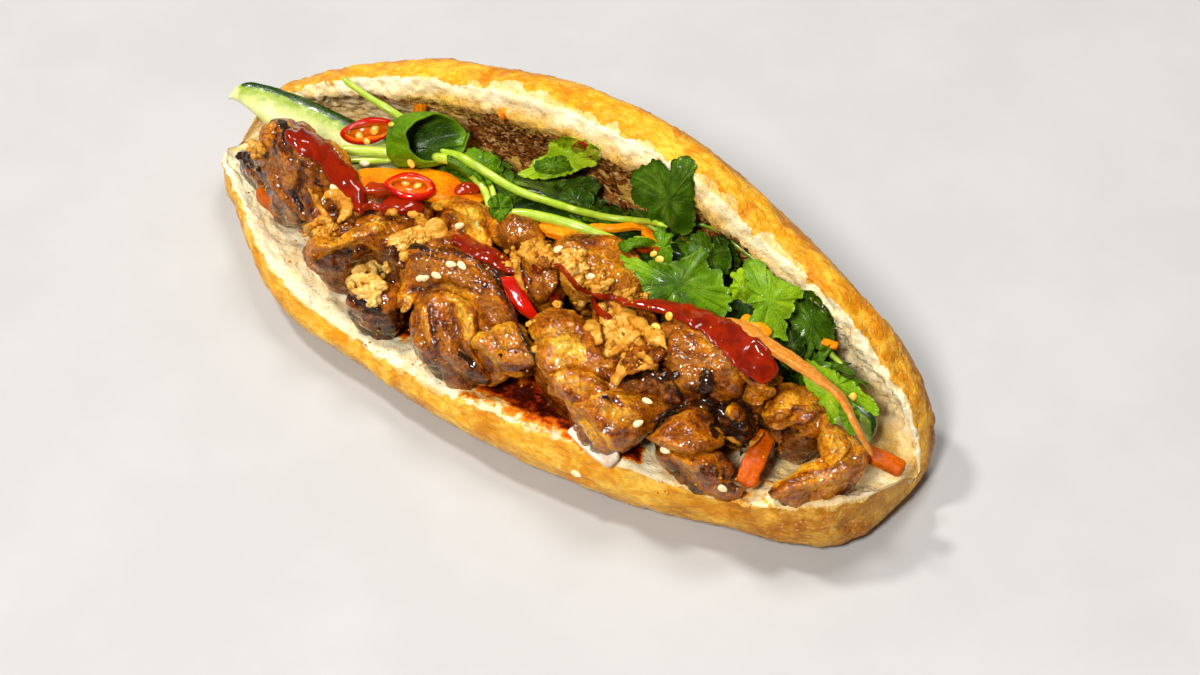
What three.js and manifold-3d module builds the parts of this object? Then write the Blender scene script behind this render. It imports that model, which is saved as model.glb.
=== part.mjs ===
// Filled baguette sandwich, opened like a book: one bread roll with a hinge along its back edge,
// the lower half lying flat with its crumb up, the upper half standing behind it, and glazed meat,
// pickled carrot, cucumber, chilli, coriander, fried onion and chilli sauce between them.
//
// Units are millimetres. +X runs along the roll, +Y towards the hinge, +Z up.
// The origin is on the resting plane, under the middle of the whole sandwich.
import * as THREE from "three";
import { mergeVertices } from "three/addons/utils/BufferGeometryUtils.js";
import Module from "manifold-3d";

const wasm = await Module();
wasm.setup();

// ---- driving dimensions ----------------------------------------------------------------------
const ROLL_STATIONS = 32; // cross-sections along the roll
const LOWER_TIP = [7.3, 8.5]; // [y, z] that the lower half tapers to
const UPPER_TIP = [8.8, 6.7]; // [y, z] that the upper half tapers to
const GAP = 0.4; // clearance kept between touching pieces
const ORIGIN_SHIFT = [-3.0, -0.175, 0]; // puts the origin under the middle of the bounding box

// Cross-section of the opened roll at mid-length: [y, z, share], where share is 0 on the lower
// half, 1 on the upper half and between them on the hinge. It runs round the outside from the
// front rim, under the roll, up the back to the upper rim, and back through the cleft.
const SECTION = [
  [-42.8, 25.5, 0], // front rim, where crust meets the cut
  [-44.5, 16.5, 0],
  [-42.5, 8.0, 0],
  [-38.0, 2.6, 0],
  [-30.0, 0.3, 0],
  [-14.0, 0.0, 0], // flat underside
  [8.0, 0.0, 0],
  [22.0, 0.3, 0.05],
  [32.0, 2.6, 0.3], // hinge, outside
  [39.5, 9.0, 0.65],
  [44.0, 18.0, 0.9],
  [46.5, 30.0, 1],
  [46.5, 42.0, 1],
  [44.5, 54.0, 1],
  [40.5, 64.0, 1],
  [35.0, 69.6, 1],
  [30.0, 70.6, 1],
  [23.0, 70.1, 1], // upper rim, where crust meets the cut
  [20.6, 63.5, 1],
  [24.3, 58.4, 1],
  [28.5, 51.0, 1], // hollow torn into the upper crumb
  [31.5, 40.0, 1],
  [31.0, 31.0, 0.95],
  [28.0, 22.5, 0.7], // cleft, inside of the hinge
  [21.0, 17.0, 0.35],
  [10.0, 14.5, 0.1],
  [-4.0, 14.5, 0],
  [-18.0, 18.0, 0],
  [-30.0, 22.5, 0],
  [-38.5, 26.0, 0],
];

// How the mid-length section is scaled at each station along the roll.
const PROFILE = [
  // x, lower width, underside, front rim, upper width, upper height
  [-118, 0.05, 0.19, 0.2, 0.2, 0.05],
  [-112, 0.23, 0.6, 0.44, 0.5, 0.28],
  [-102, 0.38, 0.82, 0.53, 0.66, 0.43],
  [-88, 0.59, 0.94, 0.565, 0.76, 0.575],
  [-66, 0.86, 0.99, 0.65, 0.91, 0.755],
  [-36, 0.96, 1, 0.5, 0.95, 0.94],
  [0, 1.045, 1, 0.63, 1.03, 1.035],
  [36, 1.03, 1, 0.83, 0.935, 1.03],
  [66, 0.925, 0.99, 0.68, 0.85, 0.835],
  [90, 0.78, 0.945, 0.585, 0.67, 0.73],
  [106, 0.68, 0.82, 0.79, 0.66, 0.5],
  [116, 0.5, 0.61, 0.815, 0.505, 0.33],
  [121, 0.245, 0.36, 0.62, 0.35, 0.14],
  [122.5, 0.05, 0.19, 0.45, 0.22, 0.08],
];
const PATE_FROM = 19.0; // the spread lies on these section steps of the upper half's inside
const PATE_TO = 22.0;
const PATE_X = [-46, 62]; // and between these stations
const PATE_THICK = 1.6;

// Every filling is a lump swept along a short spine: width w across, thickness h, rolled about
// the spine, squared off by the exponent n, blunter at its ends with a higher blunt, and
// roughened by lump. A piece with deep reaches that far below its spine, down to the crumb.
const PIECES = [
  // PIECES-BEGIN
  { name: "cucumber_spear_left", kind: "cucumber", spine: [[-113.7, 7.3, 31.0], [-97.0, 10.6, 30.0], [-77.5, 12.1, 29.0], [-59.2, 14.7, 27.0]], w: 16, h: 7, roll: -38, n: 3.5, lump: 0.02, blunt: 9, rings: 7 },
  { name: "cucumber_spear_right", kind: "cucumber", spine: [[48.5, 12.8, 24.0], [74.3, 9.3, 24.0], [95.6, 6.9, 24.0], [109.9, 6.5, 23.0]], w: 13, h: 6, roll: -30, n: 3.5, lump: 0.02, blunt: 9, rings: 7 },
  { name: "daikon_strip_front", kind: "daikon", spine: [[39.6, -37.3, 23.0], [48.9, -40.5, 24.0], [56.6, -42.0, 24.0]], w: 5, h: 3.4, n: 3, lump: 0.05, blunt: 6, rings: 5 },
  { name: "carrot_strip_left_end", kind: "carrot", spine: [[-89.7, -12.8, 24.0], [-83.1, -15.0, 24.0], [-77.3, -15.4, 23.0]], w: 5.5, h: 4.5, n: 3, lump: 0.05, rings: 5, deep: 6.7 },
  { name: "carrot_strip_front", kind: "carrot", spine: [[86.8, -11.5, 27.0], [88.9, -21.4, 26.0], [90.7, -29.5, 24.0]], w: 6.5, h: 3.2, n: 3, lump: 0.05, blunt: 6, rings: 5 },
  { name: "carrot_strip_right_end", kind: "carrot", spine: [[111.6, -2.5, 27.0], [118.2, -1.7, 26.0], [124.0, -0.6, 25.0]], w: 5.5, h: 4, n: 3, lump: 0.05, blunt: 6, rings: 5 },
  { name: "carrot_strip_back", kind: "carrot", spine: [[-59.4, 21.8, 40.0], [-58.3, 23.6, 44.0], [-58.2, 24.7, 48.0]], w: 5, h: 2.6, n: 3, lump: 0.04, blunt: 6, rings: 5 },
  { name: "meat_slice_01", kind: "meat", spine: [[-18.3, -28.3, 33.0], [-9.7, -33.4, 31.0], [-1.2, -35.6, 29.0], [9.2, -33.7, 27.0]], w: 17, h: 14, lump: 0.12, seed: 5, deep: 18.0 },
  { name: "meat_slice_02", kind: "meat", spine: [[64.0, -30.1, 33.0], [72.5, -29.9, 30.0], [80.1, -31.4, 28.0], [86.7, -33.5, 26.0]], w: 19, h: 15, lump: 0.12, seed: 13, deep: 17.2 },
  { name: "meat_slice_03", kind: "meat", spine: [[-54.5, -33.4, 31.0], [-49.4, -24.4, 33.0], [-41.1, -16.2, 35.0], [-32.9, -11.4, 34.0]], w: 15, h: 16, lump: 0.09, seed: 2, deep: 21.2 },
  { name: "meat_slice_04", kind: "meat", spine: [[-102.4, -6.5, 26.0], [-94.5, -9.4, 26.0], [-85.2, -11.5, 27.0]], w: 7, h: 7, lump: 0.15, seed: 21, rings: 6, deep: 11.3 },
  { name: "meat_slice_05", kind: "meat", spine: [[-40.8, -33.8, 27.0], [-32.1, -33.9, 28.0], [-26.2, -29.3, 30.0]], w: 13, h: 11, lump: 0.14, seed: 23, rings: 6, deep: 14.3 },
  { name: "meat_slice_06", kind: "meat", spine: [[-58.1, -13.2, 36.0], [-48.3, -11.7, 37.0], [-39.0, -9.6, 38.0], [-31.9, -3.7, 38.0]], w: 14, h: 13, lump: 0.12, seed: 24, rings: 7, deep: 23.2 },
  { name: "meat_slice_07", kind: "meat", spine: [[20.7, -20.2, 40.0], [29.2, -26.0, 38.0], [40.8, -30.2, 35.0], [53.2, -33.7, 32.0], [60.4, -34.5, 29.0]], w: 22, h: 19, lump: 0.12, seed: 10, deep: 22.8 },
  { name: "meat_slice_08", kind: "meat", spine: [[-33.7, -22.7, 34.0], [-25.3, -18.6, 37.0], [-13.9, -15.8, 38.0], [-2.5, -17.2, 36.0], [3.3, -21.4, 34.0]], w: 18, h: 18, lump: 0.1, seed: 4, deep: 23.8 },
  { name: "meat_slice_09", kind: "meat", spine: [[-0.7, -28.3, 36.0], [8.0, -30.8, 36.0], [15.5, -31.8, 34.0], [19.2, -30.4, 31.0]], w: 14, h: 14, lump: 0.14, seed: 6, deep: 20.2 },
  { name: "meat_slice_10", kind: "meat", spine: [[-88.2, -4.3, 40.0], [-78.1, -9.7, 40.0], [-68.4, -12.2, 36.0], [-60.0, -13.1, 30.0]], w: 23, h: 26, lump: 0.12, seed: 1, deep: 22.5 },
  { name: "meat_slice_11", kind: "meat", spine: [[-3.4, -4.3, 36.0], [7.3, -7.6, 36.0], [15.4, -9.2, 34.0]], w: 15, h: 16, lump: 0.1, seed: 22, rings: 7, deep: 21.3 },
  { name: "meat_slice_12", kind: "meat", spine: [[-11.8, -2.2, 40.0], [-6.3, 1.1, 42.0], [0.9, 2.6, 40.0]], w: 15, h: 15, lump: 0.06, seed: 8, rings: 7, deep: 24.7 },
  { name: "meat_slice_13", kind: "meat", spine: [[5.7, 0.8, 41.0], [14.7, 2.6, 43.0], [24.8, 3.0, 42.0], [34.7, 2.4, 37.0]], w: 19, h: 17, lump: 0.1, seed: 9, deep: 24.8 },
  { name: "meat_slice_14", kind: "meat", spine: [[-29.8, -2.7, 40.0], [-22.8, -1.4, 42.0], [-15.9, -2.3, 41.0], [-12.0, -3.9, 38.0]], w: 11, h: 12, lump: 0.14, seed: 7, rings: 7, deep: 18.2 },
  { name: "meat_slice_15", kind: "meat", spine: [[48.5, -13.1, 40.0], [58.6, -11.3, 42.0], [69.0, -11.0, 40.0], [77.8, -11.3, 36.0]], w: 21, h: 19, lump: 0.12, seed: 11, deep: 25.5 },
  { name: "meat_slice_16", kind: "meat", spine: [[46.9, -25.5, 37.0], [53.8, -20.8, 37.0], [63.4, -19.4, 36.0], [70.6, -19.3, 33.0]], w: 15, h: 13, lump: 0.14, seed: 12, deep: 20.8 },
  { name: "meat_slice_17", kind: "meat", spine: [[67.5, -21.4, 33.0], [72.2, -16.6, 34.0], [79.4, -15.5, 31.0], [84.5, -15.1, 28.0]], w: 12, h: 12, lump: 0.18, seed: 14, deep: 17.5 },
  { name: "meat_slice_18", kind: "meat", spine: [[75.4, -9.6, 37.0], [80.3, -8.1, 37.0], [82.8, -1.8, 37.0]], w: 10, h: 11, lump: 0.15, seed: 17, rings: 6, deep: 19.0 },
  { name: "meat_slice_19", kind: "meat", spine: [[83.5, -9.0, 35.0], [89.4, -6.1, 36.0], [96.4, -3.6, 34.0], [101.7, -0.6, 33.0]], w: 12, h: 12, lump: 0.16, seed: 15, deep: 18.5 },
  { name: "meat_slice_20", kind: "meat", spine: [[100.1, -5.3, 33.0], [106.3, -6.9, 31.0], [110.8, -8.5, 28.0], [108.5, -16.1, 27.0], [104.6, -22.1, 26.0], [100.1, -28.2, 26.0]], w: 9, h: 9, lump: 0.1, seed: 16, rings: 10, deep: 11.5 },
  { name: "coriander_bunch", kind: "herb", spine: [[-49.1, 11.7, 38.0], [-22.0, 14.1, 40.0], [-0.4, 18.5, 40.0], [25.3, 21.3, 40.0], [49.4, 20.9, 40.0], [76.6, 15.2, 37.0], [99.7, 10.2, 31.0]], w: 25, h: 20, lump: 0.12, seed: 31, rings: 10, sides: 9, deep: 22.0 },
  { name: "rolled_leaf", kind: "herb", spine: [[-54.4, 6.8, 47.0], [-49.1, 8.6, 50.0], [-42.9, 11.9, 50.0], [-36.7, 13.9, 47.0]], w: 13, h: 13, lump: 0.04, seed: 32, rings: 7 },
  { name: "carrot_slice_large", kind: "carrot", spine: [[-58.7, -9.1, 42.0], [-46.6, -3.0, 43.0], [-34.9, 2.5, 43.0], [-21.9, 7.2, 42.0]], w: 12.5, h: 3.2, n: 3.4, lump: 0.04, blunt: 6, rings: 7 },
  { name: "carrot_strip_mid", kind: "carrot", spine: [[1.7, 3.6, 46.0], [10.7, 5.5, 46.0], [19.1, 7.3, 44.0]], w: 5, h: 2.8, n: 3, lump: 0.05, blunt: 6, rings: 5 },
  { name: "carrot_ribbon_long", kind: "carrot", spine: [[64.5, 1.6, 48.0], [75.4, -1.3, 49.0], [87.7, -2.2, 48.0], [98.8, -2.2, 46.0], [107.2, -3.2, 42.0], [112.8, -5.6, 38.0], [119.1, -9.3, 34.0]], w: 6.5, h: 2.8, n: 3, lump: 0.04, blunt: 8, rings: 11 },
  { name: "chilli_ring_top", kind: "chilli", spine: [[-45.3, -9.2, 47.0], [-39.0, -5.6, 48.0], [-32.6, -1.9, 47.0]], w: 9, h: 4, lump: 0.03, rings: 6 },
  { name: "chilli_ring_back", kind: "chilli", spine: [[-75.0, 10.0, 38.0], [-70.0, 14.2, 39.0], [-63.5, 16.8, 38.0]], w: 9, h: 4.5, lump: 0.03, rings: 6 },
  { name: "chilli_strip_mid", kind: "chilli", spine: [[3.1, -20.7, 47.0], [9.7, -22.8, 47.0], [17.0, -24.1, 42.0]], w: 8.5, h: 3.8, lump: 0.04, rings: 6 },
  { name: "crispy_onion_left", kind: "onion", spine: [[-63.6, -27.5, 38.0], [-58.2, -25.7, 42.0], [-55.2, -18.2, 44.0]], w: 8, h: 6, lump: 0.2, seed: 3, rings: 6 },
  { name: "crispy_onion_flat", kind: "onion", spine: [[-30.9, -25.6, 46.0], [-25.5, -21.4, 48.0], [-21.4, -13.7, 48.0]], w: 9, h: 5, lump: 0.16, seed: 6, rings: 6 },
  { name: "crispy_onion_chunk", kind: "onion", spine: [[-34.2, -38.3, 33.0], [-33.9, -33.5, 38.0], [-30.7, -29.3, 38.0], [-28.0, -31.4, 34.0]], w: 11, h: 10, lump: 0.16, seed: 8, rings: 7 },
  { name: "crispy_onion_mid", kind: "onion", spine: [[31.2, -17.2, 50.0], [38.2, -22.5, 50.0], [44.9, -25.5, 47.0]], w: 9, h: 6, lump: 0.2, seed: 9, rings: 6 },
  { name: "crispy_onion_strip", kind: "onion", spine: [[37.2, -15.2, 51.0], [47.0, -17.0, 52.0], [56.1, -17.8, 51.0]], w: 6, h: 5, lump: 0.18, seed: 12, rings: 6 },
  { name: "crispy_onion_low", kind: "onion", spine: [[44.4, -28.6, 47.0], [48.6, -25.2, 49.0], [51.6, -19.8, 50.0]], w: 7, h: 5, lump: 0.18, seed: 15, rings: 6 },
  { name: "crispy_onion_right", kind: "onion", spine: [[83.3, -26.6, 33.0], [87.0, -24.3, 34.0], [89.5, -19.2, 35.0]], w: 4.5, h: 3.5, lump: 0.16, seed: 18, rings: 5 },
  { name: "sauce_left", kind: "sauce", spine: [[-77.1, -13.4, 53.0], [-69.3, -15.8, 53.5], [-60.8, -16.8, 51.0], [-53.4, -17.5, 46.0]], w: 8, h: 4.5, lump: 0.1, seed: 41, rings: 7 },
  { name: "sauce_middle", kind: "sauce", spine: [[-16.4, -15.8, 47.0], [-6.9, -16.3, 48.0], [4.2, -16.4, 48.0]], w: 7.5, h: 5, lump: 0.06, seed: 42, rings: 6 },
  { name: "sauce_right", kind: "sauce", spine: [[33.7, -15.9, 52.0], [47.9, -12.4, 53.0], [61.5, -8.1, 53.0], [77.1, -10.2, 53.0], [87.0, -11.2, 48.0]], w: 8.5, h: 5, lump: 0.08, seed: 43, rings: 9 },
  // PIECES-END
];

const LOOKS = {
  bread: { color: 0xd9973f, roughness: 0.75 },
  pate: { color: 0x6b4433, roughness: 0.85 },
  cucumber: { color: 0xc9d98a, roughness: 0.35 },
  daikon: { color: 0xf1dcc2, roughness: 0.4 },
  carrot: { color: 0xf08a24, roughness: 0.4 },
  meat: { color: 0x8a4a22, roughness: 0.35 },
  herb: { color: 0x3c7d1c, roughness: 0.5 },
  chilli: { color: 0xd0260f, roughness: 0.25 },
  onion: { color: 0xd79a3c, roughness: 0.7 },
  sauce: { color: 0xb02408, roughness: 0.15 },
};

// ---- the roll --------------------------------------------------------------------------------
// Reads one column of the profile at station x, along a smooth curve through its rows.
function profile(x, column) {
  const last = PROFILE.length - 1;
  let i = 0;
  while (i < last - 1 && x > PROFILE[i + 1][0]) i++;
  const length = (k) => PROFILE[k + 1][0] - PROFILE[k][0];
  const rise = (k) =>
    (PROFILE[k + 1][column] - PROFILE[k][column]) / length(k);
  const slope = (k) => {
    if (k === 0) return rise(0);
    if (k === last) return rise(last - 1);
    const [p, q] = [length(k - 1), length(k)];
    return (rise(k - 1) * q + rise(k) * p) / (p + q);
  };
  const step = PROFILE[i + 1][0] - PROFILE[i][0];
  const t = (x - PROFILE[i][0]) / step;
  const [a, b] = [PROFILE[i][column], PROFILE[i + 1][column]];
  const value =
    (2 * t ** 3 - 3 * t ** 2 + 1) * a +
    (t ** 3 - 2 * t ** 2 + t) * step * slope(i) +
    (3 * t ** 2 - 2 * t ** 3) * b +
    (t ** 3 - t ** 2) * step * slope(i + 1);
  return column === 2 ? Math.min(value, 1) : value; // the underside stays on the floor
}

const mix = (a, b, t) => a + (b - a) * t;

// A point of the cross-section at station x, after the taper. u may lie between two steps.
function breadPoint(x, u, out = 0) {
  const i = Math.floor(u);
  const f = u - i;
  const a = SECTION[i % SECTION.length];
  const b = SECTION[(i + 1) % SECTION.length];
  let y = mix(a[0], b[0], f);
  let z = mix(a[1], b[1], f);
  const share = mix(a[2], b[2], f);
  if (out) {
    const length = Math.hypot(b[0] - a[0], b[1] - a[1]);
    y += (out * (b[1] - a[1])) / length;
    z -= (out * (b[0] - a[0])) / length;
  }
  const lower = [
    LOWER_TIP[0] + (y - LOWER_TIP[0]) * profile(x, 1),
    LOWER_TIP[1] + (z - LOWER_TIP[1]) * profile(x, z < LOWER_TIP[1] ? 2 : 3),
  ];
  const upper = [
    UPPER_TIP[0] + (y - UPPER_TIP[0]) * profile(x, 4),
    UPPER_TIP[1] + (z - UPPER_TIP[1]) * profile(x, 5),
  ];
  return new THREE.Vector3(
    x,
    mix(lower[0], upper[0], share),
    mix(lower[1], upper[1], share),
  );
}

// Joins rings of points into one closed surface. Each end is closed by strips between the two
// sides of its ring, so a ring runs up one side of a thin section and back down the other.
function loft(rings) {
  const n = rings[0].length;
  const triangles = [];
  for (let i = 0; i < rings.length - 1; i++)
    for (let k = 0; k < n; k++) {
      const a = i * n + k;
      const b = i * n + ((k + 1) % n);
      triangles.push([a, b, b + n], [a, b + n, a + n]);
    }
  for (let k = 0; k < n / 2 - 1; k++) {
    const [a, b, c, d] = [k, k + 1, n - 2 - k, n - 1 - k];
    const e = (rings.length - 1) * n;
    triangles.push([c, b, a], [d, c, a]);
    triangles.push([e + a, e + b, e + c], [e + a, e + c, e + d]);
  }
  return surface(rings.flat(), triangles);
}

function surface(points, triangles) {
  const geometry = new THREE.BufferGeometry();
  geometry.setAttribute(
    "position",
    new THREE.Float32BufferAttribute(
      points.flatMap((p) => [p.x, p.y, p.z]),
      3,
    ),
  );
  geometry.setIndex(triangles.flat());
  return geometry;
}

function rollGeometry() {
  const [from, to] = [PROFILE[0][0], PROFILE.at(-1)[0]];
  const rings = [];
  for (let i = 0; i < ROLL_STATIONS; i++) {
    const c = -Math.cos((Math.PI * i) / (ROLL_STATIONS - 1));
    const x = c < 0 ? -c * from : c * to;
    rings.push(SECTION.map((_, u) => breadPoint(x, u)));
  }
  return loft(rings);
}

// A thin layer along the inside of the upper half.
function pateGeometry(grow = 0) {
  const rings = [];
  const stations = 12;
  const steps = 3;
  for (let i = 0; i <= stations; i++) {
    const t = i / stations;
    const x = mix(PATE_X[0] - grow, PATE_X[1] + grow, t);
    const edge = Math.sqrt(Math.max(0.08, 1 - Math.pow(2 * t - 1, 4)));
    const middle = (PATE_FROM + PATE_TO) / 2;
    const half = ((PATE_TO - PATE_FROM) / 2) * edge + grow / 8;
    const near = [];
    const far = [];
    for (let k = 0; k <= steps; k++) {
      const u = middle + half * ((2 * k) / steps - 1);
      near.push(breadPoint(x, u, 0.6 - grow));
      far.push(breadPoint(x, u, 0.6 + PATE_THICK + grow));
    }
    rings.push([...near.reverse(), ...far].reverse());
  }
  return loft(rings);
}

// ---- the fillings ----------------------------------------------------------------------------
function lump(piece, grow = 0) {
  const {
    spine,
    w,
    h,
    deep = h / 2,
    roll = 0,
    n = 2,
    lump: rough = 0.08,
    blunt = 4,
    seed = 1,
  } = piece;
  const rings = (piece.rings ?? 7) + 1;
  const sides = piece.sides ?? 8;
  const points = spine.map((p) => new THREE.Vector3(...p));
  const first = points[0].clone().sub(points[1]).normalize();
  const last = points.at(-1).clone().sub(points.at(-2)).normalize();
  points[0].addScaledVector(first, grow);
  points.at(-1).addScaledVector(last, grow);
  const curve = new THREE.CatmullRomCurve3(points, false, "centripetal");
  const up = new THREE.Vector3(0, 0, 1);
  const turn = (roll * Math.PI) / 180;
  const all = [];
  for (let i = 1; i < rings; i++) {
    const t = (1 - Math.cos((Math.PI * i) / rings)) / 2;
    const at = curve.getPointAt(t);
    const along = curve.getTangentAt(t);
    const side = new THREE.Vector3().crossVectors(along, up).normalize();
    const over = new THREE.Vector3().crossVectors(side, along);
    side.applyAxisAngle(along, turn);
    over.applyAxisAngle(along, turn);
    const end = Math.pow(1 - Math.pow(Math.abs(2 * t - 1), blunt), 0.5);
    const ring = [];
    for (let k = 0; k < sides; k++) {
      const a = (2 * Math.PI * k) / sides;
      const c = Math.cos(a);
      const s = Math.sin(a);
      const bump =
        1 +
        rough *
          (0.6 * Math.sin(3 * a + 6 * t + seed) +
            0.6 * Math.sin(2 * a - 9 * t + 2.3 * seed));
      const r = bump / Math.pow(Math.abs(c) ** n + Math.abs(s) ** n, 1 / n);
      ring.push(
        at
          .clone()
          .addScaledVector(side, (w / 2) * end * r * c + grow * c)
          .addScaledVector(over, (s < 0 ? deep : h / 2) * end * r * s + grow * s),
      );
    }
    all.push(ring);
  }
  const vertices = all.flat();
  const triangles = [];
  for (let i = 0; i < all.length - 1; i++)
    for (let k = 0; k < sides; k++) {
      const a = i * sides + k;
      const b = i * sides + ((k + 1) % sides);
      triangles.push([a, b, b + sides], [a, b + sides, a + sides]);
    }
  const start = vertices.push(curve.getPointAt(0)) - 1;
  const stop = vertices.push(curve.getPointAt(1)) - 1;
  const lastRing = (all.length - 1) * sides;
  for (let k = 0; k < sides; k++) {
    const b = (k + 1) % sides;
    triangles.push([b, k, start], [lastRing + k, lastRing + b, stop]);
  }
  return surface(vertices, triangles);
}

// ---- joining and cutting ---------------------------------------------------------------------
function solid(geometry) {
  const bare = new THREE.BufferGeometry();
  bare.setAttribute("position", geometry.getAttribute("position"));
  bare.setIndex(geometry.index);
  const merged = mergeVertices(bare, 1e-4);
  const made = new wasm.Manifold(
    new wasm.Mesh({
      numProp: 3,
      vertProperties: new Float32Array(merged.attributes.position.array),
      triVerts: new Uint32Array(merged.index.array),
    }),
  );
  if (made.volume() > 0) return made;
  const turned = new Uint32Array(merged.index.array);
  for (let i = 0; i < turned.length; i += 3)
    [turned[i + 1], turned[i + 2]] = [turned[i + 2], turned[i + 1]];
  return new wasm.Manifold(
    new wasm.Mesh({
      numProp: 3,
      vertProperties: new Float32Array(merged.attributes.position.array),
      triVerts: turned,
    }),
  );
}

function geometryOf(manifold) {
  const mesh = manifold.getMesh();
  const positions = new Float32Array(mesh.numVert * 3);
  for (let i = 0; i < mesh.numVert; i++)
    positions.set(
      mesh.vertProperties.subarray(i * mesh.numProp, i * mesh.numProp + 3),
      i * 3,
    );
  const geometry = new THREE.BufferGeometry();
  geometry.setAttribute("position", new THREE.BufferAttribute(positions, 3));
  geometry.setIndex(new THREE.BufferAttribute(mesh.triVerts, 1));
  geometry.computeVertexNormals();
  return geometry;
}

function largest(manifold) {
  const bodies = manifold.decompose();
  return bodies.reduce((a, b) => (b.volume() > a.volume() ? b : a));
}

const boxesMeet = (a, b) =>
  [0, 1, 2].every((k) => a.min[k] <= b.max[k] && b.min[k] <= a.max[k]);

// ---- the sandwich ----------------------------------------------------------------------------
const sandwich = new THREE.Group();
sandwich.name = "sandwich";

function add(name, kind, manifold) {
  const material = new THREE.MeshStandardMaterial({
    ...LOOKS[kind],
    metalness: 0,
  });
  const mesh = new THREE.Mesh(geometryOf(manifold), material);
  mesh.name = name;
  sandwich.add(mesh);
}

const roll = solid(rollGeometry());
add("bread_roll", "bread", roll);

// Everything laid down so far, swollen by the gap, for the next piece to be cut by.
const laid = [
  roll,
  roll.translate([0, -GAP, 0]),
  roll.translate([0, 0, GAP]),
  roll.translate([0, -GAP, GAP]),
];

const spread = solid(pateGeometry());
add("pate_spread", "pate", spread);
laid.push(solid(pateGeometry(1.5 * GAP)));

for (const piece of PIECES) {
  let made = solid(lump(piece));
  const box = made.boundingBox();
  for (const other of laid)
    if (boxesMeet(box, other.boundingBox())) made = made.subtract(other);
  made = largest(made.simplify(0.05));
  add(piece.name, piece.kind, made);
  laid.push(solid(lump(piece, GAP)), made);
}

sandwich.position.set(...ORIGIN_SHIFT);

export default sandwich;
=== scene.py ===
# Opened banh mi roll, filled with glazed meat, pickled vegetables, coriander, chilli and sauce.
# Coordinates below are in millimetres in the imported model's frame; meshes are written in metres.
import math

import bpy
import numpy as np
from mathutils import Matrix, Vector, noise as mnoise
from mathutils.bvhtree import BVHTree


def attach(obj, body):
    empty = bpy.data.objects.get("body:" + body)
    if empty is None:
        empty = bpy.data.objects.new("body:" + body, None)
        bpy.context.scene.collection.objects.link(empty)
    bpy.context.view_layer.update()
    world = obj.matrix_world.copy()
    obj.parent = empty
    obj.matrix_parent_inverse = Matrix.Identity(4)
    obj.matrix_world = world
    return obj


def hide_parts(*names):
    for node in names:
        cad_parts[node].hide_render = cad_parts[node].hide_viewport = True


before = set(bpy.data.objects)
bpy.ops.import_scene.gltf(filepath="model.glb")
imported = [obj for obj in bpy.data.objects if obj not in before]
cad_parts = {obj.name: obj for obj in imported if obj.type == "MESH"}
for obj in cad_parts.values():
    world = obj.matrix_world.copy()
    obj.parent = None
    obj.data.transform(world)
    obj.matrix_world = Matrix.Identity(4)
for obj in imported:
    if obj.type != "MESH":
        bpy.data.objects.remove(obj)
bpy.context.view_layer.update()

MM = 0.001
SHIFT = np.array([-3.0, -0.175, 0.0])  # the same shift as ORIGIN_SHIFT in the model

# ------------------------------------------------------------------------------------------
# camera of the view: a pixel here is in the 1200 x 675 frame
# ------------------------------------------------------------------------------------------
CAM_TARGET = np.array([10.8, 12.825, 0.0])
CAM_DIST = 1026.0
CAM_AZ = math.radians(34.5)
CAM_EL = math.radians(46.5)
CAM_F = 3500.0
BACK = np.array([math.sin(CAM_AZ) * math.cos(CAM_EL), -math.cos(CAM_AZ) * math.cos(CAM_EL), math.sin(CAM_EL)])
EYE = CAM_TARGET + BACK * CAM_DIST
FWD = -BACK
RIGHT = np.cross(FWD, [0, 0, 1.0])
RIGHT /= np.linalg.norm(RIGHT)
UP = np.cross(RIGHT, FWD)


def ray(px, py):
    d = FWD + (px - 600.0) / CAM_F * RIGHT - (py - 337.5) / CAM_F * UP
    return d / np.linalg.norm(d)


def at_z(px, py, z):
    d = ray(px, py)
    return EYE + d * ((z - EYE[2]) / d[2])


def at_plane(px, py, point, normal):
    d = ray(px, py)
    return EYE + d * (np.dot(np.asarray(point) - EYE, normal) / np.dot(d, normal))


def to_px(p):
    q = np.asarray(p, float) - EYE
    zc = q @ FWD
    return np.stack([600 + CAM_F * (q @ RIGHT) / zc, 337.5 - CAM_F * (q @ UP) / zc], -1)


# ------------------------------------------------------------------------------------------
# numbers: noise and curves
# ------------------------------------------------------------------------------------------
def sm(a, b, x):
    t = np.clip((np.asarray(x, float) - a) / (b - a), 0, 1)
    return t * t * (3 - 2 * t)


def _hash(ix, iy, iz, seed):
    h = (ix * 374761393 + iy * 668265263 + iz * 1440662683 + seed * 1274126177) & 0xFFFFFFFF
    h = ((h ^ (h >> 13)) * 1274126177) & 0xFFFFFFFF
    h = ((h ^ (h >> 15)) * 2246822519) & 0xFFFFFFFF
    return ((h ^ (h >> 16)) & 0xFFFFFF) / float(0xFFFFFF)


def vnoise(p, seed=0):
    """Smooth value noise, -1..1, wavelength about 2 units."""
    p = np.asarray(p, float)
    i = np.floor(p).astype(np.int64)
    f = p - i
    f = f * f * f * (f * (f * 6 - 15) + 10)
    x, y, z = i[..., 0], i[..., 1], i[..., 2]
    out = 0
    for dx in (0, 1):
        wx = f[..., 0] if dx else 1 - f[..., 0]
        for dy in (0, 1):
            wy = f[..., 1] if dy else 1 - f[..., 1]
            for dz in (0, 1):
                wz = f[..., 2] if dz else 1 - f[..., 2]
                out = out + wx * wy * wz * _hash(x + dx, y + dy, z + dz, seed)
    return out * 2 - 1


def fbm(p, size, octaves=4, seed=0, gain=0.5):
    """Noise of feature size `size` mm at points p in mm, about -1..1."""
    q = np.asarray(p, float) / size
    out, amp, tot = 0, 1.0, 0.0
    for k in range(octaves):
        out = out + amp * vnoise(q + 17.3 * k, seed + 31 * k)
        tot += amp
        q = q * 2.03
        amp *= gain
    return out / tot * 1.6


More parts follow.
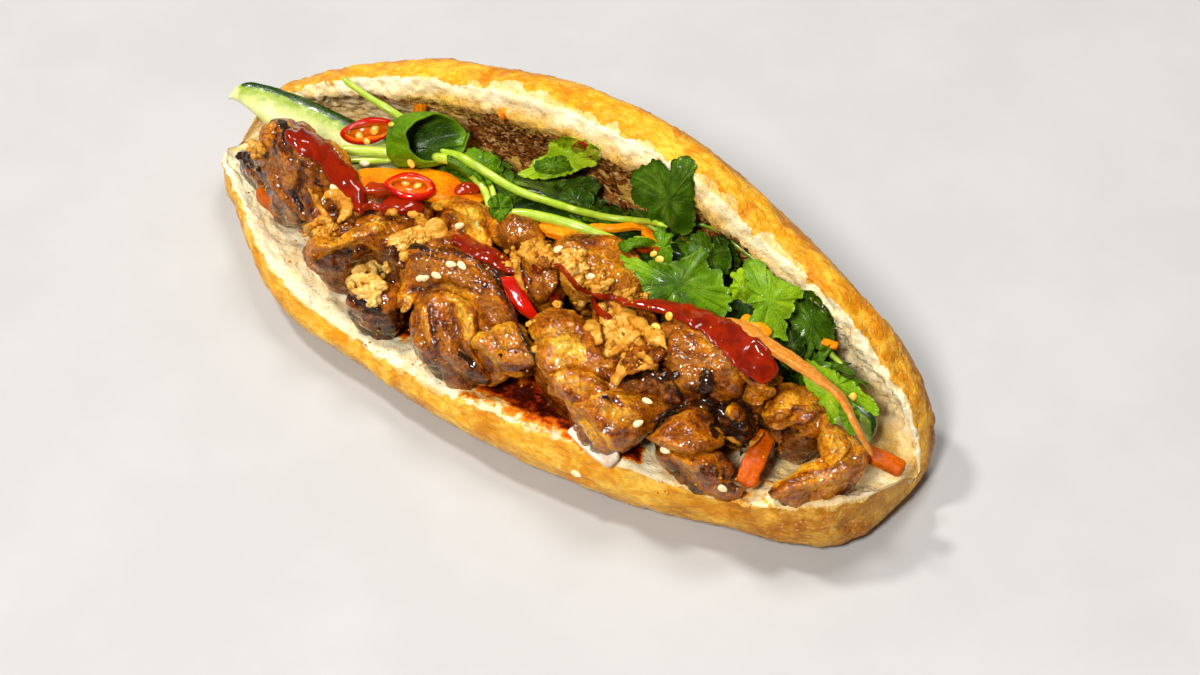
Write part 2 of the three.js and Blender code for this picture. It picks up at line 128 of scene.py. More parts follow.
def ridged(p, size, octaves=3, seed=0, gain=0.5):
    """1 on crests, 0 in the flats."""
    q = np.asarray(p, float) / size
    out, amp, tot = 0, 1.0, 0.0
    for k in range(octaves):
        out = out + amp * (1 - np.abs(vnoise(q + 11.1 * k, seed + 37 * k))) ** 2
        tot += amp
        q = q * 2.1
        amp *= gain
    return out / tot


def worley(p, size, seed=0):
    """Distances to the nearest two cell points (in cell units) and the nearest cell's number 0..1."""
    q = np.asarray(p, float) / size
    i = np.floor(q).astype(np.int64)
    f = q - i
    d1 = np.full(q.shape[:-1], 9.0)
    d2 = np.full(q.shape[:-1], 9.0)
    who = np.zeros(q.shape[:-1])
    for dx in (-1, 0, 1):
        for dy in (-1, 0, 1):
            for dz in (-1, 0, 1):
                cx, cy, cz = i[..., 0] + dx, i[..., 1] + dy, i[..., 2] + dz
                ox = dx + _hash(cx, cy, cz, seed) - f[..., 0]
                oy = dy + _hash(cx, cy, cz, seed + 1) - f[..., 1]
                oz = dz + _hash(cx, cy, cz, seed + 2) - f[..., 2]
                d = np.sqrt(ox * ox + oy * oy + oz * oz)
                near = d < d1
                d2 = np.where(near, d1, np.minimum(d2, d))
                who = np.where(near, _hash(cx, cy, cz, seed + 3), who)
                d1 = np.where(near, d, d1)
    return d1, d2, who


def curve(points, n=200, closed=False):
    """Centripetal Catmull-Rom curve through points, resampled evenly by length."""
    P = np.asarray(points, float)
    if len(P) == 2:
        P = np.array([P[0], (P[0] + P[1]) / 2, P[1]])
    ext = np.vstack([2 * P[0] - P[1], P, 2 * P[-1] - P[-2]]) if not closed else np.vstack([P[-1], P, P[0], P[1]])
    out = []
    for k in range(len(ext) - 3):
        a, b, c, d = ext[k:k + 4]
        t0 = 0.0
        t1 = t0 + max(np.linalg.norm(b - a), 1e-6) ** 0.5
        t2 = t1 + max(np.linalg.norm(c - b), 1e-6) ** 0.5
        t3 = t2 + max(np.linalg.norm(d - c), 1e-6) ** 0.5
        t = np.linspace(t1, t2, 24, endpoint=False)[:, None]
        A1 = (t1 - t) / (t1 - t0) * a + (t - t0) / (t1 - t0) * b
        A2 = (t2 - t) / (t2 - t1) * b + (t - t1) / (t2 - t1) * c
        A3 = (t3 - t) / (t3 - t2) * c + (t - t2) / (t3 - t2) * d
        B1 = (t2 - t) / (t2 - t0) * A1 + (t - t0) / (t2 - t0) * A2
        B2 = (t3 - t) / (t3 - t1) * A2 + (t - t1) / (t3 - t1) * A3
        out.append((t2 - t) / (t2 - t1) * B1 + (t - t1) / (t2 - t1) * B2)
    out.append(ext[-2][None, :] if not closed else ext[1][None, :])
    C = np.vstack(out)
    L = np.concatenate([[0], np.cumsum(np.linalg.norm(np.diff(C, axis=0), axis=1))])
    s = np.linspace(0, L[-1], n)
    return np.stack([np.interp(s, L, C[:, k]) for k in range(C.shape[1])], -1)


def closed_outline(pts, n):
    return curve(np.array(pts, float), n + 1, closed=True)[:-1]


def unit(v):
    v = np.asarray(v, float)
    return v / np.maximum(np.linalg.norm(v, axis=-1, keepdims=True), 1e-9)


def frames(C, up=(0, 0, 1.0)):
    """Tangent, side and over at each point of a curve, kept upright."""
    T = np.gradient(C, axis=0)
    T = unit(T)
    S = unit(np.cross(T, np.asarray(up, float)))
    O = np.cross(S, T)
    return T, S, O


def grid_normals(G, wrap=True):
    """Normals of a grid of points G[i, j]; j runs round and may close on itself."""
    di = np.gradient(G, axis=0)
    if wrap:
        dj = (np.roll(G, -1, axis=1) - np.roll(G, 1, axis=1)) * 0.5
    else:
        dj = np.gradient(G, axis=1)
    return unit(np.cross(di, dj))


# ------------------------------------------------------------------------------------------
# meshes
# ------------------------------------------------------------------------------------------
def grid_faces(ni, nj, wrap=True, base=0, flip=False):
    i = np.arange(ni - 1)[:, None]
    j = np.arange(nj if wrap else nj - 1)[None, :]
    a = i * nj + j
    b = i * nj + (j + 1) % nj
    c = (i + 1) * nj + (j + 1) % nj
    d = (i + 1) * nj + j
    q = np.stack([a, b, c, d] if flip else [a, d, c, b], -1).reshape(-1, 4)
    return q + base


def make(name, V, faces, mat, attrs=None, smooth=True, slot=None, stands_for=(), rides="root"):
    """faces is a list of arrays with 3 or 4 columns."""
    V = np.asarray(V, float)
    me = bpy.data.meshes.new(name)
    me.vertices.add(len(V))
    me.vertices.foreach_set("co", (V * MM).ravel().astype(np.float32))
    faces = [np.asarray(f, np.int32) for f in faces if len(f)]
    loops = np.concatenate([f.ravel() for f in faces])
    sizes = np.concatenate([np.full(len(f), f.shape[1]) for f in faces])
    starts = np.concatenate([[0], np.cumsum(sizes)[:-1]])
    me.loops.add(len(loops))
    me.loops.foreach_set("vertex_index", loops.astype(np.int32))
    me.polygons.add(len(sizes))
    me.polygons.foreach_set("loop_start", starts.astype(np.int32))
    me.update(calc_edges=True)
    for key, val in (attrs or {}).items():
        val = np.asarray(val, np.float32)
        if val.ndim == 1:
            me.attributes.new(key, "FLOAT", "POINT").data.foreach_set("value", val)
        else:
            rgba = np.ones((len(val), 4), np.float32)
            rgba[:, :val.shape[1]] = val
            me.attributes.new(key, "FLOAT_COLOR", "POINT").data.foreach_set("color", rgba.ravel())
    if smooth:
        me.polygons.foreach_set("use_smooth", np.ones(len(sizes), bool))
    me.validate()
    ob = bpy.data.objects.new(name, me)
    bpy.context.scene.collection.objects.link(ob)
    me.materials.append(mat)
    if rides:
        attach(ob, rides)
        if stands_for:
            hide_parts(*stands_for)
    return ob


class Pile:
    """Collects closed meshes that are joined into one piece."""

    def __init__(self):
        self.V, self.Q, self.T, self.A, self.n = [], [], [], {}, 0

    def add(self, V, quads=None, tris=None, **attrs):
        V = np.asarray(V, float).reshape(-1, 3)
        if quads is not None and len(quads):
            self.Q.append(np.asarray(quads) + self.n)
        if tris is not None and len(tris):
            self.T.append(np.asarray(tris) + self.n)
        self.V.append(V)
        for k, v in attrs.items():
            self.A.setdefault(k, []).append((self.n, np.broadcast_to(np.asarray(v, float), (len(V),)).copy()))
        self.n += len(V)

    def grab(self):
        V = np.vstack(self.V)
        faces = []
        if self.Q:
            faces.append(np.vstack(self.Q))
        if self.T:
            faces.append(np.vstack(self.T))
        attrs = {}
        for k, parts in self.A.items():
            a = np.zeros(len(V))
            for start, v in parts:
                a[start:start + len(v)] = v
            attrs[k] = a
        return V, faces, attrs

    def make(self, name, mat, **kw):
        V, faces, attrs = self.grab()
        return make(name, V, faces, mat, attrs, **kw)


class Forest:
    """Everything later pieces are laid on, as a few trees that grow by merging."""

    def __init__(self):
        self.parts = []

    def add(self, V, faces):
        V = np.asarray(V, float)
        F = []
        for f in faces:
            F += np.asarray(f).tolist()
        V = V.tolist()
        while self.parts and len(self.parts[-1][0]) < 1.5 * len(V):
            V0, F0, _ = self.parts.pop()
            k = len(V0)
            F = F0 + [[i + k for i in f] for f in F]
            V = V0 + V
        self.parts.append((V, F, BVHTree.FromPolygons(V, F)))

    def ray_cast(self, o, d, far):
        best = (None, None, None, None)
        for _, _, t in self.parts:
            r = t.ray_cast(o, d, far)
            if r[0] is not None:
                best = r
                far = r[3]
        return best


FOREST = Forest()


def solid(V, faces):
    """Adds a mesh to what later pieces are laid on."""
    FOREST.add(V, faces)


def tree():
    return FOREST


def hit(px, py, skip=0.0):
    """First point that the view ray through a pixel meets, and its normal."""
    d = ray(px, py)
    o = EYE + d * (skip or 600.0)
    loc, nor, _, dist = tree().ray_cast(Vector(o), Vector(d), 900.0)
    if loc is None:
        return None, None
    n = np.array(nor)
    if n @ d > 0:
        n = -n
    return np.array(loc), n


def drop(x, y, top=120.0):
    loc, nor, _, _ = tree().ray_cast(Vector((x, y, top)), Vector((0, 0, -1)), 200.0)
    if loc is None:
        return None, None
    n = np.array(nor)
    if n[2] < 0:
        n = -n
    return np.array(loc), n


# ------------------------------------------------------------------------------------------
# materials
# ------------------------------------------------------------------------------------------
def lin(c):
    """Linear colour from 0..255 display values."""
    c = np.asarray(c, float) / 255.0
    return tuple(np.where(c <= 0.04045, c / 12.92, ((c + 0.055) / 1.055) ** 2.4).tolist())


class Mat:
    def __init__(self, name):
        self.m = bpy.data.materials.new(name)
        self.m.use_nodes = True
        self.t = self.m.node_tree
        self.t.nodes.clear()
        self.out = self.node("ShaderNodeOutputMaterial")
        self.b = self.node("ShaderNodeBsdfPrincipled")
        self.t.links.new(self.b.outputs[0], self.out.inputs[0])
        tc = self.node("ShaderNodeTexCoord")
        sc = self.node("ShaderNodeVectorMath", operation="SCALE")
        sc.inputs["Scale"].default_value = 1000.0
        self.t.links.new(tc.outputs["Object"], sc.inputs[0])
        self.P = sc.outputs[0]

    def node(self, kind, **props):
        n = self.t.nodes.new(kind)
        for k, v in props.items():
            setattr(n, k, v)
        return n

    def put(self, socket, v):
        if isinstance(v, bpy.types.NodeSocket):
            self.t.links.new(v, socket)
        else:
            if hasattr(socket.default_value, "__len__") and len(socket.default_value) == 4 and len(v) == 3:
                v = (*v, 1.0)
            socket.default_value = v

    def set(self, **kw):
        for k, v in kw.items():
            self.put(self.b.inputs[k.replace("_", " ")], v)

    def attr(self, name):
        return self.node("ShaderNodeAttribute", attribute_name=name).outputs["Fac"]

    def math(self, op, a, b=0.0, c=None, clamp=False):
        n = self.node("ShaderNodeMath", operation=op, use_clamp=clamp)
        self.put(n.inputs[0], a)
        self.put(n.inputs[1], b)
        if c is not None:
            self.put(n.inputs[2], c)
        return n.outputs[0]

    def stretch(self, v, x=1.0, y=1.0, z=1.0, rot=(0, 0, 0)):
        n = self.node("ShaderNodeMapping")
        self.put(n.inputs["Vector"], v)
        n.inputs["Scale"].default_value = (x, y, z)
        n.inputs["Rotation"].default_value = rot
        return n.outputs[0]

    def noise(self, size, detail=3.0, rough=0.5, distort=0.0, v=None, out="Fac"):
        n = self.node("ShaderNodeTexNoise")
        self.put(n.inputs["Vector"], v if v is not None else self.P)
        n.inputs["Scale"].default_value = 1.0 / size
        n.inputs["Detail"].default_value = detail
        n.inputs["Roughness"].default_value = rough
        n.inputs["Distortion"].default_value = distort
        return n.outputs[out]

    def voronoi(self, size, feature="F1", v=None, out="Distance", rand=1.0):
        n = self.node("ShaderNodeTexVoronoi", feature=feature)
        self.put(n.inputs["Vector"], v if v is not None else self.P)
        n.inputs["Scale"].default_value = 1.0 / size
        n.inputs["Randomness"].default_value = rand
        return n.outputs[out]

    def range(self, v, a, b, lo=0.0, hi=1.0, smooth=True):
        n = self.node("ShaderNodeMapRange", interpolation_type="SMOOTHSTEP" if smooth else "LINEAR")
        self.put(n.inputs["Value"], v)
        n.inputs["From Min"].default_value = a
        n.inputs["From Max"].default_value = b
        n.inputs["To Min"].default_value = lo
        n.inputs["To Max"].default_value = hi
        return n.outputs[0]

    def mix(self, f, a, b, blend="MIX"):
        n = self.node("ShaderNodeMix", data_type="RGBA", blend_type=blend)
        self.put(n.inputs[0], f)
        self.put(n.inputs[6], a)
        self.put(n.inputs[7], b)
        return n.outputs[2]

    def ramp(self, f, *stops):
        n = self.node("ShaderNodeValToRGB")
        self.put(n.inputs[0], f)
        e = n.color_ramp.elements
        while len(e) < len(stops):
            e.new(0.5)
        for k, (p, c) in enumerate(stops):
            e[k].position = p
            e[k].color = (*c, 1.0) if hasattr(c, "__len__") else (c, c, c, 1.0)
        return n.outputs[0]

    def bump(self, height, dist, strength=1.0, normal=None):
        n = self.node("ShaderNodeBump")
        n.inputs["Strength"].default_value = strength
        n.inputs["Distance"].default_value = dist * MM
        self.put(n.inputs["Height"], height)
        if normal is not None:
            self.t.links.new(normal, n.inputs["Normal"])
        return n.outputs[0]


def bread_material():
    m = Mat("bread")
    crumb, gold, dark = m.attr("crumb"), m.attr("gold"), m.attr("dark")
    oil, pit, stain, speck = m.attr("oil"), m.attr("pit"), m.attr("stain"), m.attr("speck")
    P = m.P
    big = m.noise(9.0, 4.0, 0.6, 0.6)
    mid = m.noise(2.6, 4.0, 0.62, 0.8, v=m.stretch(P, 0.6, 1, 1))
    fine = m.noise(0.7, 3.0, 0.6)
    # crust
    tan = m.mix(m.range(mid, 0.35, 0.66), lin((236, 166, 36)), lin((252, 206, 84)))
    tan = m.mix(m.range(big, 0.42, 0.68), tan, lin((226, 146, 24)))
    bright = m.mix(m.range(mid, 0.38, 0.62), lin((234, 158, 14)), lin((248, 190, 58)))
    bright = m.mix(m.range(big, 0.48, 0.66, 0, 0.85), bright, lin((214, 124, 10)))
    brown = m.mix(m.range(mid, 0.36, 0.64), lin((132, 66, 8)), lin((186, 112, 22)))
    crust = m.mix(gold, tan, bright)
    crust = m.mix(m.math("MULTIPLY_ADD", m.range(big, 0.3, 0.7, -0.25, 0.25), dark, dark, clamp=True), crust, brown)
    # pale flour specks and tiny blisters in the baked ends
    dots = m.voronoi(1.5, v=m.stretch(P, 1, 1, 1))
    dots = m.math("MULTIPLY", m.range(dots, 0.34, 0.16), m.math("MULTIPLY", speck, 0.55))
    crust = m.mix(dots, crust, lin((232, 186, 120)))
    scorch = m.range(m.noise(1.3, 3.0, 0.7, v=m.stretch(P, 0.5, 1, 1)), 0.62, 0.72)
    crust = m.mix(m.math("MULTIPLY", scorch, 0.35), crust, lin((158, 84, 22)))
    # crumb; the tan mixed into the soft crumb is partly stain and partly painted shade inside the roll, and the darker
    # pores and pits are painted shade
    white = m.mix(m.range(mid, 0.3, 0.7), lin((250, 230, 180)), lin((255, 246, 214)))
    grey = m.mix(m.range(fine, 0.35, 0.65), lin((206, 152, 50)), lin((238, 194, 94)))
    soft = m.mix(m.math("MULTIPLY_ADD", m.range(big, 0.35, 0.65, -0.2, 0.2), 1.0, stain, clamp=True), white, grey)
    pore = m.range(m.voronoi(1.25, v=P), 0.34, 0.12)
    pore2 = m.range(m.voronoi(2.6, v=P), 0.3, 0.1)
    holes = m.math("MAXIMUM", m.math("MULTIPLY", pore, m.range(m.noise(4.0), 0.45, 0.62)), m.math("MULTIPLY", pore2, 0.8))
    soft = m.mix(m.math("MULTIPLY", holes, 0.22), soft, lin((214, 168, 84)))
    soft = m.mix(m.math("MULTIPLY", pit, 0.42, clamp=True), soft, lin((212, 170, 86)))
    # oil and sauce soaked into the crumb
    o = m.math("ADD", oil, m.range(m.noise(3.2, 4.0, 0.65), 0.3, 0.7, -0.28, 0.28), clamp=True)
    o = m.math("MULTIPLY", o, m.range(oil, 0.02, 0.12))
    wet = m.ramp(o, (0.0, lin((252, 226, 150))), (0.24, lin((250, 182, 44))), (0.46, lin((240, 126, 10))), (0.66, lin((206, 74, 4))), (0.84, lin((140, 34, 2))), (1.0, lin((70, 15, 2))))
    soft = m.mix(m.range(o, 0.06, 0.4), soft, wet)
    # ragged edge between crust and crumb
    edge = m.math("ADD", crumb, m.range(m.noise(1.6, 4.0, 0.6), 0.3, 0.7, -0.22, 0.22))
    k = m.range(edge, 0.42, 0.58)
    m.set(Base_Color=m.mix(k, crust, soft))
    m.set(Roughness=m.math("ADD", m.math("MULTIPLY", k, 0.36), m.math("SUBTRACT", m.range(mid, 0.3, 0.7, 0.36, 0.5), m.math("MULTIPLY", o, 0.35))))
    m.b.inputs["Specular IOR Level"].default_value = 0.18
    m.b.inputs["Subsurface Weight"].default_value = 0.12
    m.b.inputs["Subsurface Radius"].default_value = (1.0, 0.55, 0.25)
    m.b.inputs["Subsurface Scale"].default_value = 1.2 * MM
    flake = m.voronoi(2.4, feature="DISTANCE_TO_EDGE", v=m.stretch(P, 0.55, 1, 1))
    hc = m.math("ADD", m.math("MULTIPLY", mid, 0.7), m.math("MULTIPLY", m.range(flake, 0.0, 0.12), 0.25))
    hb = m.math("SUBTRACT", m.math("ADD", m.math("MULTIPLY", fine, 0.55), m.math("MULTIPLY", mid, 0.8)), m.math("MULTIPLY", holes, 0.45))
    h = m.node("ShaderNodeMix", data_type="FLOAT")
    m.put(h.inputs[0], k)
    m.put(h.inputs[2], hc)
    m.put(h.inputs[3], hb)
    m.set(Normal=m.bump(h.outputs[0], 0.55, 0.9))
    return m.m


# ------------------------------------------------------------------------------------------
# bread
# ------------------------------------------------------------------------------------------
LOWER_TIP = np.array([7.3, 8.5])
UPPER_TIP = np.array([8.8, 6.7])
SECTION = np.array([
    [-42.8, 25.5, 0], [-44.5, 16.5, 0], [-42.5, 8.0, 0], [-38.0, 2.6, 0], [-30.0, 0.3, 0], [-14.0, 0.0, 0],
    [8.0, 0.0, 0], [22.0, 0.3, 0.05], [32.0, 2.6, 0.3], [39.5, 9.0, 0.65], [44.0, 18.0, 0.9], [46.5, 30.0, 1],
    [46.5, 42.0, 1], [44.5, 54.0, 1], [40.5, 64.0, 1], [35.0, 69.6, 1], [30.0, 70.6, 1], [23.0, 70.1, 1],
    [20.6, 63.5, 1], [24.3, 58.4, 1], [28.5, 51.0, 1], [31.5, 40.0, 1], [31.0, 31.0, 0.95], [28.0, 22.5, 0.7],
    [21.0, 17.0, 0.35], [10.0, 14.5, 0.1], [-4.0, 14.5, 0], [-18.0, 18.0, 0], [-30.0, 22.5, 0], [-38.5, 26.0, 0]])
PROFILE = np.array([
    [-118, 0.05, 0.19, 0.2, 0.2, 0.05], [-112, 0.23, 0.6, 0.44, 0.5, 0.28], [-102, 0.38, 0.82, 0.53, 0.66, 0.43],
    [-88, 0.59, 0.94, 0.565, 0.76, 0.575], [-66, 0.86, 0.99, 0.65, 0.91, 0.755], [-36, 0.96, 1, 0.5, 0.95, 0.94],
    [0, 1.045, 1, 0.63, 1.03, 1.035], [36, 1.03, 1, 0.83, 0.935, 1.03], [66, 0.925, 0.99, 0.68, 0.85, 0.835],
    [90, 0.78, 0.945, 0.585, 0.67, 0.73], [106, 0.68, 0.82, 0.79, 0.66, 0.5], [116, 0.5, 0.61, 0.815, 0.505, 0.33],
    [121, 0.245, 0.36, 0.62, 0.35, 0.14], [122.5, 0.05, 0.19, 0.45, 0.22, 0.08]])
FRONT_RIM, UPPER_RIM = 0.0, 17.0


def profile(x):
    X, Y = PROFILE[:, 0], PROFILE[:, 1:]
    d = np.diff(X)
    r = np.diff(Y, axis=0) / d[:, None]
    s = np.zeros_like(Y)
    s[0], s[-1] = r[0], r[-1]
    s[1:-1] = (r[:-1] * d[1:, None] + r[1:] * d[:-1, None]) / (d[:-1] + d[1:])[:, None]
    k = np.clip(np.searchsorted(X, x, side="right") - 1, 0, len(X) - 2)
    t = ((x - X[k]) / d[k])[..., None]
    h = d[k][..., None]
    v = (2 * t ** 3 - 3 * t ** 2 + 1) * Y[k] + (t ** 3 - 2 * t ** 2 + t) * h * s[k] + (-2 * t ** 3 + 3 * t ** 2) * Y[k + 1] + (t ** 3 - t ** 2) * h * s[k + 1]
    v[..., 1] = np.minimum(v[..., 1], 1.0)
    return v


def section_samples(n_out, n_in):
    """Smooth closed section, from the front rim under and up the back to the upper rim, then inside."""
    def chain(idx, n, weight):
        pts = np.array([[*SECTION[k % 30], k] for k in idx], float)
        C = curve(pts * np.array([1, 1, 8.0, 0.6]), 900) / np.array([1, 1, 8.0, 0.6])
        L = np.concatenate([[0], np.cumsum(np.linalg.norm(np.diff(C[:, :2], axis=0), axis=1))])
        w = weight(C[:, 3])
        W = np.concatenate([[0], np.cumsum((w[1:] + w[:-1]) / 2 * np.diff(L))])
        s = np.interp(np.linspace(0, W[-1], n, endpoint=False), W, np.arange(len(C)))
        return np.stack([np.interp(s, np.arange(len(C)), C[:, k]) for k in range(4)], -1), L[-1]
    out, _ = chain(range(0, 18), n_out, lambda u: np.where(u < 4, 1.9, np.where(u > 13.5, 1.9, np.where((u > 4.5) & (u < 7.5), 0.45, 1.0))))
    inn, _ = chain(range(17, 31), n_in, lambda u: np.where((u > 22.5) & (u < 26.5), 0.5, 1.25))
    return np.vstack([out, inn])


def place_section(x, S):
    """Points of section samples S = [y, z, share, u] at stations x."""
    f = profile(x)[:, None, :]
    y, z, sh = S[None, :, 0], S[None, :, 1], S[None, :, 2]
    ly = LOWER_TIP[0] + (y - LOWER_TIP[0]) * f[..., 0]
    lz = LOWER_TIP[1] + (z - LOWER_TIP[1]) * np.where(z < LOWER_TIP[1], f[..., 1], f[..., 2])
    uy = UPPER_TIP[0] + (y - UPPER_TIP[0]) * f[..., 3]
    uz = UPPER_TIP[1] + (z - UPPER_TIP[1]) * f[..., 4]
    Y = ly * (1 - sh) + uy * sh
    Z = lz * (1 - sh) + uz * sh
    X = np.broadcast_to(x[:, None], Y.shape)
    return np.stack([X, Y, Z], -1) + SHIFT


def seg_dist(P, pts):
    """Distance from points P[..., 3] to a polyline."""
    best = np.full(P.shape[:-1], 1e9)
    for a, b in zip(pts[:-1], pts[1:]):
        ab = b - a
        t = np.clip(((P - a) @ ab) / max(ab @ ab, 1e-9), 0, 1)
        best = np.minimum(best, np.linalg.norm(P - (a + t[..., None] * ab), axis=-1))
    return best


def px_line(q, pts):
    """Distance in picture units from points q[..., 2] to a polyline."""
    best = np.full(q.shape[:-1], 1e9)
    pts = np.array(pts, float)
    for a, b in zip(pts[:-1], pts[1:]):
        ab = b - a
        t = np.clip(((q - a) @ ab) / max(ab @ ab, 1e-9), 0, 1)
        best = np.minimum(best, np.linalg.norm(q - (a + t[..., None] * ab), axis=-1))
    return best


def build_bread(mat):
    NX, NO, NI = ((304, 112, 126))
    q = np.linspace(0, 1, NX)
    th = -np.cos(np.pi * q)
    uni = 2 * q - 1
    w = 0.42
    xs = w * th + (1 - w) * uni
    x = np.where(xs < 0, xs * 118.0, xs * 122.5)
    S = section_samples(NO, NI)
    G = place_section(x, S)
    N = -grid_normals(G)
    # outward check at the back of the roll
    jb = NO // 2 + NO // 5
    if N[NX // 2, jb, 1] < 0:
        N = -N
    u = np.broadcast_to(S[None, :, 3], G.shape[:2])
    inner = (u >= UPPER_RIM)
    # lengths along the surface from each rim
    dl = np.linalg.norm(np.roll(G, -1, axis=1) - G, axis=-1)
    cum = np.cumsum(dl, axis=1) - dl
    tot = dl.sum(axis=1, keepdims=True)
    j0 = NO
    s_up = np.minimum(np.abs(cum - cum[:, j0:j0 + 1]), tot - np.abs(cum - cum[:, j0:j0 + 1]))
    s_fr = np.minimum(cum, tot - cum)
    sign = np.where(inner, 1.0, -1.0)
    d_up, d_fr = s_up * sign, s_fr * sign  # positive on the crumb side
    d = np.where(s_up < s_fr, d_up, d_fr)
    upper = s_up < s_fr
    X = G[..., 0]
    wob = fbm(G, 7.0, 4, 3) * 2.0 + fbm(G, 2.4, 3, 8) * 1.3
    # torn places along the upper rim where white crumb folds over the crust
    tear = np.zeros_like(X)
    for px, py, r, k in ((330, 88, 16, 1.2), (378, 92, 12, 1.5), (448, 80, 9, 1.5), (482, 94, 9, 2.2), (512, 96, 16, 5.5), (545, 108, 16, 4.5), (580, 121, 13, 3.0),
                         (612, 138, 12, 1.5), (640, 152, 12, 2.5), (700, 186, 13, 4.0), (722, 205, 12, 3.5), (760, 245, 14, 3.0), (790, 268, 12, 2.5), (836, 318, 12, 1.5)):
        zc = np.interp(at_z(px, py, 66)[0], [-110, -60, 0, 40, 70, 100, 122], [20, 52, 72, 71, 60, 48, 25])
        c = at_z(px, py, zc)
        tear = np.maximum(tear, k * np.exp(-((X - c[0]) / (r * 0.42)) ** 2))
    edge = d + wob * np.where(upper, 1.0, 0.8) + np.where(upper, tear, 0)
    crumb = sm(-0.9, 0.9, edge)
    # ---- relief
    crust_h = 0.45 * fbm(G, 16.0, 3, 11) + 0.28 * fbm(G * np.array([0.6, 1, 1]), 5.0, 3, 12)
    f1, f2, who = worley(G * np.array([0.5, 1, 1]) + 0.8 * fbm(G, 3.0, 2, 5)[..., None], 5.5, 21)
    plate = (who - 0.5) * 0.55 * sm(0.02, 0.10, f2 - f1)
    crust_h = crust_h + plate * 1.1 + 0.17 * fbm(G, 1.6, 3, 14)
    # long shallow wrinkles over the back and the baked ends
    crust_h = crust_h + 0.35 * sm(6, 10, u) * (1 - sm(15, 17, u)) * (ridged(G * np.array([0.18, 1, 1]), 6.0, 2, 44) - 0.6)
    g1, g2, gw = worley(G, 3.6, 31)
    h1, h2, hw = worley(G, 1.9, 33)
    k1, _, kw = worley(G, 6.5, 35)
    open_r = sm(70, 100, X) * sm(20, 23, u)  # broad open crumb at the right end of the upper half
    ledge = sm(25.2, 26.6, u)
    wall = (1 - sm(22.5, 24.5, u)) * inner
    pits = np.maximum(sm(0.52, 0.2, g1) * sm(0.35, 0.6, gw), (0.25 + 0.5 * sm(50, 90, X)) * sm(0.5, 0.2, h1) * sm(0.3, 0.5, hw))
    pits = np.maximum(pits, open_r * sm(0.5, 0.22, k1) * sm(0.5, 0.7, kw) * 1.3)
    depth = 0.26 + 0.14 * wall + 1.1 * np.clip(wall * sm(60, 92, X), 0, 1)
    depth = np.where(ledge > 0.5, 0.34 + 0.3 * sm(0.1, 0.6, fbm(G, 14, 2, 71)), depth)
    crumb_h = 0.9 * fbm(G, 11.0, 3, 51) + 0.42 * fbm(G, 3.4, 3, 52) + 0.22 * fbm(G, 1.2, 2, 53) - depth * pits
    crumb_h = crumb_h + wall * (0.8 * (ridged(G, 2.2, 3, 61) - 0.55) + 0.5 * fbm(G, 1.6, 2, 62))
    crumb_h = crumb_h * (0.35 + 0.65 * sm(0.0, 4.0, np.abs(d)))
    h = crust_h * (1 - crumb) + crumb_h * crumb
    # the rims are ragged: short torn tongues and notches, plus a thin curled lip of crust
    rag = np.exp(-(d / 2.2) ** 2)
    h = h + rag * (0.9 * fbm(G, 3.2, 3, 81) + 0.45 * (ridged(G * np.array([1, .6, .6]), 2.2, 2, 82) - 0.5))
    h = h + np.where(upper, tear, 0) * 0.28 * np.exp(-((d + 1.5) / 3.2) ** 2)
    taper = sm(0.0, 9.0, X - (G[0, 0, 0])) * sm(0.0, 5.0, G[-1, 0, 0] - X)
    V = G + N * (h * (0.25 + 0.75 * taper))[..., None]
    # rim tongues move up and down a little as well
    V[..., 2] += rag * np.where(upper, 0.55, 0.45) * fbm(G, 4.5, 3, 91) * taper
    V[..., 2] = np.where((u > 3.2) & (u < 8.5), np.maximum(V[..., 2], 0.0), V[..., 2])
    V[..., 2] = np.maximum(V[..., 2], 0.0)
    # ---- masks
    gold = sm(10.5, 14.2, u) * (1 - inner) * (1 - sm(84, 116, X) * 0.35)
    # the extra gold on the front face of the lower crust, fading towards the right end, is painted light
    gold = gold + (1 - sm(1.2, 3.4, u)) * (1 - inner) * 0.18 * (1 - sm(60, 100, X))
    back = sm(7.2, 9.5, u) * (1 - sm(13.4, 15.6, u)) * (1 - inner)
    dark = 0.62 * back + 0.12
    # the crust darkens towards the right end, most on the front of the lower half: painted shade where it turns away
    # from the light
    dark = dark + ((0.06 + 0.5 * sm(6.0, 3.0, u)) * sm(58, 104, X) + 0.2 * sm(-92, -112, X)) * (1 - inner)
    dark = dark + 0.35 * sm(3.4, 4.4, u) * (1 - sm(7.0, 8.0, u))
    dark = np.clip(dark + 0.22 * fbm(G, 12, 3, 95), 0, 1)
    # pale flour specks on the crust at the right end and over the back
    speck = sm(84, 104, X) * (1 - inner) + 0.3 * back
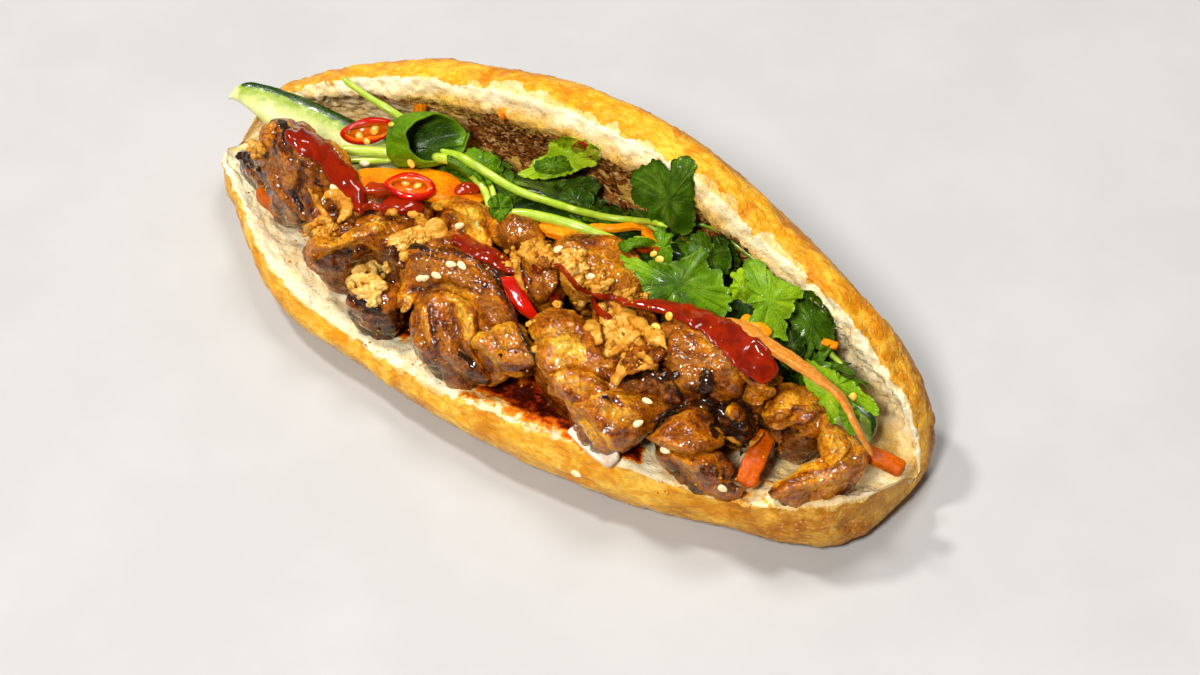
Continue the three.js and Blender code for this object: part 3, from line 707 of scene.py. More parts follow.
    # the pit mask darkens the crumb in its pores and pits: painted shade
    pit = np.clip(pits * (0.35 + 0.4 * wall), 0, 1)
    oil_line = np.array([at_z(*p) for p in ((372, 312, 17), (420, 338, 17), (470, 372, 17), (520, 400, 17), (560, 416, 17), (604, 436, 18))])
    ol = seg_dist(G, oil_line)
    strong = np.exp(-((X - np.mean([oil_line[3][0], oil_line[4][0]])) / 20.0) ** 2)
    oil = sm(6.0, 1.0, ol - 2.0 * strong) * (0.35 + 0.5 * strong)
    oil = np.maximum(oil, sm(7.0, 2.0, seg_dist(G, np.array([at_z(475, 392, 19), at_z(512, 410, 19), at_z(560, 428, 20)]))) * 0.42)
    oil = np.maximum(oil, 0.9 * sm(16.6, 15.2, G[..., 2]) * sm(-70, -40, X) * sm(78, 60, X))
    for px, py, z, r, a in ((398, 368, 22, 2.6, 0.34), (438, 396, 22, 2.2, 0.22), (590, 446, 24, 4.0, 0.5), (610, 462, 24, 3.0, 0.3), (770, 500, 21, 6.0, 0.2), (806, 505, 21, 5.0, 0.16), (688, 500, 18, 3.0, 0.4), (740, 515, 15, 4.0, 0.4), (252, 262, 21, 3.0, 0.12),
                            (420, 320, 18, 5.0, 0.4), (745, 470, 20, 8.0, 0.3), (700, 470, 20, 10.0, 0.2)):
        c = at_z(px, py, z)
        oil = np.maximum(oil, a * np.exp(-(np.linalg.norm(G - c, axis=-1) / r) ** 2))
    # the orange stain that spreads from under the meat over the front ledge
    qp = to_px(G)
    halo = px_line(qp + 4.0 * np.stack([fbm(G, 7.0, 3, 98), fbm(G, 7.0, 3, 99)], -1), [(380, 306), (402, 324), (440, 349), (480, 372), (520, 391), (560, 406), (606, 434), (640, 452)])
    rad = np.interp(qp[..., 0], [380, 420, 455, 490, 540, 590, 625, 650], [3, 4, 8, 17, 25, 20, 11, 5])
    oil = np.maximum(oil, np.clip(1.15 * np.exp(-(halo / rad) ** 2) - 0.08, 0, 1) * sm(13.0, 15.0, G[..., 2]) * (N[..., 2] > -0.2) * (qp[..., 1] > 300) * sm(30.0, 24.0, G[..., 2]))
    # sauce specks on the upper crust's rim
    for px, py, z, r, a in ((448, 84, 71, 1.8, 0.75), (462, 75, 72, 2.0, 0.65), (478, 79, 72, 1.5, 0.6), (438, 93, 68, 1.6, 0.5), (505, 119, 62, 2.6, 0.55), (512, 126, 60, 2.2, 0.5), (418, 70, 71, 3.0, 0.25)):
        c = at_z(px, py, z)
        oil = np.maximum(oil, a * np.exp(-(np.linalg.norm(G - c, axis=-1) / r) ** 2))
    # the tan band from just below the upper rim down the inner wall, weaker at both ends, and the darker crumb deep in
    # the hollow are painted shade; the small random part is the crumb's own tone
    stain = np.clip(0.16 + (0.80 * sm(17.1, 17.95, u + 0.16 * fbm(G, 6, 2, 94)) * (1 - 0.85 * sm(52, 84, X)) * (1 - 0.6 * sm(-52, -72, X)) + 0.12 * fbm(G, 9, 3, 96)) * wall + 0.6 * (1 - ledge) * (1 - wall), 0, 1)
    stain = np.where(ledge > 0.5, np.clip(0.0 + 0.36 * sm(40, 80, X) + 0.16 * fbm(G, 9, 3, 97), 0, 1), stain)
    # a darker yellow band along the foot of the meat on the ledge: partly oil soaked into the crumb, partly painted
    # shade where the meat shades the ledge
    near = px_line(qp, [(262, 205), (285, 246), (312, 280), (340, 304), (360, 316)])
    stain = np.where(ledge > 0.5, np.maximum(stain, 0.34 * np.exp(-(near / 10.0) ** 2)), stain)
    nx, nj = G.shape[:2]
    V = V.reshape(-1, 3)
    faces = [grid_faces(nx, nj)]
    caps = []
    for row in (0, nx - 1):
        c = V[row * nj:(row + 1) * nj].mean(0)
        V = np.vstack([V, c])
        idx = len(V) - 1
        a = row * nj + np.arange(nj)
        b = row * nj + (np.arange(nj) + 1) % nj
        t = np.stack([a, b, np.full(nj, idx)] if row == 0 else [b, a, np.full(nj, idx)], -1)
        caps.append(t)
    faces.append(np.vstack(caps))
    pad = lambda a: np.concatenate([a.ravel(), [a[0].mean(), a[-1].mean()]])
    attrs = {k: pad(np.asarray(v, float)) for k, v in dict(crumb=crumb, gold=np.clip(gold, 0, 1), dark=dark, oil=np.clip(oil, 0, 1), pit=pit, stain=stain, speck=speck).items()}
    ob = make("bread", V, faces, mat, attrs, slot="bread_crust", stands_for=("bread_roll",))
    solid(V, faces)
    return ob, G, N, S, x


BREAD = bread_material()
bread, BG, BN, BS, BX = build_bread(BREAD)

# SECTION-FILLING
# ------------------------------------------------------------------------------------------
# what lies in the roll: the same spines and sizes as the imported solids
# ------------------------------------------------------------------------------------------
PIECES = {
    "cucumber_spear_left": {"s": [[-113.7, 7.3, 31.0], [-97.0, 10.6, 30.0], [-77.5, 12.1, 29.0], [-59.2, 14.7, 27.0]], "w": 16, "h": 7, "lump": 0.02, "roll": -38},
    "cucumber_spear_right": {"s": [[48.5, 12.8, 24.0], [74.3, 9.3, 24.0], [95.6, 6.9, 24.0], [109.9, 6.5, 23.0]], "w": 13, "h": 6, "lump": 0.02, "roll": -30},
    "daikon_strip_front": {"s": [[39.6, -37.3, 23.0], [48.9, -40.5, 24.0], [56.6, -42.0, 24.0]], "w": 5, "h": 3.4, "lump": 0.05},
    "carrot_strip_left_end": {"s": [[-89.7, -12.8, 24.0], [-83.1, -15.0, 24.0], [-77.3, -15.4, 23.0]], "w": 5.5, "h": 4.5, "deep": 6.7, "lump": 0.05},
    "carrot_strip_front": {"s": [[86.8, -11.5, 27.0], [88.9, -21.4, 26.0], [90.7, -29.5, 24.0]], "w": 6.5, "h": 3.2, "lump": 0.05},
    "carrot_strip_right_end": {"s": [[111.6, -2.5, 27.0], [118.2, -1.7, 26.0], [124.0, -0.6, 25.0]], "w": 5.5, "h": 4, "lump": 0.05},
    "carrot_strip_back": {"s": [[-59.4, 21.8, 40.0], [-58.3, 23.6, 44.0], [-58.2, 24.7, 48.0]], "w": 5, "h": 2.6, "lump": 0.04},
    "meat_slice_01": {"s": [[-18.3, -28.3, 33.0], [-9.7, -33.4, 31.0], [-1.2, -35.6, 29.0], [9.2, -33.7, 27.0]], "w": 17, "h": 14, "deep": 18.0, "lump": 0.12, "seed": 5},
    "meat_slice_02": {"s": [[64.0, -30.1, 33.0], [72.5, -29.9, 30.0], [80.1, -31.4, 28.0], [86.7, -33.5, 26.0]], "w": 19, "h": 15, "deep": 17.2, "lump": 0.12, "seed": 13},
    "meat_slice_03": {"s": [[-54.5, -33.4, 31.0], [-49.4, -24.4, 33.0], [-41.1, -16.2, 35.0], [-32.9, -11.4, 34.0]], "w": 15, "h": 16, "deep": 21.2, "lump": 0.09, "seed": 2},
    "meat_slice_04": {"s": [[-102.4, -6.5, 26.0], [-94.5, -9.4, 26.0], [-85.2, -11.5, 27.0]], "w": 7, "h": 7, "deep": 11.3, "lump": 0.15, "seed": 21},
    "meat_slice_05": {"s": [[-40.8, -33.8, 27.0], [-32.1, -33.9, 28.0], [-26.2, -29.3, 30.0]], "w": 13, "h": 11, "deep": 14.3, "lump": 0.14, "seed": 23},
    "meat_slice_06": {"s": [[-58.1, -13.2, 36.0], [-48.3, -11.7, 37.0], [-39.0, -9.6, 38.0], [-31.9, -3.7, 38.0]], "w": 14, "h": 13, "deep": 23.2, "lump": 0.12, "seed": 24},
    "meat_slice_07": {"s": [[20.7, -20.2, 40.0], [29.2, -26.0, 38.0], [40.8, -30.2, 35.0], [53.2, -33.7, 32.0], [60.4, -34.5, 29.0]], "w": 22, "h": 19, "deep": 22.8, "lump": 0.12, "seed": 10},
    "meat_slice_08": {"s": [[-33.7, -22.7, 34.0], [-25.3, -18.6, 37.0], [-13.9, -15.8, 38.0], [-2.5, -17.2, 36.0], [3.3, -21.4, 34.0]], "w": 18, "h": 18, "deep": 23.8, "lump": 0.1, "seed": 4},
    "meat_slice_09": {"s": [[-0.7, -28.3, 36.0], [8.0, -30.8, 36.0], [15.5, -31.8, 34.0], [19.2, -30.4, 31.0]], "w": 14, "h": 14, "deep": 20.2, "lump": 0.14, "seed": 6},
    "meat_slice_10": {"s": [[-88.2, -4.3, 40.0], [-78.1, -9.7, 40.0], [-68.4, -12.2, 36.0], [-60.0, -13.1, 30.0]], "w": 23, "h": 26, "deep": 22.5, "lump": 0.12, "seed": 1},
    "meat_slice_11": {"s": [[-3.4, -4.3, 36.0], [7.3, -7.6, 36.0], [15.4, -9.2, 34.0]], "w": 15, "h": 16, "deep": 21.3, "lump": 0.1, "seed": 22},
    "meat_slice_12": {"s": [[-11.8, -2.2, 40.0], [-6.3, 1.1, 42.0], [0.9, 2.6, 40.0]], "w": 15, "h": 15, "deep": 24.7, "lump": 0.06, "seed": 8},
    "meat_slice_13": {"s": [[5.7, 0.8, 41.0], [14.7, 2.6, 43.0], [24.8, 3.0, 42.0], [34.7, 2.4, 37.0]], "w": 19, "h": 17, "deep": 24.8, "lump": 0.1, "seed": 9},
    "meat_slice_14": {"s": [[-29.8, -2.7, 40.0], [-22.8, -1.4, 42.0], [-15.9, -2.3, 41.0], [-12.0, -3.9, 38.0]], "w": 11, "h": 12, "deep": 18.2, "lump": 0.14, "seed": 7},
    "meat_slice_15": {"s": [[48.5, -13.1, 40.0], [58.6, -11.3, 42.0], [69.0, -11.0, 40.0], [77.8, -11.3, 36.0]], "w": 21, "h": 19, "deep": 25.5, "lump": 0.12, "seed": 11},
    "meat_slice_16": {"s": [[46.9, -25.5, 37.0], [53.8, -20.8, 37.0], [63.4, -19.4, 36.0], [70.6, -19.3, 33.0]], "w": 15, "h": 13, "deep": 20.8, "lump": 0.14, "seed": 12},
    "meat_slice_17": {"s": [[67.5, -21.4, 33.0], [72.2, -16.6, 34.0], [79.4, -15.5, 31.0], [84.5, -15.1, 28.0]], "w": 12, "h": 12, "deep": 17.5, "lump": 0.18, "seed": 14},
    "meat_slice_18": {"s": [[75.4, -9.6, 37.0], [80.3, -8.1, 37.0], [82.8, -1.8, 37.0]], "w": 10, "h": 11, "deep": 19.0, "lump": 0.15, "seed": 17},
    "meat_slice_19": {"s": [[83.5, -9.0, 35.0], [89.4, -6.1, 36.0], [96.4, -3.6, 34.0], [101.7, -0.6, 33.0]], "w": 12, "h": 12, "deep": 18.5, "lump": 0.16, "seed": 15},
    "meat_slice_20": {"s": [[100.1, -5.3, 33.0], [106.3, -6.9, 31.0], [110.8, -8.5, 28.0], [108.5, -16.1, 27.0], [104.6, -22.1, 26.0], [100.1, -28.2, 26.0]], "w": 9, "h": 9, "deep": 11.5, "lump": 0.1, "seed": 16},
    "coriander_bunch": {"s": [[-49.1, 11.7, 38.0], [-22.0, 14.1, 40.0], [-0.4, 18.5, 40.0], [25.3, 21.3, 40.0], [49.4, 20.9, 40.0], [76.6, 15.2, 37.0], [99.7, 10.2, 31.0]], "w": 25, "h": 20, "deep": 22.0, "lump": 0.12, "seed": 31},
    "rolled_leaf": {"s": [[-54.4, 6.8, 47.0], [-49.1, 8.6, 50.0], [-42.9, 11.9, 50.0], [-36.7, 13.9, 47.0]], "w": 13, "h": 13, "lump": 0.04, "seed": 32},
    "carrot_slice_large": {"s": [[-58.7, -9.1, 42.0], [-46.6, -3.0, 43.0], [-34.9, 2.5, 43.0], [-21.9, 7.2, 42.0]], "w": 12.5, "h": 3.2, "lump": 0.04},
    "carrot_strip_mid": {"s": [[1.7, 3.6, 46.0], [10.7, 5.5, 46.0], [19.1, 7.3, 44.0]], "w": 5, "h": 2.8, "lump": 0.05},
    "carrot_ribbon_long": {"s": [[64.5, 1.6, 48.0], [75.4, -1.3, 49.0], [87.7, -2.2, 48.0], [98.8, -2.2, 46.0], [107.2, -3.2, 42.0], [112.8, -5.6, 38.0], [119.1, -9.3, 34.0]], "w": 6.5, "h": 2.8, "lump": 0.04},
    "chilli_ring_top": {"s": [[-45.3, -9.2, 47.0], [-39.0, -5.6, 48.0], [-32.6, -1.9, 47.0]], "w": 9, "h": 4, "lump": 0.03},
    "chilli_ring_back": {"s": [[-75.0, 10.0, 38.0], [-70.0, 14.2, 39.0], [-63.5, 16.8, 38.0]], "w": 9, "h": 4.5, "lump": 0.03},
    "chilli_strip_mid": {"s": [[3.1, -20.7, 47.0], [9.7, -22.8, 47.0], [17.0, -24.1, 42.0]], "w": 8.5, "h": 3.8, "lump": 0.04},
    "crispy_onion_left": {"s": [[-63.6, -27.5, 38.0], [-58.2, -25.7, 42.0], [-55.2, -18.2, 44.0]], "w": 8, "h": 6, "lump": 0.2, "seed": 3},
    "crispy_onion_flat": {"s": [[-30.9, -25.6, 46.0], [-25.5, -21.4, 48.0], [-21.4, -13.7, 48.0]], "w": 9, "h": 5, "lump": 0.16, "seed": 6},
    "crispy_onion_chunk": {"s": [[-34.2, -38.3, 33.0], [-33.9, -33.5, 38.0], [-30.7, -29.3, 38.0], [-28.0, -31.4, 34.0]], "w": 11, "h": 10, "lump": 0.16, "seed": 8},
    "crispy_onion_mid": {"s": [[31.2, -17.2, 50.0], [38.2, -22.5, 50.0], [44.9, -25.5, 47.0]], "w": 9, "h": 6, "lump": 0.2, "seed": 9},
    "crispy_onion_strip": {"s": [[37.2, -15.2, 51.0], [47.0, -17.0, 52.0], [56.1, -17.8, 51.0]], "w": 6, "h": 5, "lump": 0.18, "seed": 12},
    "crispy_onion_low": {"s": [[44.4, -28.6, 47.0], [48.6, -25.2, 49.0], [51.6, -19.8, 50.0]], "w": 7, "h": 5, "lump": 0.18, "seed": 15},
    "crispy_onion_right": {"s": [[83.3, -26.6, 33.0], [87.0, -24.3, 34.0], [89.5, -19.2, 35.0]], "w": 4.5, "h": 3.5, "lump": 0.16, "seed": 18},
    "sauce_left": {"s": [[-77.1, -13.4, 53.0], [-69.3, -15.8, 53.5], [-60.8, -16.8, 51.0], [-53.4, -17.5, 46.0]], "w": 8, "h": 4.5, "lump": 0.1, "seed": 41},
    "sauce_middle": {"s": [[-16.4, -15.8, 47.0], [-6.9, -16.3, 48.0], [4.2, -16.4, 48.0]], "w": 7.5, "h": 5, "lump": 0.06, "seed": 42},
    "sauce_right": {"s": [[33.7, -15.9, 52.0], [47.9, -12.4, 53.0], [61.5, -8.1, 53.0], [77.1, -10.2, 53.0], [87.0, -11.2, 48.0]], "w": 8.5, "h": 5, "lump": 0.08, "seed": 43},
}


def spine_of(name, n):
    return curve(np.array(PIECES[name]["s"], float) + SHIFT, n)


def sweep(C, w, h, ni, nj, roll=0.0, n=2.0, blunt=4.0, deep=None, up=(0, 0, 1.0), rough=0.0, seed=1, start=0.0):
    """Closed superellipse tube along the curve C. Returns grid, angle, place along (0..1), centres."""
    s = -np.cos(np.pi * np.arange(ni) / (ni - 1))
    t = (s + 1) / 2
    L = np.linspace(0, 1, len(C))
    P = np.stack([np.interp(t, L, C[:, k]) for k in range(3)], -1)
    T, S, O = frames(C, up)
    S = unit(np.stack([np.interp(t, L, S[:, k]) for k in range(3)], -1))
    O = unit(np.stack([np.interp(t, L, O[:, k]) for k in range(3)], -1))
    r = np.radians(roll if np.ndim(roll) == 0 else np.interp(t, np.linspace(0, 1, len(roll)), roll))
    r = np.broadcast_to(r, t.shape)[:, None]
    S, O = S * np.cos(r) + O * np.sin(r), O * np.cos(r) - S * np.sin(r)
    a = start + np.arange(nj) / nj * 2 * np.pi
    c, q = np.cos(a), np.sin(a)
    end = np.maximum(1 - np.abs(s) ** blunt, 0) ** 0.5
    if np.ndim(w):
        w = np.interp(t, np.linspace(0, 1, len(w)), w)[:, None]
    if np.ndim(h):
        h = np.interp(t, np.linspace(0, 1, len(h)), h)[:, None]
    rad = 1.0 / (np.abs(c) ** n + np.abs(q) ** n) ** (1 / n)
    bump = 1 + rough * (0.6 * np.sin(3 * a[None] + 6 * t[:, None] + seed) + 0.6 * np.sin(2 * a[None] - 9 * t[:, None] + 2.3 * seed))
    X = w / 2 * end[:, None] * (rad * c)[None] * bump
    H = np.where(q[None] < 0, deep if deep else np.asarray(h) / 2, np.asarray(h) / 2)
    Y = H * end[:, None] * (rad * q)[None] * bump
    G = P[:, None] + S[:, None] * X[..., None] + O[:, None] * Y[..., None]
    return G, np.broadcast_to(a[None], X.shape), np.broadcast_to(t[:, None], X.shape), P, (T, S, O)


def out_normals(G, P):
    N = grid_normals(G)
    if np.mean(np.sum(N * (G - P[:, None]), -1)) < 0:
        N = -N
    N[0] = unit(P[0] - P[1])
    N[-1] = unit(P[-1] - P[-2])
    return N


def tube_mesh(G):
    """A swept grid whose first and last rings are points, closed there."""
    ni, nj = G.shape[:2]
    V = np.vstack([G[0].mean(0), G[1:-1].reshape(-1, 3), G[-1].mean(0)])
    q = grid_faces(ni - 2, nj, base=1)
    j = np.arange(nj)
    k = (j + 1) % nj
    first = np.stack([np.zeros(nj, int), 1 + j, 1 + k], -1)
    b = 1 + (ni - 3) * nj
    last = np.stack([np.full(nj, len(V) - 1), b + k, b + j], -1)
    return V, q, np.vstack([first, last])


def tube_attr(A):
    return np.concatenate([[A[0].mean()], A[1:-1].ravel(), [A[-1].mean()]])


# ---- glazed meat --------------------------------------------------------------------------
def meat_material():
    m = Mat("grilled_meat")
    tone, char, cav, pale = m.attr("tone"), m.attr("char"), m.attr("cav"), m.attr("pale")
    n1 = m.noise(3.0, 5.0, 0.62, 0.9)
    n2 = m.noise(0.95, 4.0, 0.65, 0.5)
    n3 = m.noise(1.7, 4.0, 0.7, 0.3)
    n4 = m.noise(0.45, 2.0, 0.6)
    f = m.math("ADD", tone, m.range(n1, 0.27, 0.73, -0.17, 0.17, smooth=False))
    f = m.math("ADD", f, m.range(n4, 0.3, 0.7, -0.05, 0.05, smooth=False))
    f = m.math("ADD", f, m.range(n2, 0.32, 0.68, -0.17, 0.17, smooth=False), clamp=True)
    col = m.ramp(f, (0.0, lin((34, 12, 2))), (0.18, lin((86, 34, 4))), (0.36, lin((144, 70, 3))), (0.56, lin((190, 108, 7))),
                 (0.76, lin((224, 152, 20))), (1.0, lin((250, 204, 74))))
    fl = m.ramp(m.math("ADD", m.math("MULTIPLY", n1, 0.6), m.math("MULTIPLY", n2, 0.4)), (0.34, lin((118, 62, 14))), (0.56, lin((178, 114, 36))), (0.70, lin((226, 172, 82))))
    bare = m.math("MAXIMUM", pale, m.range(m.noise(5.2, 3.0, 0.6, 0.8), 0.50, 0.66, 0.0, 0.62))
    col = m.mix(m.math("MULTIPLY", bare, m.range(n3, 0.26, 0.55), clamp=True), col, fl)
    # little flecks of pale fat, and pools of dark glaze
    fat = m.math("MULTIPLY", m.range(m.noise(1.3, 3.0, 0.6, 0.4), 0.60, 0.72), m.range(m.noise(6.0, 2.0, 0.5), 0.45, 0.62, 0, 0.4))
    col = m.mix(fat, col, lin((222, 166, 74)))
    pool = m.math("MULTIPLY", m.range(m.noise(2.6, 4.0, 0.62, 1.2), 0.52, 0.66), m.range(m.noise(9.0, 2.0, 0.5), 0.42, 0.62, 0.0, 0.5))
    col = m.mix(pool, col, lin((84, 32, 4)))
    red = m.range(m.noise(6.0, 3.0, 0.6, 0.5), 0.54, 0.74, 0, 0.14)
    col = m.mix(red, col, lin((118, 38, 4)))
    # painted shade: the colour is darkened in creases, in the valleys of the wrinkles and on the lower side of each
    # slice
    col = m.mix(m.math("MULTIPLY", cav, 0.85, clamp=True), col, lin((44, 15, 3)))
    c = m.range(m.math("ADD", char, m.range(n3, 0.3, 0.7, -0.3, 0.3)), 0.40, 0.66)
    col = m.mix(c, col, m.ramp(n2, (0.35, lin((16, 8, 5))), (0.7, lin((58, 26, 10)))))
    # tiny dark grains of pepper and burnt glaze
    grain = m.math("MULTIPLY", m.range(m.voronoi(1.6, v=m.P), 0.19, 0.10), m.range(m.noise(5.0, 2.0, 0.5), 0.48, 0.58))
    col = m.mix(m.math("MULTIPLY", grain, 0.85), col, lin((24, 9, 3)))
    m.set(Base_Color=col, Roughness=m.range(n3, 0.35, 0.7, 0.26, 0.42))
    m.b.inputs["Specular IOR Level"].default_value = 0.10
    m.put(m.b.inputs["Coat Weight"], m.range(m.attr("matt"), 0.0, 1.0, 1.0, 0.12, smooth=False))
    m.b.inputs["Coat Roughness"].default_value = 0.06
    m.b.inputs["Coat IOR"].default_value = 1.5
    m.b.inputs["Coat Tint"].default_value = (1.0, 0.92, 0.74, 1.0)
    m.b.inputs["Subsurface Weight"].default_value = 0.04
    m.b.inputs["Subsurface Radius"].default_value = (1.0, 0.4, 0.15)
    m.b.inputs["Subsurface Scale"].default_value = 1.0 * MM
    wr = m.noise(1.0, 3.0, 0.6, 0.6)
    h = m.math("ADD", m.math("ADD", m.math("MULTIPLY", n3, 1.0), m.math("MULTIPLY", wr, 0.6)), m.math("MULTIPLY", n4, 0.12))
    m.put(m.b.inputs["Normal"], m.bump(h, 1.1, 0.9))
    wet = m.math("ADD", m.noise(2.4, 0.0, 0.4, 0.3), m.math("MULTIPLY", m.noise(1.1, 0.0, 0.4), 0.24))
    m.put(m.b.inputs["Coat Normal"], m.bump(wet, 1.15, 0.9))
    return m.m


MEAT = meat_material()


def px_side(q, pts):
    """Distance to a polyline and the side of it: positive below it when it runs to the right."""
    best, side = np.full(q.shape[:-1], 1e9), np.zeros(q.shape[:-1])
    pts = np.array(pts, float)
    for k, (a, b) in enumerate(zip(pts[:-1], pts[1:])):
        ab = b - a
        t = np.clip(((q - a) @ ab) / max(ab @ ab, 1e-9), 0, 1)
        g = np.linalg.norm(q - (a + t[..., None] * ab), axis=-1)
        s = np.sign(ab[0] * (q[..., 1] - a[1]) - ab[1] * (q[..., 0] - a[0]))
        side = np.where(g < best, s, side)
        best = np.minimum(best, g)
    ends = np.minimum(np.linalg.norm(q - pts[0], axis=-1), np.linalg.norm(q - pts[-1], axis=-1))
    return best, side, ends


def meat_skin(G, N, P, t, d, tone, char, pale, lobe, amp, wrinkle, seed, end_char, top_tone, spots=(), creases=(), rims=(), flaps=()):
    """Relief and colours of a slice: soft overlapping lobes, creases where they meet, fine fibres."""
    d = unit(np.asarray(d, float))
    f = unit(np.cross(d, np.array([0.15, -0.25, 1.0])))
    e = np.cross(d, f)
    W = G + 2.6 * np.stack([fbm(G, 9.0, 2, seed + 9), fbm(G, 9.0, 2, seed + 10), fbm(G, 9.0, 2, seed + 11)], -1) \
        + 0.7 * np.stack([fbm(G, 2.8, 2, seed + 12), fbm(G, 2.8, 2, seed + 13), fbm(G, 2.8, 2, seed + 14)], -1)
    Q = np.stack([W @ d / lobe, W @ f / (lobe * 2.1), W @ e / (lobe * 1.25)], -1)
    d1, d2, who = worley(Q, 1.0, seed + 2)
    gap = d2 - d1
    shown = sm(-0.35, 0.15, fbm(G, 11.0, 2, seed + 15))
    crease = np.exp(-(gap / 0.09) ** 2) * shown
    dome = 1 - np.exp(-gap * 3.2)
    q = to_px(G)
    front = sm(-0.1, 0.3, N @ BACK)
    wob = 1 + 0.3 * fbm(G, 3.0, 2, seed + 16)
    cut = np.zeros(G.shape[:-1])
    lift = np.zeros(G.shape[:-1])
    for pts, r, k in creases:
        g = px_line(q + 2.2 * np.stack([fbm(G, 3.5, 2, seed + 17), fbm(G, 3.5, 2, seed + 18)], -1), pts) * wob
        cut = np.maximum(cut, k * np.exp(-(g / r) ** 2) * front)
    for pts, r, k in rims:
        g = px_line(q + 2.0 * np.stack([fbm(G, 3.5, 2, seed + 19), fbm(G, 3.5, 2, seed + 20)], -1), pts) * wob
        lift = np.maximum(lift, k * np.exp(-(g / r) ** 2) * front)
    step, edge = np.zeros(G.shape[:-1]), np.zeros(G.shape[:-1])
    bent = q + 2.6 * np.stack([fbm(G, 4.5, 2, seed + 27), fbm(G, 4.5, 2, seed + 28)], -1) + 0.8 * np.stack([fbm(G, 1.6, 2, seed + 29), fbm(G, 1.6, 2, seed + 30)], -1)
    for pts, k in flaps:
        g, sd, ends = px_side(bent, pts)
        on = front * sm(0.0, 9.0, ends)
        up = (sd > 0)
        step = step + k * on * np.where(up, 1.25 * np.exp(-(g / 13.0) ** 2), -1.35 * np.exp(-(g / 6.0) ** 2))
        cut = np.maximum(cut, np.where(up, 0.0, 0.8 * k * np.exp(-(g / 3.4) ** 2)) * on)
        edge = np.maximum(edge, np.where(up, np.exp(-((g - 1.5) / 2.6) ** 2), 0.0) * on)
    big = 1.0 * fbm(G, 15.0, 2, seed) + 0.5 * fbm(G, 7.0, 2, seed + 5)
    rd = ridged(np.stack([W @ d, W @ f * 0.3, W @ e], -1), 3.0, 3, seed + 30)
    patch = sm(-0.1, 0.45, fbm(G, 8.0, 2, seed + 33))
    fine = fbm(W, 1.5, 3, seed + 40)
    pebble = worley(W, 2.3, seed + 41)[0]
    fade = sm(0.0, 0.10, np.minimum(t, 1 - t))
    hgt = big + 0.55 * amp * (dome - 0.6) + amp * 0.40 * (who - 0.5) * (1 - np.exp(-(gap / 0.16) ** 2)) - 0.35 * amp * crease
    hgt = hgt + 0.8 * wrinkle * (0.1 + 0.9 * patch) * (rd - 0.55) + 0.10 * fine + 0.14 * (1 - patch) * (0.5 - pebble)
    hgt = hgt - 0.8 * cut + 0.8 * lift + step
    V = G + N * (hgt * (0.25 + 0.75 * fade))[..., None]
    # low is the lower side of the slice; it and the creases darken the colour (cavity mask, lower tone, more char):
    # painted shade
    low = sm(1.0, -6.0, np.sum((G - P[:, None]) * np.array([0, 0, 1.0]), -1))
    cav = np.clip(0.55 * crease * (0.4 + 0.6 * fade) + 0.9 * cut + sm(0.32, 0.12, rd) * 0.5 * patch + 0.35 * low, 0, 1)
    tn = tone + 0.20 * fbm(G, 7.0, 3, seed + 50) + 0.22 * (who - 0.5) + 0.22 * (rd - 0.55) * patch + 0.18 * (dome - 0.7) - 0.10 * low
    tn = tn + top_tone * sm(-0.2, 0.9, N[..., 2]) + 0.2 * lift + 0.10 * np.clip(step, 0, 1)
    spot = sm(0.15, 0.6, fbm(G, 6.0, 3, seed + 60))
    ch = char * (0.2 + 0.8 * spot) + 0.5 * char * np.exp(-((gap - 0.14) / 0.08) ** 2) + end_char * sm(0.16, 0.0, np.minimum(t, 1 - t)) * (0.5 + spot) + 0.2 * char * low
    pl = pale * sm(-0.2, 0.35, fbm(G, 9.0, 2, seed + 70)) * sm(0.0, 0.2, gap)
    # the thin edge of a fold is either crisp and golden or burnt
    burnt = sm(-0.1, 0.25, fbm(G, 9.0, 2, seed + 75))
    tn = tn + 0.30 * edge * (1 - burnt)
    ch = ch + 0.55 * edge * burnt
    pl = pl * (1 - edge)
    for px, py, r, kind, k in spots:
        g = np.hypot(q[..., 0] - px, q[..., 1] - py) * (1 + 0.4 * fbm(G, 4.0, 2, seed + 80))
        w = np.exp(-(g / r) ** 2) * front
        if kind == "t":
            tn = tn + (k - tn) * w * 0.85
            pl = pl * (1 - 0.7 * w)
            ch = ch * (1 - 0.6 * w)
        elif kind == "c":
            ch = np.maximum(ch, k * w)
        else:
            pl = np.maximum(pl, k * w)
            ch = ch * (1 - 0.7 * w)
    return V, dict(tone=np.clip(tn, 0, 1), char=np.clip(ch, 0, 1), cav=cav, pale=np.clip(pl, 0, 1))


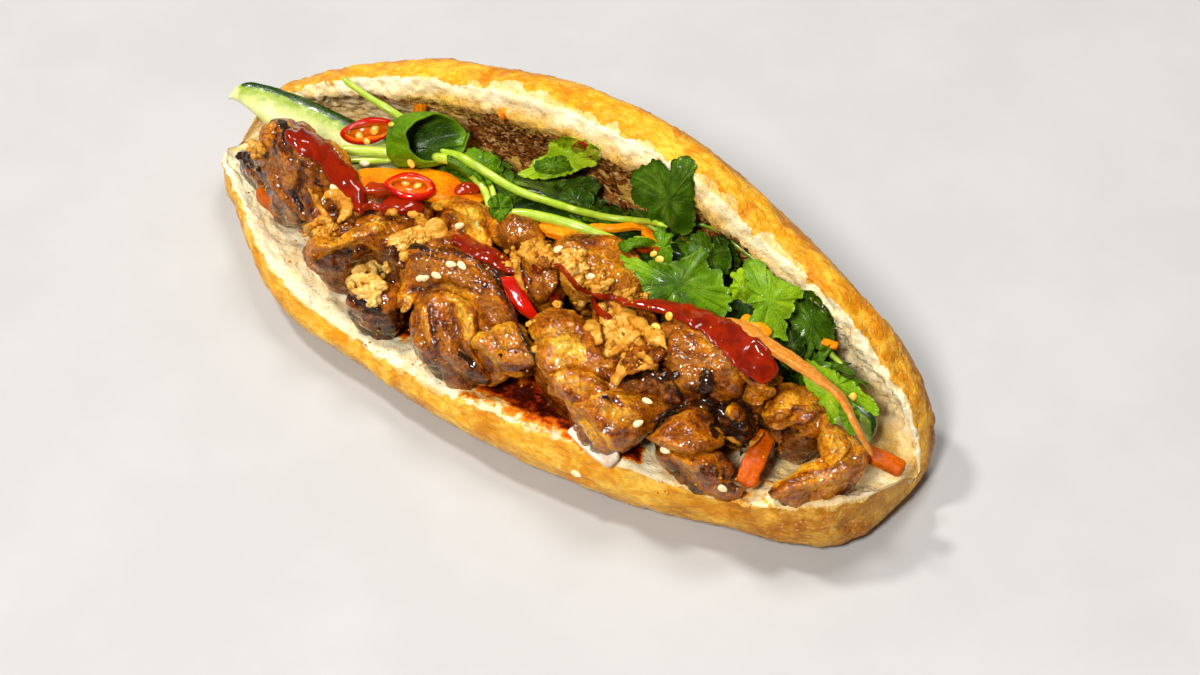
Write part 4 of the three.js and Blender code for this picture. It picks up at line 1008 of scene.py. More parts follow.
def meat(name, tone=0.5, char=0.1, fold=(1.0, 0.4, 0.2), lobe=9.0, amp=1.6, wrinkle=0.55, pale=0.0, seed=1, w=None, h=None, end_char=0.0,
         grow=0.95, roll=0.0, stands_for=True, res=0.8, deep=None, top_tone=0.0, spots=(), creases=(), rims=(), flaps=()):
    p = PIECES[name]
    C = curve(np.array(p["s"], float) + SHIFT, 160)
    w = (w or p["w"]) * grow
    h = (h or p["h"]) * grow
    deep = deep or p.get("deep", h / 2)
    L = np.linalg.norm(np.diff(C, axis=0), axis=1).sum()
    per = math.pi * (w + h / 2 + deep) / 2
    k = 1.18
    ni = int(np.clip((L + 8) * 1.25 / res / k, 30, 130))
    nj = int(np.clip(per / res / k, 36, 120))
    G, a, t, P, (T, S, O) = sweep(C, w, h, ni, nj, roll=roll, n=2.1, blunt=3.2, deep=deep, rough=p.get("lump", 0.1), seed=seed, start=-np.pi / 2)
    N = out_normals(G, P)
    mid = len(T) // 2
    d = fold[0] * T[mid] + fold[1] * S[min(mid, len(S) - 1)] + fold[2] * np.array([0, 0, 1.0])
    V, A = meat_skin(G, N, P, t, d, tone, char, pale, lobe, amp, wrinkle, seed, end_char, top_tone, spots, creases, rims, flaps)
    Vm, q, tr = tube_mesh(V)
    ob = make(name + "_look", Vm, [q, tr], MEAT, {k: tube_attr(v) for k, v in A.items()}, slot="grilled_meat", stands_for=(name,) if stands_for else ())
    solid(Vm, [q, tr])
    return ob


meat("meat_slice_10", tone=0.30, char=0.22, fold=(0.25, 1.0, 0.1), lobe=11, amp=2.0, pale=0.5, seed=1, end_char=0.3, top_tone=0.05,
     spots=((280, 127, 7, "c", 1.0), (296, 200, 6, "c", 0.9), (284, 140, 7, "c", 0.6), (288, 157, 9, "p", 0.9), (279, 176, 8, "p", 0.8), (262, 130, 7, "t", 0.55), (312, 172, 8, "t", 0.16), (330, 148, 9, "p", 0.8),
            (345, 165, 6, "t", 0.45), (308, 205, 8, "t", 0.12), (340, 215, 8, "t", 0.25), (268, 195, 8, "t", 0.42)),
     creases=(([(271, 133), (270, 160), (274, 190)], 3.0, 0.8), ([(303, 165), (300, 182), (294, 196), (297, 212), (305, 224)], 3.5, 1.0), ([(318, 140), (334, 158), (344, 176)], 3.0, 0.7)),
     rims=(([(276, 124), (287, 124), (292, 140)], 4.0, 1.0), ([(307, 160), (310, 180), (303, 200)], 4.5, 0.8)),
     flaps=[([(272, 195), (268, 165), (270, 135)], 0.8), ([(304, 162), (299, 182), (295, 203), (303, 224)], 1.0), ([(318, 140), (332, 158), (344, 178)], 0.7)])
meat("meat_slice_04", w=5.4, h=5.6, deep=8.0, tone=0.34, char=0.2, fold=(1, 0, 0), lobe=5, amp=1.6, seed=21, end_char=0.3, spots=((247, 163, 7, "c", 0.9), (258, 150, 6, "t", 0.75)))
meat("meat_slice_03", tone=0.50, char=0.08, fold=(0.2, 1.0, 0.0), lobe=10, amp=1.7, seed=2, top_tone=0.05,
     spots=((372, 230, 14, "t", 0.62), (312, 248, 8, "t", 0.66), (332, 256, 12, "t", 0.20), (350, 252, 8, "t", 0.16), (322, 274, 10, "t", 0.34), (390, 232, 8, "t", 0.5)),
     creases=(([(315, 254), (337, 245), (365, 240), (385, 240)], 3.5, 1.0),), rims=(([(318, 243), (345, 232), (378, 226)], 6.0, 0.7),),
     flaps=[([(390, 241), (365, 241), (337, 246), (312, 258)], 1.0)])
meat("meat_slice_05", tone=0.30, char=0.5, fold=(0.6, 0.6, 0.2), lobe=6, amp=1.5, seed=23, spots=((372, 305, 9, "c", 0.8), (392, 298, 7, "t", 0.6)))
meat("meat_slice_06", tone=0.30, char=0.12, fold=(0.3, 1.0, 0.0), lobe=8, amp=1.6, seed=24, spots=((390, 262, 9, "t", 0.14), (396, 278, 7, "t", 0.2)))
meat("meat_slice_08", tone=0.40, char=0.10, fold=(0.9, 0.5, 0.1), lobe=12, amp=1.7, pale=0.5, seed=4, wrinkle=0.4,
     spots=((413, 247, 6, "c", 0.9), (428, 243, 5, "c", 0.6), (446, 250, 8, "t", 0.16), (474, 258, 9, "t", 0.14), (440, 268, 12, "p", 0.9), (465, 275, 10, "p", 0.6), (407, 290, 9, "t", 0.5), (405, 304, 6, "t", 0.8), (420, 305, 7, "t", 0.75), (438, 290, 7, "t", 0.7), (478, 290, 7, "t", 0.72), (494, 275, 6, "c", 0.7)),
     creases=(([(402, 296), (420, 285), (442, 289), (462, 283), (484, 288)], 3.5, 0.8), ([(412, 262), (440, 256), (470, 266), (490, 284)], 3.0, 0.5)),
     rims=(([(408, 252), (425, 246), (450, 250), (475, 262), (492, 278)], 5.0, 1.0),),
     flaps=[([(402, 280), (425, 270), (450, 272), (475, 282)], 0.5)])
meat("meat_slice_01", tone=0.44, char=0.12, fold=(1.0, 0.35, 0.1), lobe=10, amp=1.9, pale=0.4, seed=5, grow=0.97,
     spots=((440, 325, 9, "t", 0.36), (448, 350, 12, "p", 0.6), (468, 318, 8, "t", 0.92), (462, 300, 7, "t", 0.85), (483, 378, 9, "c", 0.7), (426, 330, 6, "t", 0.6), (470, 345, 8, "t", 0.7), (492, 308, 9, "p", 0.9), (455, 375, 8, "t", 0.25)),
     creases=(([(455, 298), (452, 325), (462, 350), (480, 366)], 3.0, 0.8), ([(430, 310), (428, 335), (440, 362)], 2.5, 0.5)),
     rims=(([(463, 300), (470, 322), (478, 345)], 6.0, 1.0),),
     flaps=[([(482, 372), (460, 350), (452, 322), (462, 298)], 1.1), ([(442, 372), (428, 350), (424, 322)], 0.6)])
meat("meat_slice_09", tone=0.62, char=0.10, fold=(0.9, 0.4, 0.3), lobe=8, amp=1.7, seed=6, end_char=0.2,
     spots=((507, 332, 10, "t", 0.78), (510, 350, 9, "t", 0.66), (483, 352, 6, "c", 0.7), (492, 366, 8, "t", 0.28), (523, 366, 8, "t", 0.14), (528, 355, 5, "c", 0.7)),
     creases=(([(478, 335), (488, 326), (500, 322), (520, 328)], 3.0, 0.6), ([(487, 355), (505, 362), (522, 362)], 3.0, 0.7)), rims=(([(482, 330), (485, 348), (496, 360)], 4.0, 0.9),),
     flaps=[([(526, 362), (508, 365), (490, 358), (480, 345), (486, 331), (500, 324), (520, 330)], 1.0)])
# the pale gold spot at (472, 218) is a painted highlight
meat("meat_slice_14", tone=0.55, char=0.10, fold=(0.8, 0.6, 0.1), lobe=8, amp=1.5, seed=7, spots=((472, 218, 9, "t", 0.92), (443, 213, 8, "t", 0.18), (455, 232, 7, "t", 0.45)),
     flaps=[([(444, 236), (454, 220), (470, 206)], 0.8)])
meat("meat_slice_11", tone=0.40, char=0.12, fold=(0.7, 0.7, 0.1), lobe=8, amp=1.5, seed=22, grow=1.0, spots=((545, 300, 10, "p", 0.6),))
meat("meat_slice_12", tone=0.52, char=0.04, fold=(0.7, 0.7, 0.1), lobe=12, amp=1.0, wrinkle=0.4, pale=0.6, seed=8, spots=((540, 232, 6, "t", 0.25), (517, 230, 10, "p", 0.7), (505, 240, 7, "t", 0.6)),
     flaps=[([(500, 226), (508, 240), (520, 250)], 0.5)])
meat("meat_slice_13", tone=0.56, char=0.05, fold=(1.0, 0.3, 0.1), lobe=10, amp=1.6, pale=0.8, seed=9,
     spots=((570, 248, 10, "p", 0.9), (623, 272, 12, "p", 0.9), (600, 262, 8, "t", 0.66), (585, 250, 7, "t", 0.8), (632, 290, 7, "t", 0.4)), creases=(([(590, 262), (605, 275), (612, 292)], 3.0, 0.6),),
     flaps=[([(590, 258), (604, 272), (612, 294)], 0.8), ([(556, 262), (575, 252), (596, 250)], 0.6)])
meat("meat_slice_07", tone=0.60, char=0.05, fold=(1.0, 0.3, 0.2), lobe=10, amp=2.0, seed=10, wrinkle=0.7,
     spots=((557, 325, 9, "t", 0.4), (548, 342, 7, "t", 0.9), (567, 350, 11, "t", 0.86), (540, 360, 6, "t", 0.55), (575, 383, 9, "t", 0.84), (592, 366, 9, "t", 0.46), (558, 372, 6, "t", 0.5), (604, 398, 5, "c", 0.6), (626, 410, 10, "t", 0.74), (582, 402, 8, "t", 0.48), (600, 345, 8, "t", 0.36), (640, 425, 8, "t", 0.7), (610, 430, 7, "t", 0.6), (660, 408, 10, "t", 0.4)),
     creases=(([(540, 346), (556, 336), (580, 340), (606, 358)], 3.0, 0.7), ([(550, 384), (566, 372), (590, 378), (606, 392)], 3.5, 0.9), ([(596, 378), (612, 372), (628, 380)], 3.0, 0.7), ([(588, 408), (606, 396), (622, 396)], 2.5, 0.6)),
     rims=(([(552, 350), (575, 342), (598, 356)], 6.0, 0.6),),
     flaps=[([(538, 350), (556, 338), (580, 340), (608, 360)], 0.9), ([(548, 388), (566, 373), (590, 379), (608, 394)], 1.1), ([(590, 412), (606, 397), (626, 396), (648, 406)], 0.9)])
meat("meat_slice_15", tone=0.40, char=0.10, fold=(0.8, 0.6, 0.1), lobe=10, amp=1.6, wrinkle=0.8, pale=0.9, seed=11,
     spots=((692, 340, 12, "p", 1.0), (725, 353, 10, "p", 1.0), (683, 362, 10, "p", 0.9), (708, 384, 8, "c", 1.0), (670, 345, 6, "t", 0.6), (700, 352, 6, "t", 0.5), (740, 378, 8, "p", 0.8)),
     creases=(([(668, 352), (688, 358), (712, 366), (736, 366)], 3.0, 0.6), ([(676, 336), (692, 346), (706, 342)], 2.2, 0.5)),
     flaps=[([(742, 372), (714, 371), (690, 364), (666, 353)], 1.0), ([(690, 334), (706, 345), (728, 350)], 0.6)])
meat("meat_slice_16", tone=0.22, char=0.40, fold=(0.5, 1.0, 0.1), lobe=7, amp=1.8, seed=12, spots=((642, 382, 9, "c", 0.7), (667, 384, 8, "c", 0.75), (655, 396, 8, "t", 0.22), (690, 400, 8, "t", 0.3), (633, 390, 6, "t", 0.5)),
     creases=(([(640, 390), (660, 392), (690, 388)], 3.0, 0.7),),
     flaps=[([(694, 390), (662, 394), (636, 392)], 0.9)])
meat("meat_slice_02", w=13.5, h=12.5, deep=13.5, tone=0.36, char=0.16, fold=(0.9, 0.5, 0.2), lobe=8, amp=1.8, seed=13,
     spots=((680, 430, 11, "t", 0.44), (708, 436, 8, "t", 0.5), (667, 444, 7, "t", 0.62), (683, 464, 9, "t", 0.36), (708, 460, 8, "t", 0.22), (700, 482, 8, "p", 0.5), (716, 472, 8, "t", 0.14), (720, 490, 6, "t", 0.2), (735, 430, 9, "c", 0.9)),
     creases=(([(652, 440), (680, 450), (706, 447), (722, 440)], 3.2, 0.9), ([(666, 470), (690, 471), (713, 462)], 3.0, 0.8)), rims=(([(655, 436), (680, 444), (704, 441)], 4.0, 0.7),),
     flaps=[([(726, 440), (706, 449), (680, 452), (650, 441)], 1.1), ([(716, 462), (690, 473), (662, 470)], 0.9)])
meat("meat_slice_17", tone=0.14, char=0.8, fold=(0.8, 0.6, 0.2), lobe=6, amp=1.8, seed=14, spots=((730, 412, 6, "t", 0.5), (715, 413, 9, "c", 1.0), (740, 425, 10, "c", 1.0)))
meat("meat_slice_18", tone=0.50, char=0.20, fold=(0.8, 0.6, 0.2), lobe=6, amp=1.4, seed=17, spots=((760, 394, 9, "t", 0.8), (748, 400, 6, "t", 0.6), (775, 400, 6, "t", 0.4)))
meat("meat_slice_19", tone=0.56, char=0.20, fold=(0.9, 0.4, 0.1), lobe=6, amp=1.5, seed=15, spots=((777, 412, 8, "t", 0.92), (793, 420, 7, "t", 0.5), (805, 434, 8, "c", 0.6), (815, 418, 8, "p", 0.5), (768, 424, 6, "t", 0.5), (827, 432, 8, "t", 0.8)),
     creases=(([(770, 425), (790, 428), (810, 424)], 2.5, 0.7),),
     flaps=[([(766, 428), (788, 429), (812, 424)], 0.8)])
meat("meat_slice_20", tone=0.58, char=0.06, fold=(0.1, 1.0, 0.2), lobe=5, amp=1.1, seed=16, top_tone=0.05,
     spots=((827, 442, 8, "t", 0.95), (843, 446, 7, "t", 0.8), (818, 458, 3.5, "c", 0.8), (852, 465, 8, "t", 0.45), (793, 478, 9, "t", 0.5), (807, 467, 8, "t", 0.72), (827, 481, 9, "p", 0.7), (860, 452, 7, "p", 0.5), (782, 484, 6, "t", 0.4)),
     creases=(([(790, 478), (812, 474), (835, 464), (852, 452)], 2.2, 0.6),), rims=(([(800, 466), (815, 463), (828, 452)], 3.5, 0.8),),
     flaps=[([(788, 480), (812, 475), (835, 465), (854, 450)], 0.6)])


# ---- the folds of meat that show, traced and laid over the slices -------------------------
FOLDS = {"left": Pile(), "right": Pile()}


def rays(F):
    d = FWD + (F[..., 0:1] - 600.0) / CAM_F * RIGHT - (F[..., 1:2] - 337.5) / CAM_F * UP
    return unit(d)


def sheet(outline, seed, tone=0.5, thick=2.4, centre=None, char=0.05, pale=0.0, close=40, wrinkle=0.5, edge=2.6, droop=0.7, reach=4.5, rag=0.8, strokes=(), ridges=(),
          amp=0.5, lift=0.0, soft=8, rim_char=0.6, rim_tone=0.2, part="left", cap=None):
    """A thick fold draped over what lies under it, with a rounded ragged rim. Traced in picture units."""
    O = closed_outline(outline, 400)
    L = np.linalg.norm(np.roll(O, -1, 0) - O, axis=1).sum()
    k = 1.22
    n = int(np.clip(L / 2.0 / k, 56, 176))
    O = closed_outline(outline, n)
    c = np.array(centre, float) if centre is not None else O.mean(0)
    rings = int(np.clip(np.linalg.norm(O - c, axis=1).max() / 1.9 / k, 9, 30))
    d = np.roll(O, -1, 0) - np.roll(O, 1, 0)
    nrm = unit(np.stack([d[:, 1], -d[:, 0]], -1))
    if np.mean(np.sum(nrm * (O - c), -1)) < 0:
        nrm = -nrm
    O3 = np.concatenate([O, np.zeros((n, 1))], 1)
    O = O + nrm * (rag * (1.5 * fbm(O3, 9.0, 3, seed) + 0.9 * fbm(O3, 3.2, 2, seed + 1)))[:, None]
    q = np.linspace(0, 1, rings + 1) ** 0.85
    F = c + (O[None] - c) * q[:, None, None]
    D = rays(F)
    T = tree()
    hd = np.full(F.shape[:2], np.nan)
    for i in range(rings + 1):
        for j in range(n):
            if i == 0 and j:
                hd[0, j] = hd[0, 0]
                continue
            o = EYE + D[i, j] * 600.0
            r = T.ray_cast(Vector(o), Vector(D[i, j]), 900.0)
            if r[0] is not None:
                hd[i, j] = 600.0 + r[3]
    A = np.stack([F[..., 0], F[..., 1], np.ones(F.shape[:2])], -1).reshape(-1, 3)
    y = hd.ravel()
    ok = ~np.isnan(y) & np.repeat(q < 0.85, n)
    for _ in range(4):
        co = np.linalg.lstsq(A[ok], y[ok], rcond=None)[0]
        ok = ~np.isnan(y) & (y - A @ co < 2.5)
    plane = (A @ co).reshape(hd.shape)
    if cap is not None:
        plane = np.maximum(plane, (cap - EYE[2]) / D[..., 2])
    hd = np.where(np.isnan(hd), plane + reach + 3, hd)
    dist = np.minimum(hd, plane + reach)
    hitd = dist.copy()

    def mean4(a):
        up = np.vstack([a[1:], a[-1:]])
        dn = np.vstack([a[:1], a[:-1]])
        return (up + dn + np.roll(a, 1, 1) + np.roll(a, -1, 1)) / 4
    for _ in range(close):
        dist = np.minimum(hitd, 0.3 * dist + 0.7 * mean4(dist))
        dist[0] = dist[1].mean()
    for _ in range(soft):
        dist = 0.4 * dist + 0.6 * mean4(dist)
        dist[0] = dist[1].mean()
    dist = np.minimum(dist, hitd + 1.2)
    e = px_line(F, np.vstack([O, O[:1]])) * 0.29
    e[-1] = 0.0
    t = np.clip(e / edge, 0, 1)
    prof = np.sqrt(1 - (1 - t) ** 2)
    P = EYE + D * dist[..., None]
    W = P + 0.9 * np.stack([fbm(P, 3.0, 2, seed + 12), fbm(P, 3.0, 2, seed + 13), fbm(P, 3.0, 2, seed + 14)], -1)
    qq = F + 2.4 * np.stack([fbm(P, 4.0, 2, seed + 27), fbm(P, 4.0, 2, seed + 28)], -1) + 0.9 * np.stack([fbm(P, 1.5, 2, seed + 29), fbm(P, 1.5, 2, seed + 30)], -1)
    rd = ridged(W, 2.8, 3, seed + 30)
    patch = sm(-0.2, 0.4, fbm(P, 7.0, 2, seed + 33))
    H = thick * prof - droop * (1 - prof)
    H = H + prof * (amp * (1.1 * fbm(P, 8.0, 2, seed) + 0.5 * fbm(P, 3.4, 2, seed + 5)) + wrinkle * (0.25 + 0.75 * patch) * (rd - 0.55) + 0.12 * fbm(P, 1.2, 2, seed + 6))
    # the valleys of the wrinkles and the traced creases are darkened: painted shade
    cav = np.clip(0.5 * sm(0.34, 0.14, rd) * patch, 0, 1)
    for pts, r, kk in ridges:
        g = px_line(qq, pts)
        w = np.exp(-(g / r) ** 2) * prof
        H = H + kk * w
        if kk < 0:
            cav = np.maximum(cav, np.clip(-0.75 * kk, 0, 0.9) * np.exp(-(g / (r * 0.7)) ** 2))
    top = dist - H - lift
    bot = np.maximum(np.minimum(hd, dist + 2.2) + 0.4, top + 0.2)
    burnt = sm(-0.1, 0.3, fbm(P, 9.0, 2, seed + 75))
    eg = np.exp(-((e - 0.35) / 0.75) ** 2)
    tn = tone + 0.20 * fbm(P, 6.0, 3, seed + 50) + 0.24 * (rd - 0.55) * patch + rim_tone * eg * (1 - burnt)
    spot = sm(0.15, 0.6, fbm(P, 6.0, 3, seed + 60))
    ch = char * (0.2 + 0.8 * spot) + rim_char * eg * burnt
    pl = pale * sm(-0.2, 0.35, fbm(P, 9.0, 2, seed + 70)) * (1 - eg)
    for pts, r, kind, kk in strokes:
        pts = list(pts) if len(pts) > 1 else [pts[0], (pts[0][0] + 0.1, pts[0][1])]
        w = sm(1.35, 0.35, px_line(qq, pts) / r)
        if kind == "t":
            tn = tn + (kk + 0.10 * fbm(P, 3.0, 2, seed + 90) - tn) * w * 0.92
            pl = pl * (1 - 0.85 * w)
            ch = ch * (1 - 0.7 * w)
        elif kind == "c":
            ch = np.maximum(ch, kk * w)
        elif kind == "p":
            pl = np.maximum(pl, kk * w)
            ch = ch * (1 - 0.8 * w)
        else:
            cav = np.maximum(cav, kk * w)

    def flat(a):
        return np.concatenate([[a[0].mean()], a[1:].ravel()])
    V1 = EYE + D * top[..., None]
    V2 = EYE + D * bot[..., None]
    V1 = np.vstack([V1[:1].mean(1), V1[1:].reshape(-1, 3)])
    V2 = np.vstack([V2[:1].mean(1), V2[1:].reshape(-1, 3)])
    m = len(V1)
    quad = grid_faces(rings, n, base=1)
    tri = np.stack([np.zeros(n, int), 1 + np.arange(n), 1 + (np.arange(n) + 1) % n], -1)
    o = 1 + (rings - 1) * n + np.arange(n)
    o2 = np.roll(o, -1)
    f = quad[len(quad) // 2]
    if np.cross(V1[f[1]] - V1[f[0]], V1[f[2]] - V1[f[0]]) @ BACK < 0:
        quad = quad[:, ::-1]
    f = tri[0]
    if np.cross(V1[f[1]] - V1[f[0]], V1[f[2]] - V1[f[0]]) @ BACK < 0:
        tri = tri[:, ::-1]
    wall = np.stack([o, o2, o2 + m, o + m], -1)
    a = quad[-1]
    along = set()
    for fc in quad[-n:]:
        for u, v in zip(fc, np.roll(fc, -1)):
            along.add((int(u), int(v)))
    if (int(o[0]), int(o2[0])) in along:
        wall = wall[:, ::-1]
    V = np.vstack([V1, V2])
    quads = np.vstack([quad, quad[:, ::-1] + m, wall])
    tris = np.vstack([tri, tri[:, ::-1] + m])
    two = lambda a: np.concatenate([flat(a), flat(a)])
    FOLDS[part].add(V, quads, tris, matt=np.concatenate([flat(sm(1.5, 0.3, e)), np.ones(m)]), tone=np.clip(two(tn), 0, 1), char=np.clip(two(ch), 0, 1), cav=np.clip(two(cav), 0, 1), pale=np.clip(two(pl), 0, 1))
    solid(V, [quads, tris])
    return V


# back row first: the lumps that look out from under the front row
sheet([(488, 222), (496, 219), (505, 217), (516, 215), (527, 216), (536, 221), (542, 230), (546, 238), (543, 246), (533, 244), (522, 246), (513, 250), (503, 249), (495, 244), (489, 236)], 812, tone=0.50, pale=0.5, wrinkle=0.25, amp=0.3, rim_char=0.1,
      strokes=[([(505, 232), (518, 232), (530, 236)], 9, "p", 0.75), ([(505, 218), (520, 217), (534, 221), (542, 232)], 3.5, "t", 0.34), ([(492, 226), (496, 236), (500, 245)], 5, "t", 0.6), ([(538, 238), (543, 243)], 4, "t", 0.45)],
      ridges=[([(497, 222), (501, 234), (504, 246)], 3.0, -0.7)])
# the pale gold streak near (474, 224) is a painted highlight
sheet([(440, 218), (446, 210), (456, 206), (466, 204), (474, 206), (482, 214), (487, 222), (490, 234), (492, 246), (482, 244), (472, 242), (463, 240), (456, 236), (450, 230), (444, 224)], 814, tone=0.62, wrinkle=0.5, char=0.0, rim_char=0.2,
      strokes=[([(472, 212), (474, 224), (480, 234)], 8, "t", 0.98), ([(462, 210), (466, 222)], 5, "t", 0.8), ([(443, 212), (450, 218), (452, 226)], 6, "t", 0.16), ([(484, 222), (488, 238)], 3.5, "t", 0.5), ([(458, 228), (464, 234)], 5, "t", 0.6)],
      ridges=[([(456, 212), (458, 224), (464, 234)], 3.0, -0.8), ([(472, 210), (476, 226)], 6.0, 0.7)])
sheet([(524, 250), (534, 246), (545, 248), (553, 256), (556, 270), (553, 286), (548, 300), (538, 304), (531, 294), (529, 280), (524, 266)], 816, tone=0.46, pale=0.4, wrinkle=0.5,
      strokes=[([(536, 292), (541, 288)], 7, "p", 0.9), ([(534, 262), (540, 274)], 7, "t", 0.34), ([(548, 284), (546, 298)], 5, "t", 0.4)])
sheet([(560, 262), (572, 254), (588, 250), (604, 254), (618, 262), (630, 272), (640, 284), (645, 296), (640, 304), (626, 302), (610, 300), (594, 300), (580, 304), (568, 298), (560, 284), (557, 272)], 813, tone=0.55, pale=0.8, wrinkle=0.5,
      strokes=[([(574, 292), (584, 298)], 9, "p", 0.9), ([(600, 262), (616, 272)], 8, "t", 0.66), ([(628, 282), (636, 296)], 7, "p", 0.8), ([(592, 280), (606, 288)], 8, "t", 0.74), ([(640, 288), (644, 300)], 4, "t", 0.34)],
      ridges=[([(596, 254), (604, 270), (610, 290)], 3.0, -0.8), ([(570, 262), (576, 276), (574, 292)], 3.0, -0.6)])
# left end
sheet([(281, 118), (289, 122), (294, 129), (308, 130), (320, 136), (334, 143), (346, 152), (353, 165), (359, 180), (364, 196), (365, 210), (358, 222), (350, 232), (340, 238), (328, 233), (314, 229), (304, 222), (294, 212), (284, 203), (273, 192), (267, 178),
       (269, 162), (267, 148), (260, 138), (262, 128), (271, 121)], 810, tone=0.36, thick=2.6, centre=(312, 176), wrinkle=0.6, pale=0.2, rim_char=0.3, edge=3.2, amp=0.6,
      strokes=[([(272, 124), (264, 129), (264, 137), (268, 144)], 5, "t", 0.58), ([(281, 122), (286, 130), (288, 142)], 5, "c", 1.0), ([(276, 128), (275, 142), (275, 156)], 3, "c", 0.75), ([(271, 146), (271, 160)], 3, "p", 0.6),
               ([(282, 142), (288, 152), (294, 160)], 6, "t", 0.16), ([(270, 168), (270, 180), (276, 192), (286, 202)], 4.5, "t", 0.50), ([(278, 160), (283, 172), (290, 184)], 6, "p", 1.0), ([(300, 158), (298, 168), (294, 178)], 5, "p", 0.9),
               ([(291, 190), (297, 199), (301, 210)], 3.5, "c", 0.95), ([(304, 180), (306, 196), (310, 214)], 6, "t", 0.14), ([(313, 168), (317, 180), (321, 190)], 6, "c", 0.5), ([(326, 168), (331, 180), (334, 192)], 6, "p", 0.8),
               ([(320, 140), (332, 148), (342, 158)], 6, "p", 0.8), ([(333, 143), (345, 153), (352, 168)], 2.8, "t", 0.74), ([(346, 164), (352, 180), (357, 198)], 4, "t", 0.16), ([(338, 214), (346, 226), (354, 216)], 9, "t", 0.15), ([(312, 222), (322, 228)], 6, "t", 0.3),
               ([(272, 196), (282, 202)], 3, "t", 0.55)],
      ridges=[([(303, 163), (301, 180), (295, 196), (300, 211), (305, 221)], 3.2, -1.3), ([(277, 124), (286, 126), (291, 138), (296, 152)], 5.0, 1.0), ([(274, 140), (274, 164), (280, 186), (290, 200)], 3.0, -0.7), ([(311, 168), (311, 188), (308, 208)], 5.0, 0.9),
              ([(318, 139), (334, 156), (346, 178)], 3.0, -0.9), ([(337, 147), (348, 162), (356, 184)], 4.5, 0.8), ([(326, 196), (334, 212), (338, 228)], 4.0, -0.8)])
# second fold, a glossy dark lobe with a golden one over it
sheet([(305, 246), (303, 256), (306, 265), (312, 271), (322, 276), (334, 279), (344, 279), (352, 274), (360, 268), (370, 262), (384, 257), (394, 252), (398, 244), (384, 240), (360, 238), (336, 240), (316, 240)], 803, tone=0.18, thick=2.2, wrinkle=0.35, amp=0.4, rim_char=0.0, rim_tone=0.1,
      strokes=[([(318, 272), (334, 275), (348, 270)], 4.5, "p", 0.55), ([(308, 250), (308, 262), (314, 268)], 4.5, "t", 0.56), ([(330, 252), (346, 252), (362, 248)], 4, "t", 0.12), ([(330, 262), (346, 262)], 5, "t", 0.24)])
sheet([(306, 247), (308, 240), (316, 237), (326, 240), (336, 240), (343, 235), (353, 229), (365, 224), (377, 221), (387, 224), (394, 231), (401, 240), (399, 248), (388, 251), (377, 251), (364, 247), (352, 246), (341, 250), (330, 254), (320, 255), (314, 262), (307, 258)], 833,
      tone=0.58, thick=2.2, wrinkle=0.4, amp=0.4, rim_char=0.15, centre=(352, 239),
      strokes=[([(312, 244), (322, 248)], 5, "t", 0.62), ([(340, 244), (356, 236), (374, 228)], 5, "t", 0.7), ([(370, 236), (384, 236)], 6, "t", 0.5), ([(386, 244), (396, 242)], 5, "t", 0.3), ([(336, 252), (352, 247), (366, 248)], 2.5, "t", 0.2), ([(388, 226), (396, 234)], 4, "t", 0.4)],
      ridges=[([(316, 246), (336, 245), (354, 238), (376, 232)], 5.0, 0.7)])
# dark link beside the battered chunk
sheet([(374, 250), (384, 245), (395, 247), (402, 255), (405, 268), (404, 282), (400, 294), (392, 292), (388, 280), (383, 268), (376, 259)], 806, tone=0.17, thick=2.0, wrinkle=0.5, rim_char=0.2, strokes=[([(386, 252), (394, 262), (397, 276)], 6, "t", 0.14), ([(397, 286), (400, 290)], 4, "t", 0.5)])
sheet([(348, 284), (352, 297), (360, 307), (372, 314), (384, 317), (394, 313), (403, 303), (402, 290), (392, 283), (372, 280), (356, 280)], 805, tone=0.34, char=0.3, wrinkle=0.6, rim_char=0.3,
      strokes=[([(356, 300), (370, 310), (384, 314)], 6, "c", 0.95), ([(392, 292), (394, 304), (386, 308)], 6, "t", 0.5), ([(398, 300), (402, 294)], 3, "c", 0.7)])
# the broad smooth fold in the middle left, burnt along its upper edge
sheet([(408, 247), (416, 243), (428, 244), (442, 246), (456, 248), (468, 252), (478, 258), (487, 269), (496, 281), (504, 292), (511, 306), (517, 320), (513, 327), (501, 326), (489, 325), (480, 315), (474, 304), (460, 300), (446, 298), (430, 300), (416, 304), (408, 309), (399, 308),
       (396, 298), (401, 284), (400, 268), (403, 256)], 808, tone=0.42, thick=2.8, centre=(447, 275), wrinkle=0.3, pale=0.5, rim_char=0.2, edge=3.4, amp=0.45,
      strokes=[([(408, 249), (418, 247), (429, 249)], 4.5, "c", 1.0), ([(410, 257), (428, 257), (446, 261)], 3, "c", 0.6), ([(432, 248), (452, 251), (470, 256), (484, 269), (498, 284)], 5, "t", 0.15), ([(418, 266), (438, 267), (456, 273), (470, 280)], 9, "p", 0.9),
               ([(405, 272), (402, 286), (404, 298)], 5.5, "t", 0.62), ([(414, 287), (426, 290), (438, 287)], 4, "t", 0.22), ([(486, 300), (494, 310), (504, 320)], 9, "p", 0.75), ([(500, 290), (508, 305), (514, 318)], 4, "t", 0.12), ([(476, 283), (488, 287)], 4.5, "t", 0.15),
               ([(446, 284), (460, 290), (470, 296)], 5, "t", 0.78)],
      ridges=[([(410, 249), (430, 247), (454, 251), (474, 258), (490, 274)], 5.0, 0.8), ([(404, 262), (424, 257), (448, 262), (472, 272)], 3.0, -0.5), ([(410, 292), (426, 286), (446, 282), (466, 288), (480, 296)], 3.5, -0.8), ([(403, 270), (402, 290)], 5.0, 0.6)])
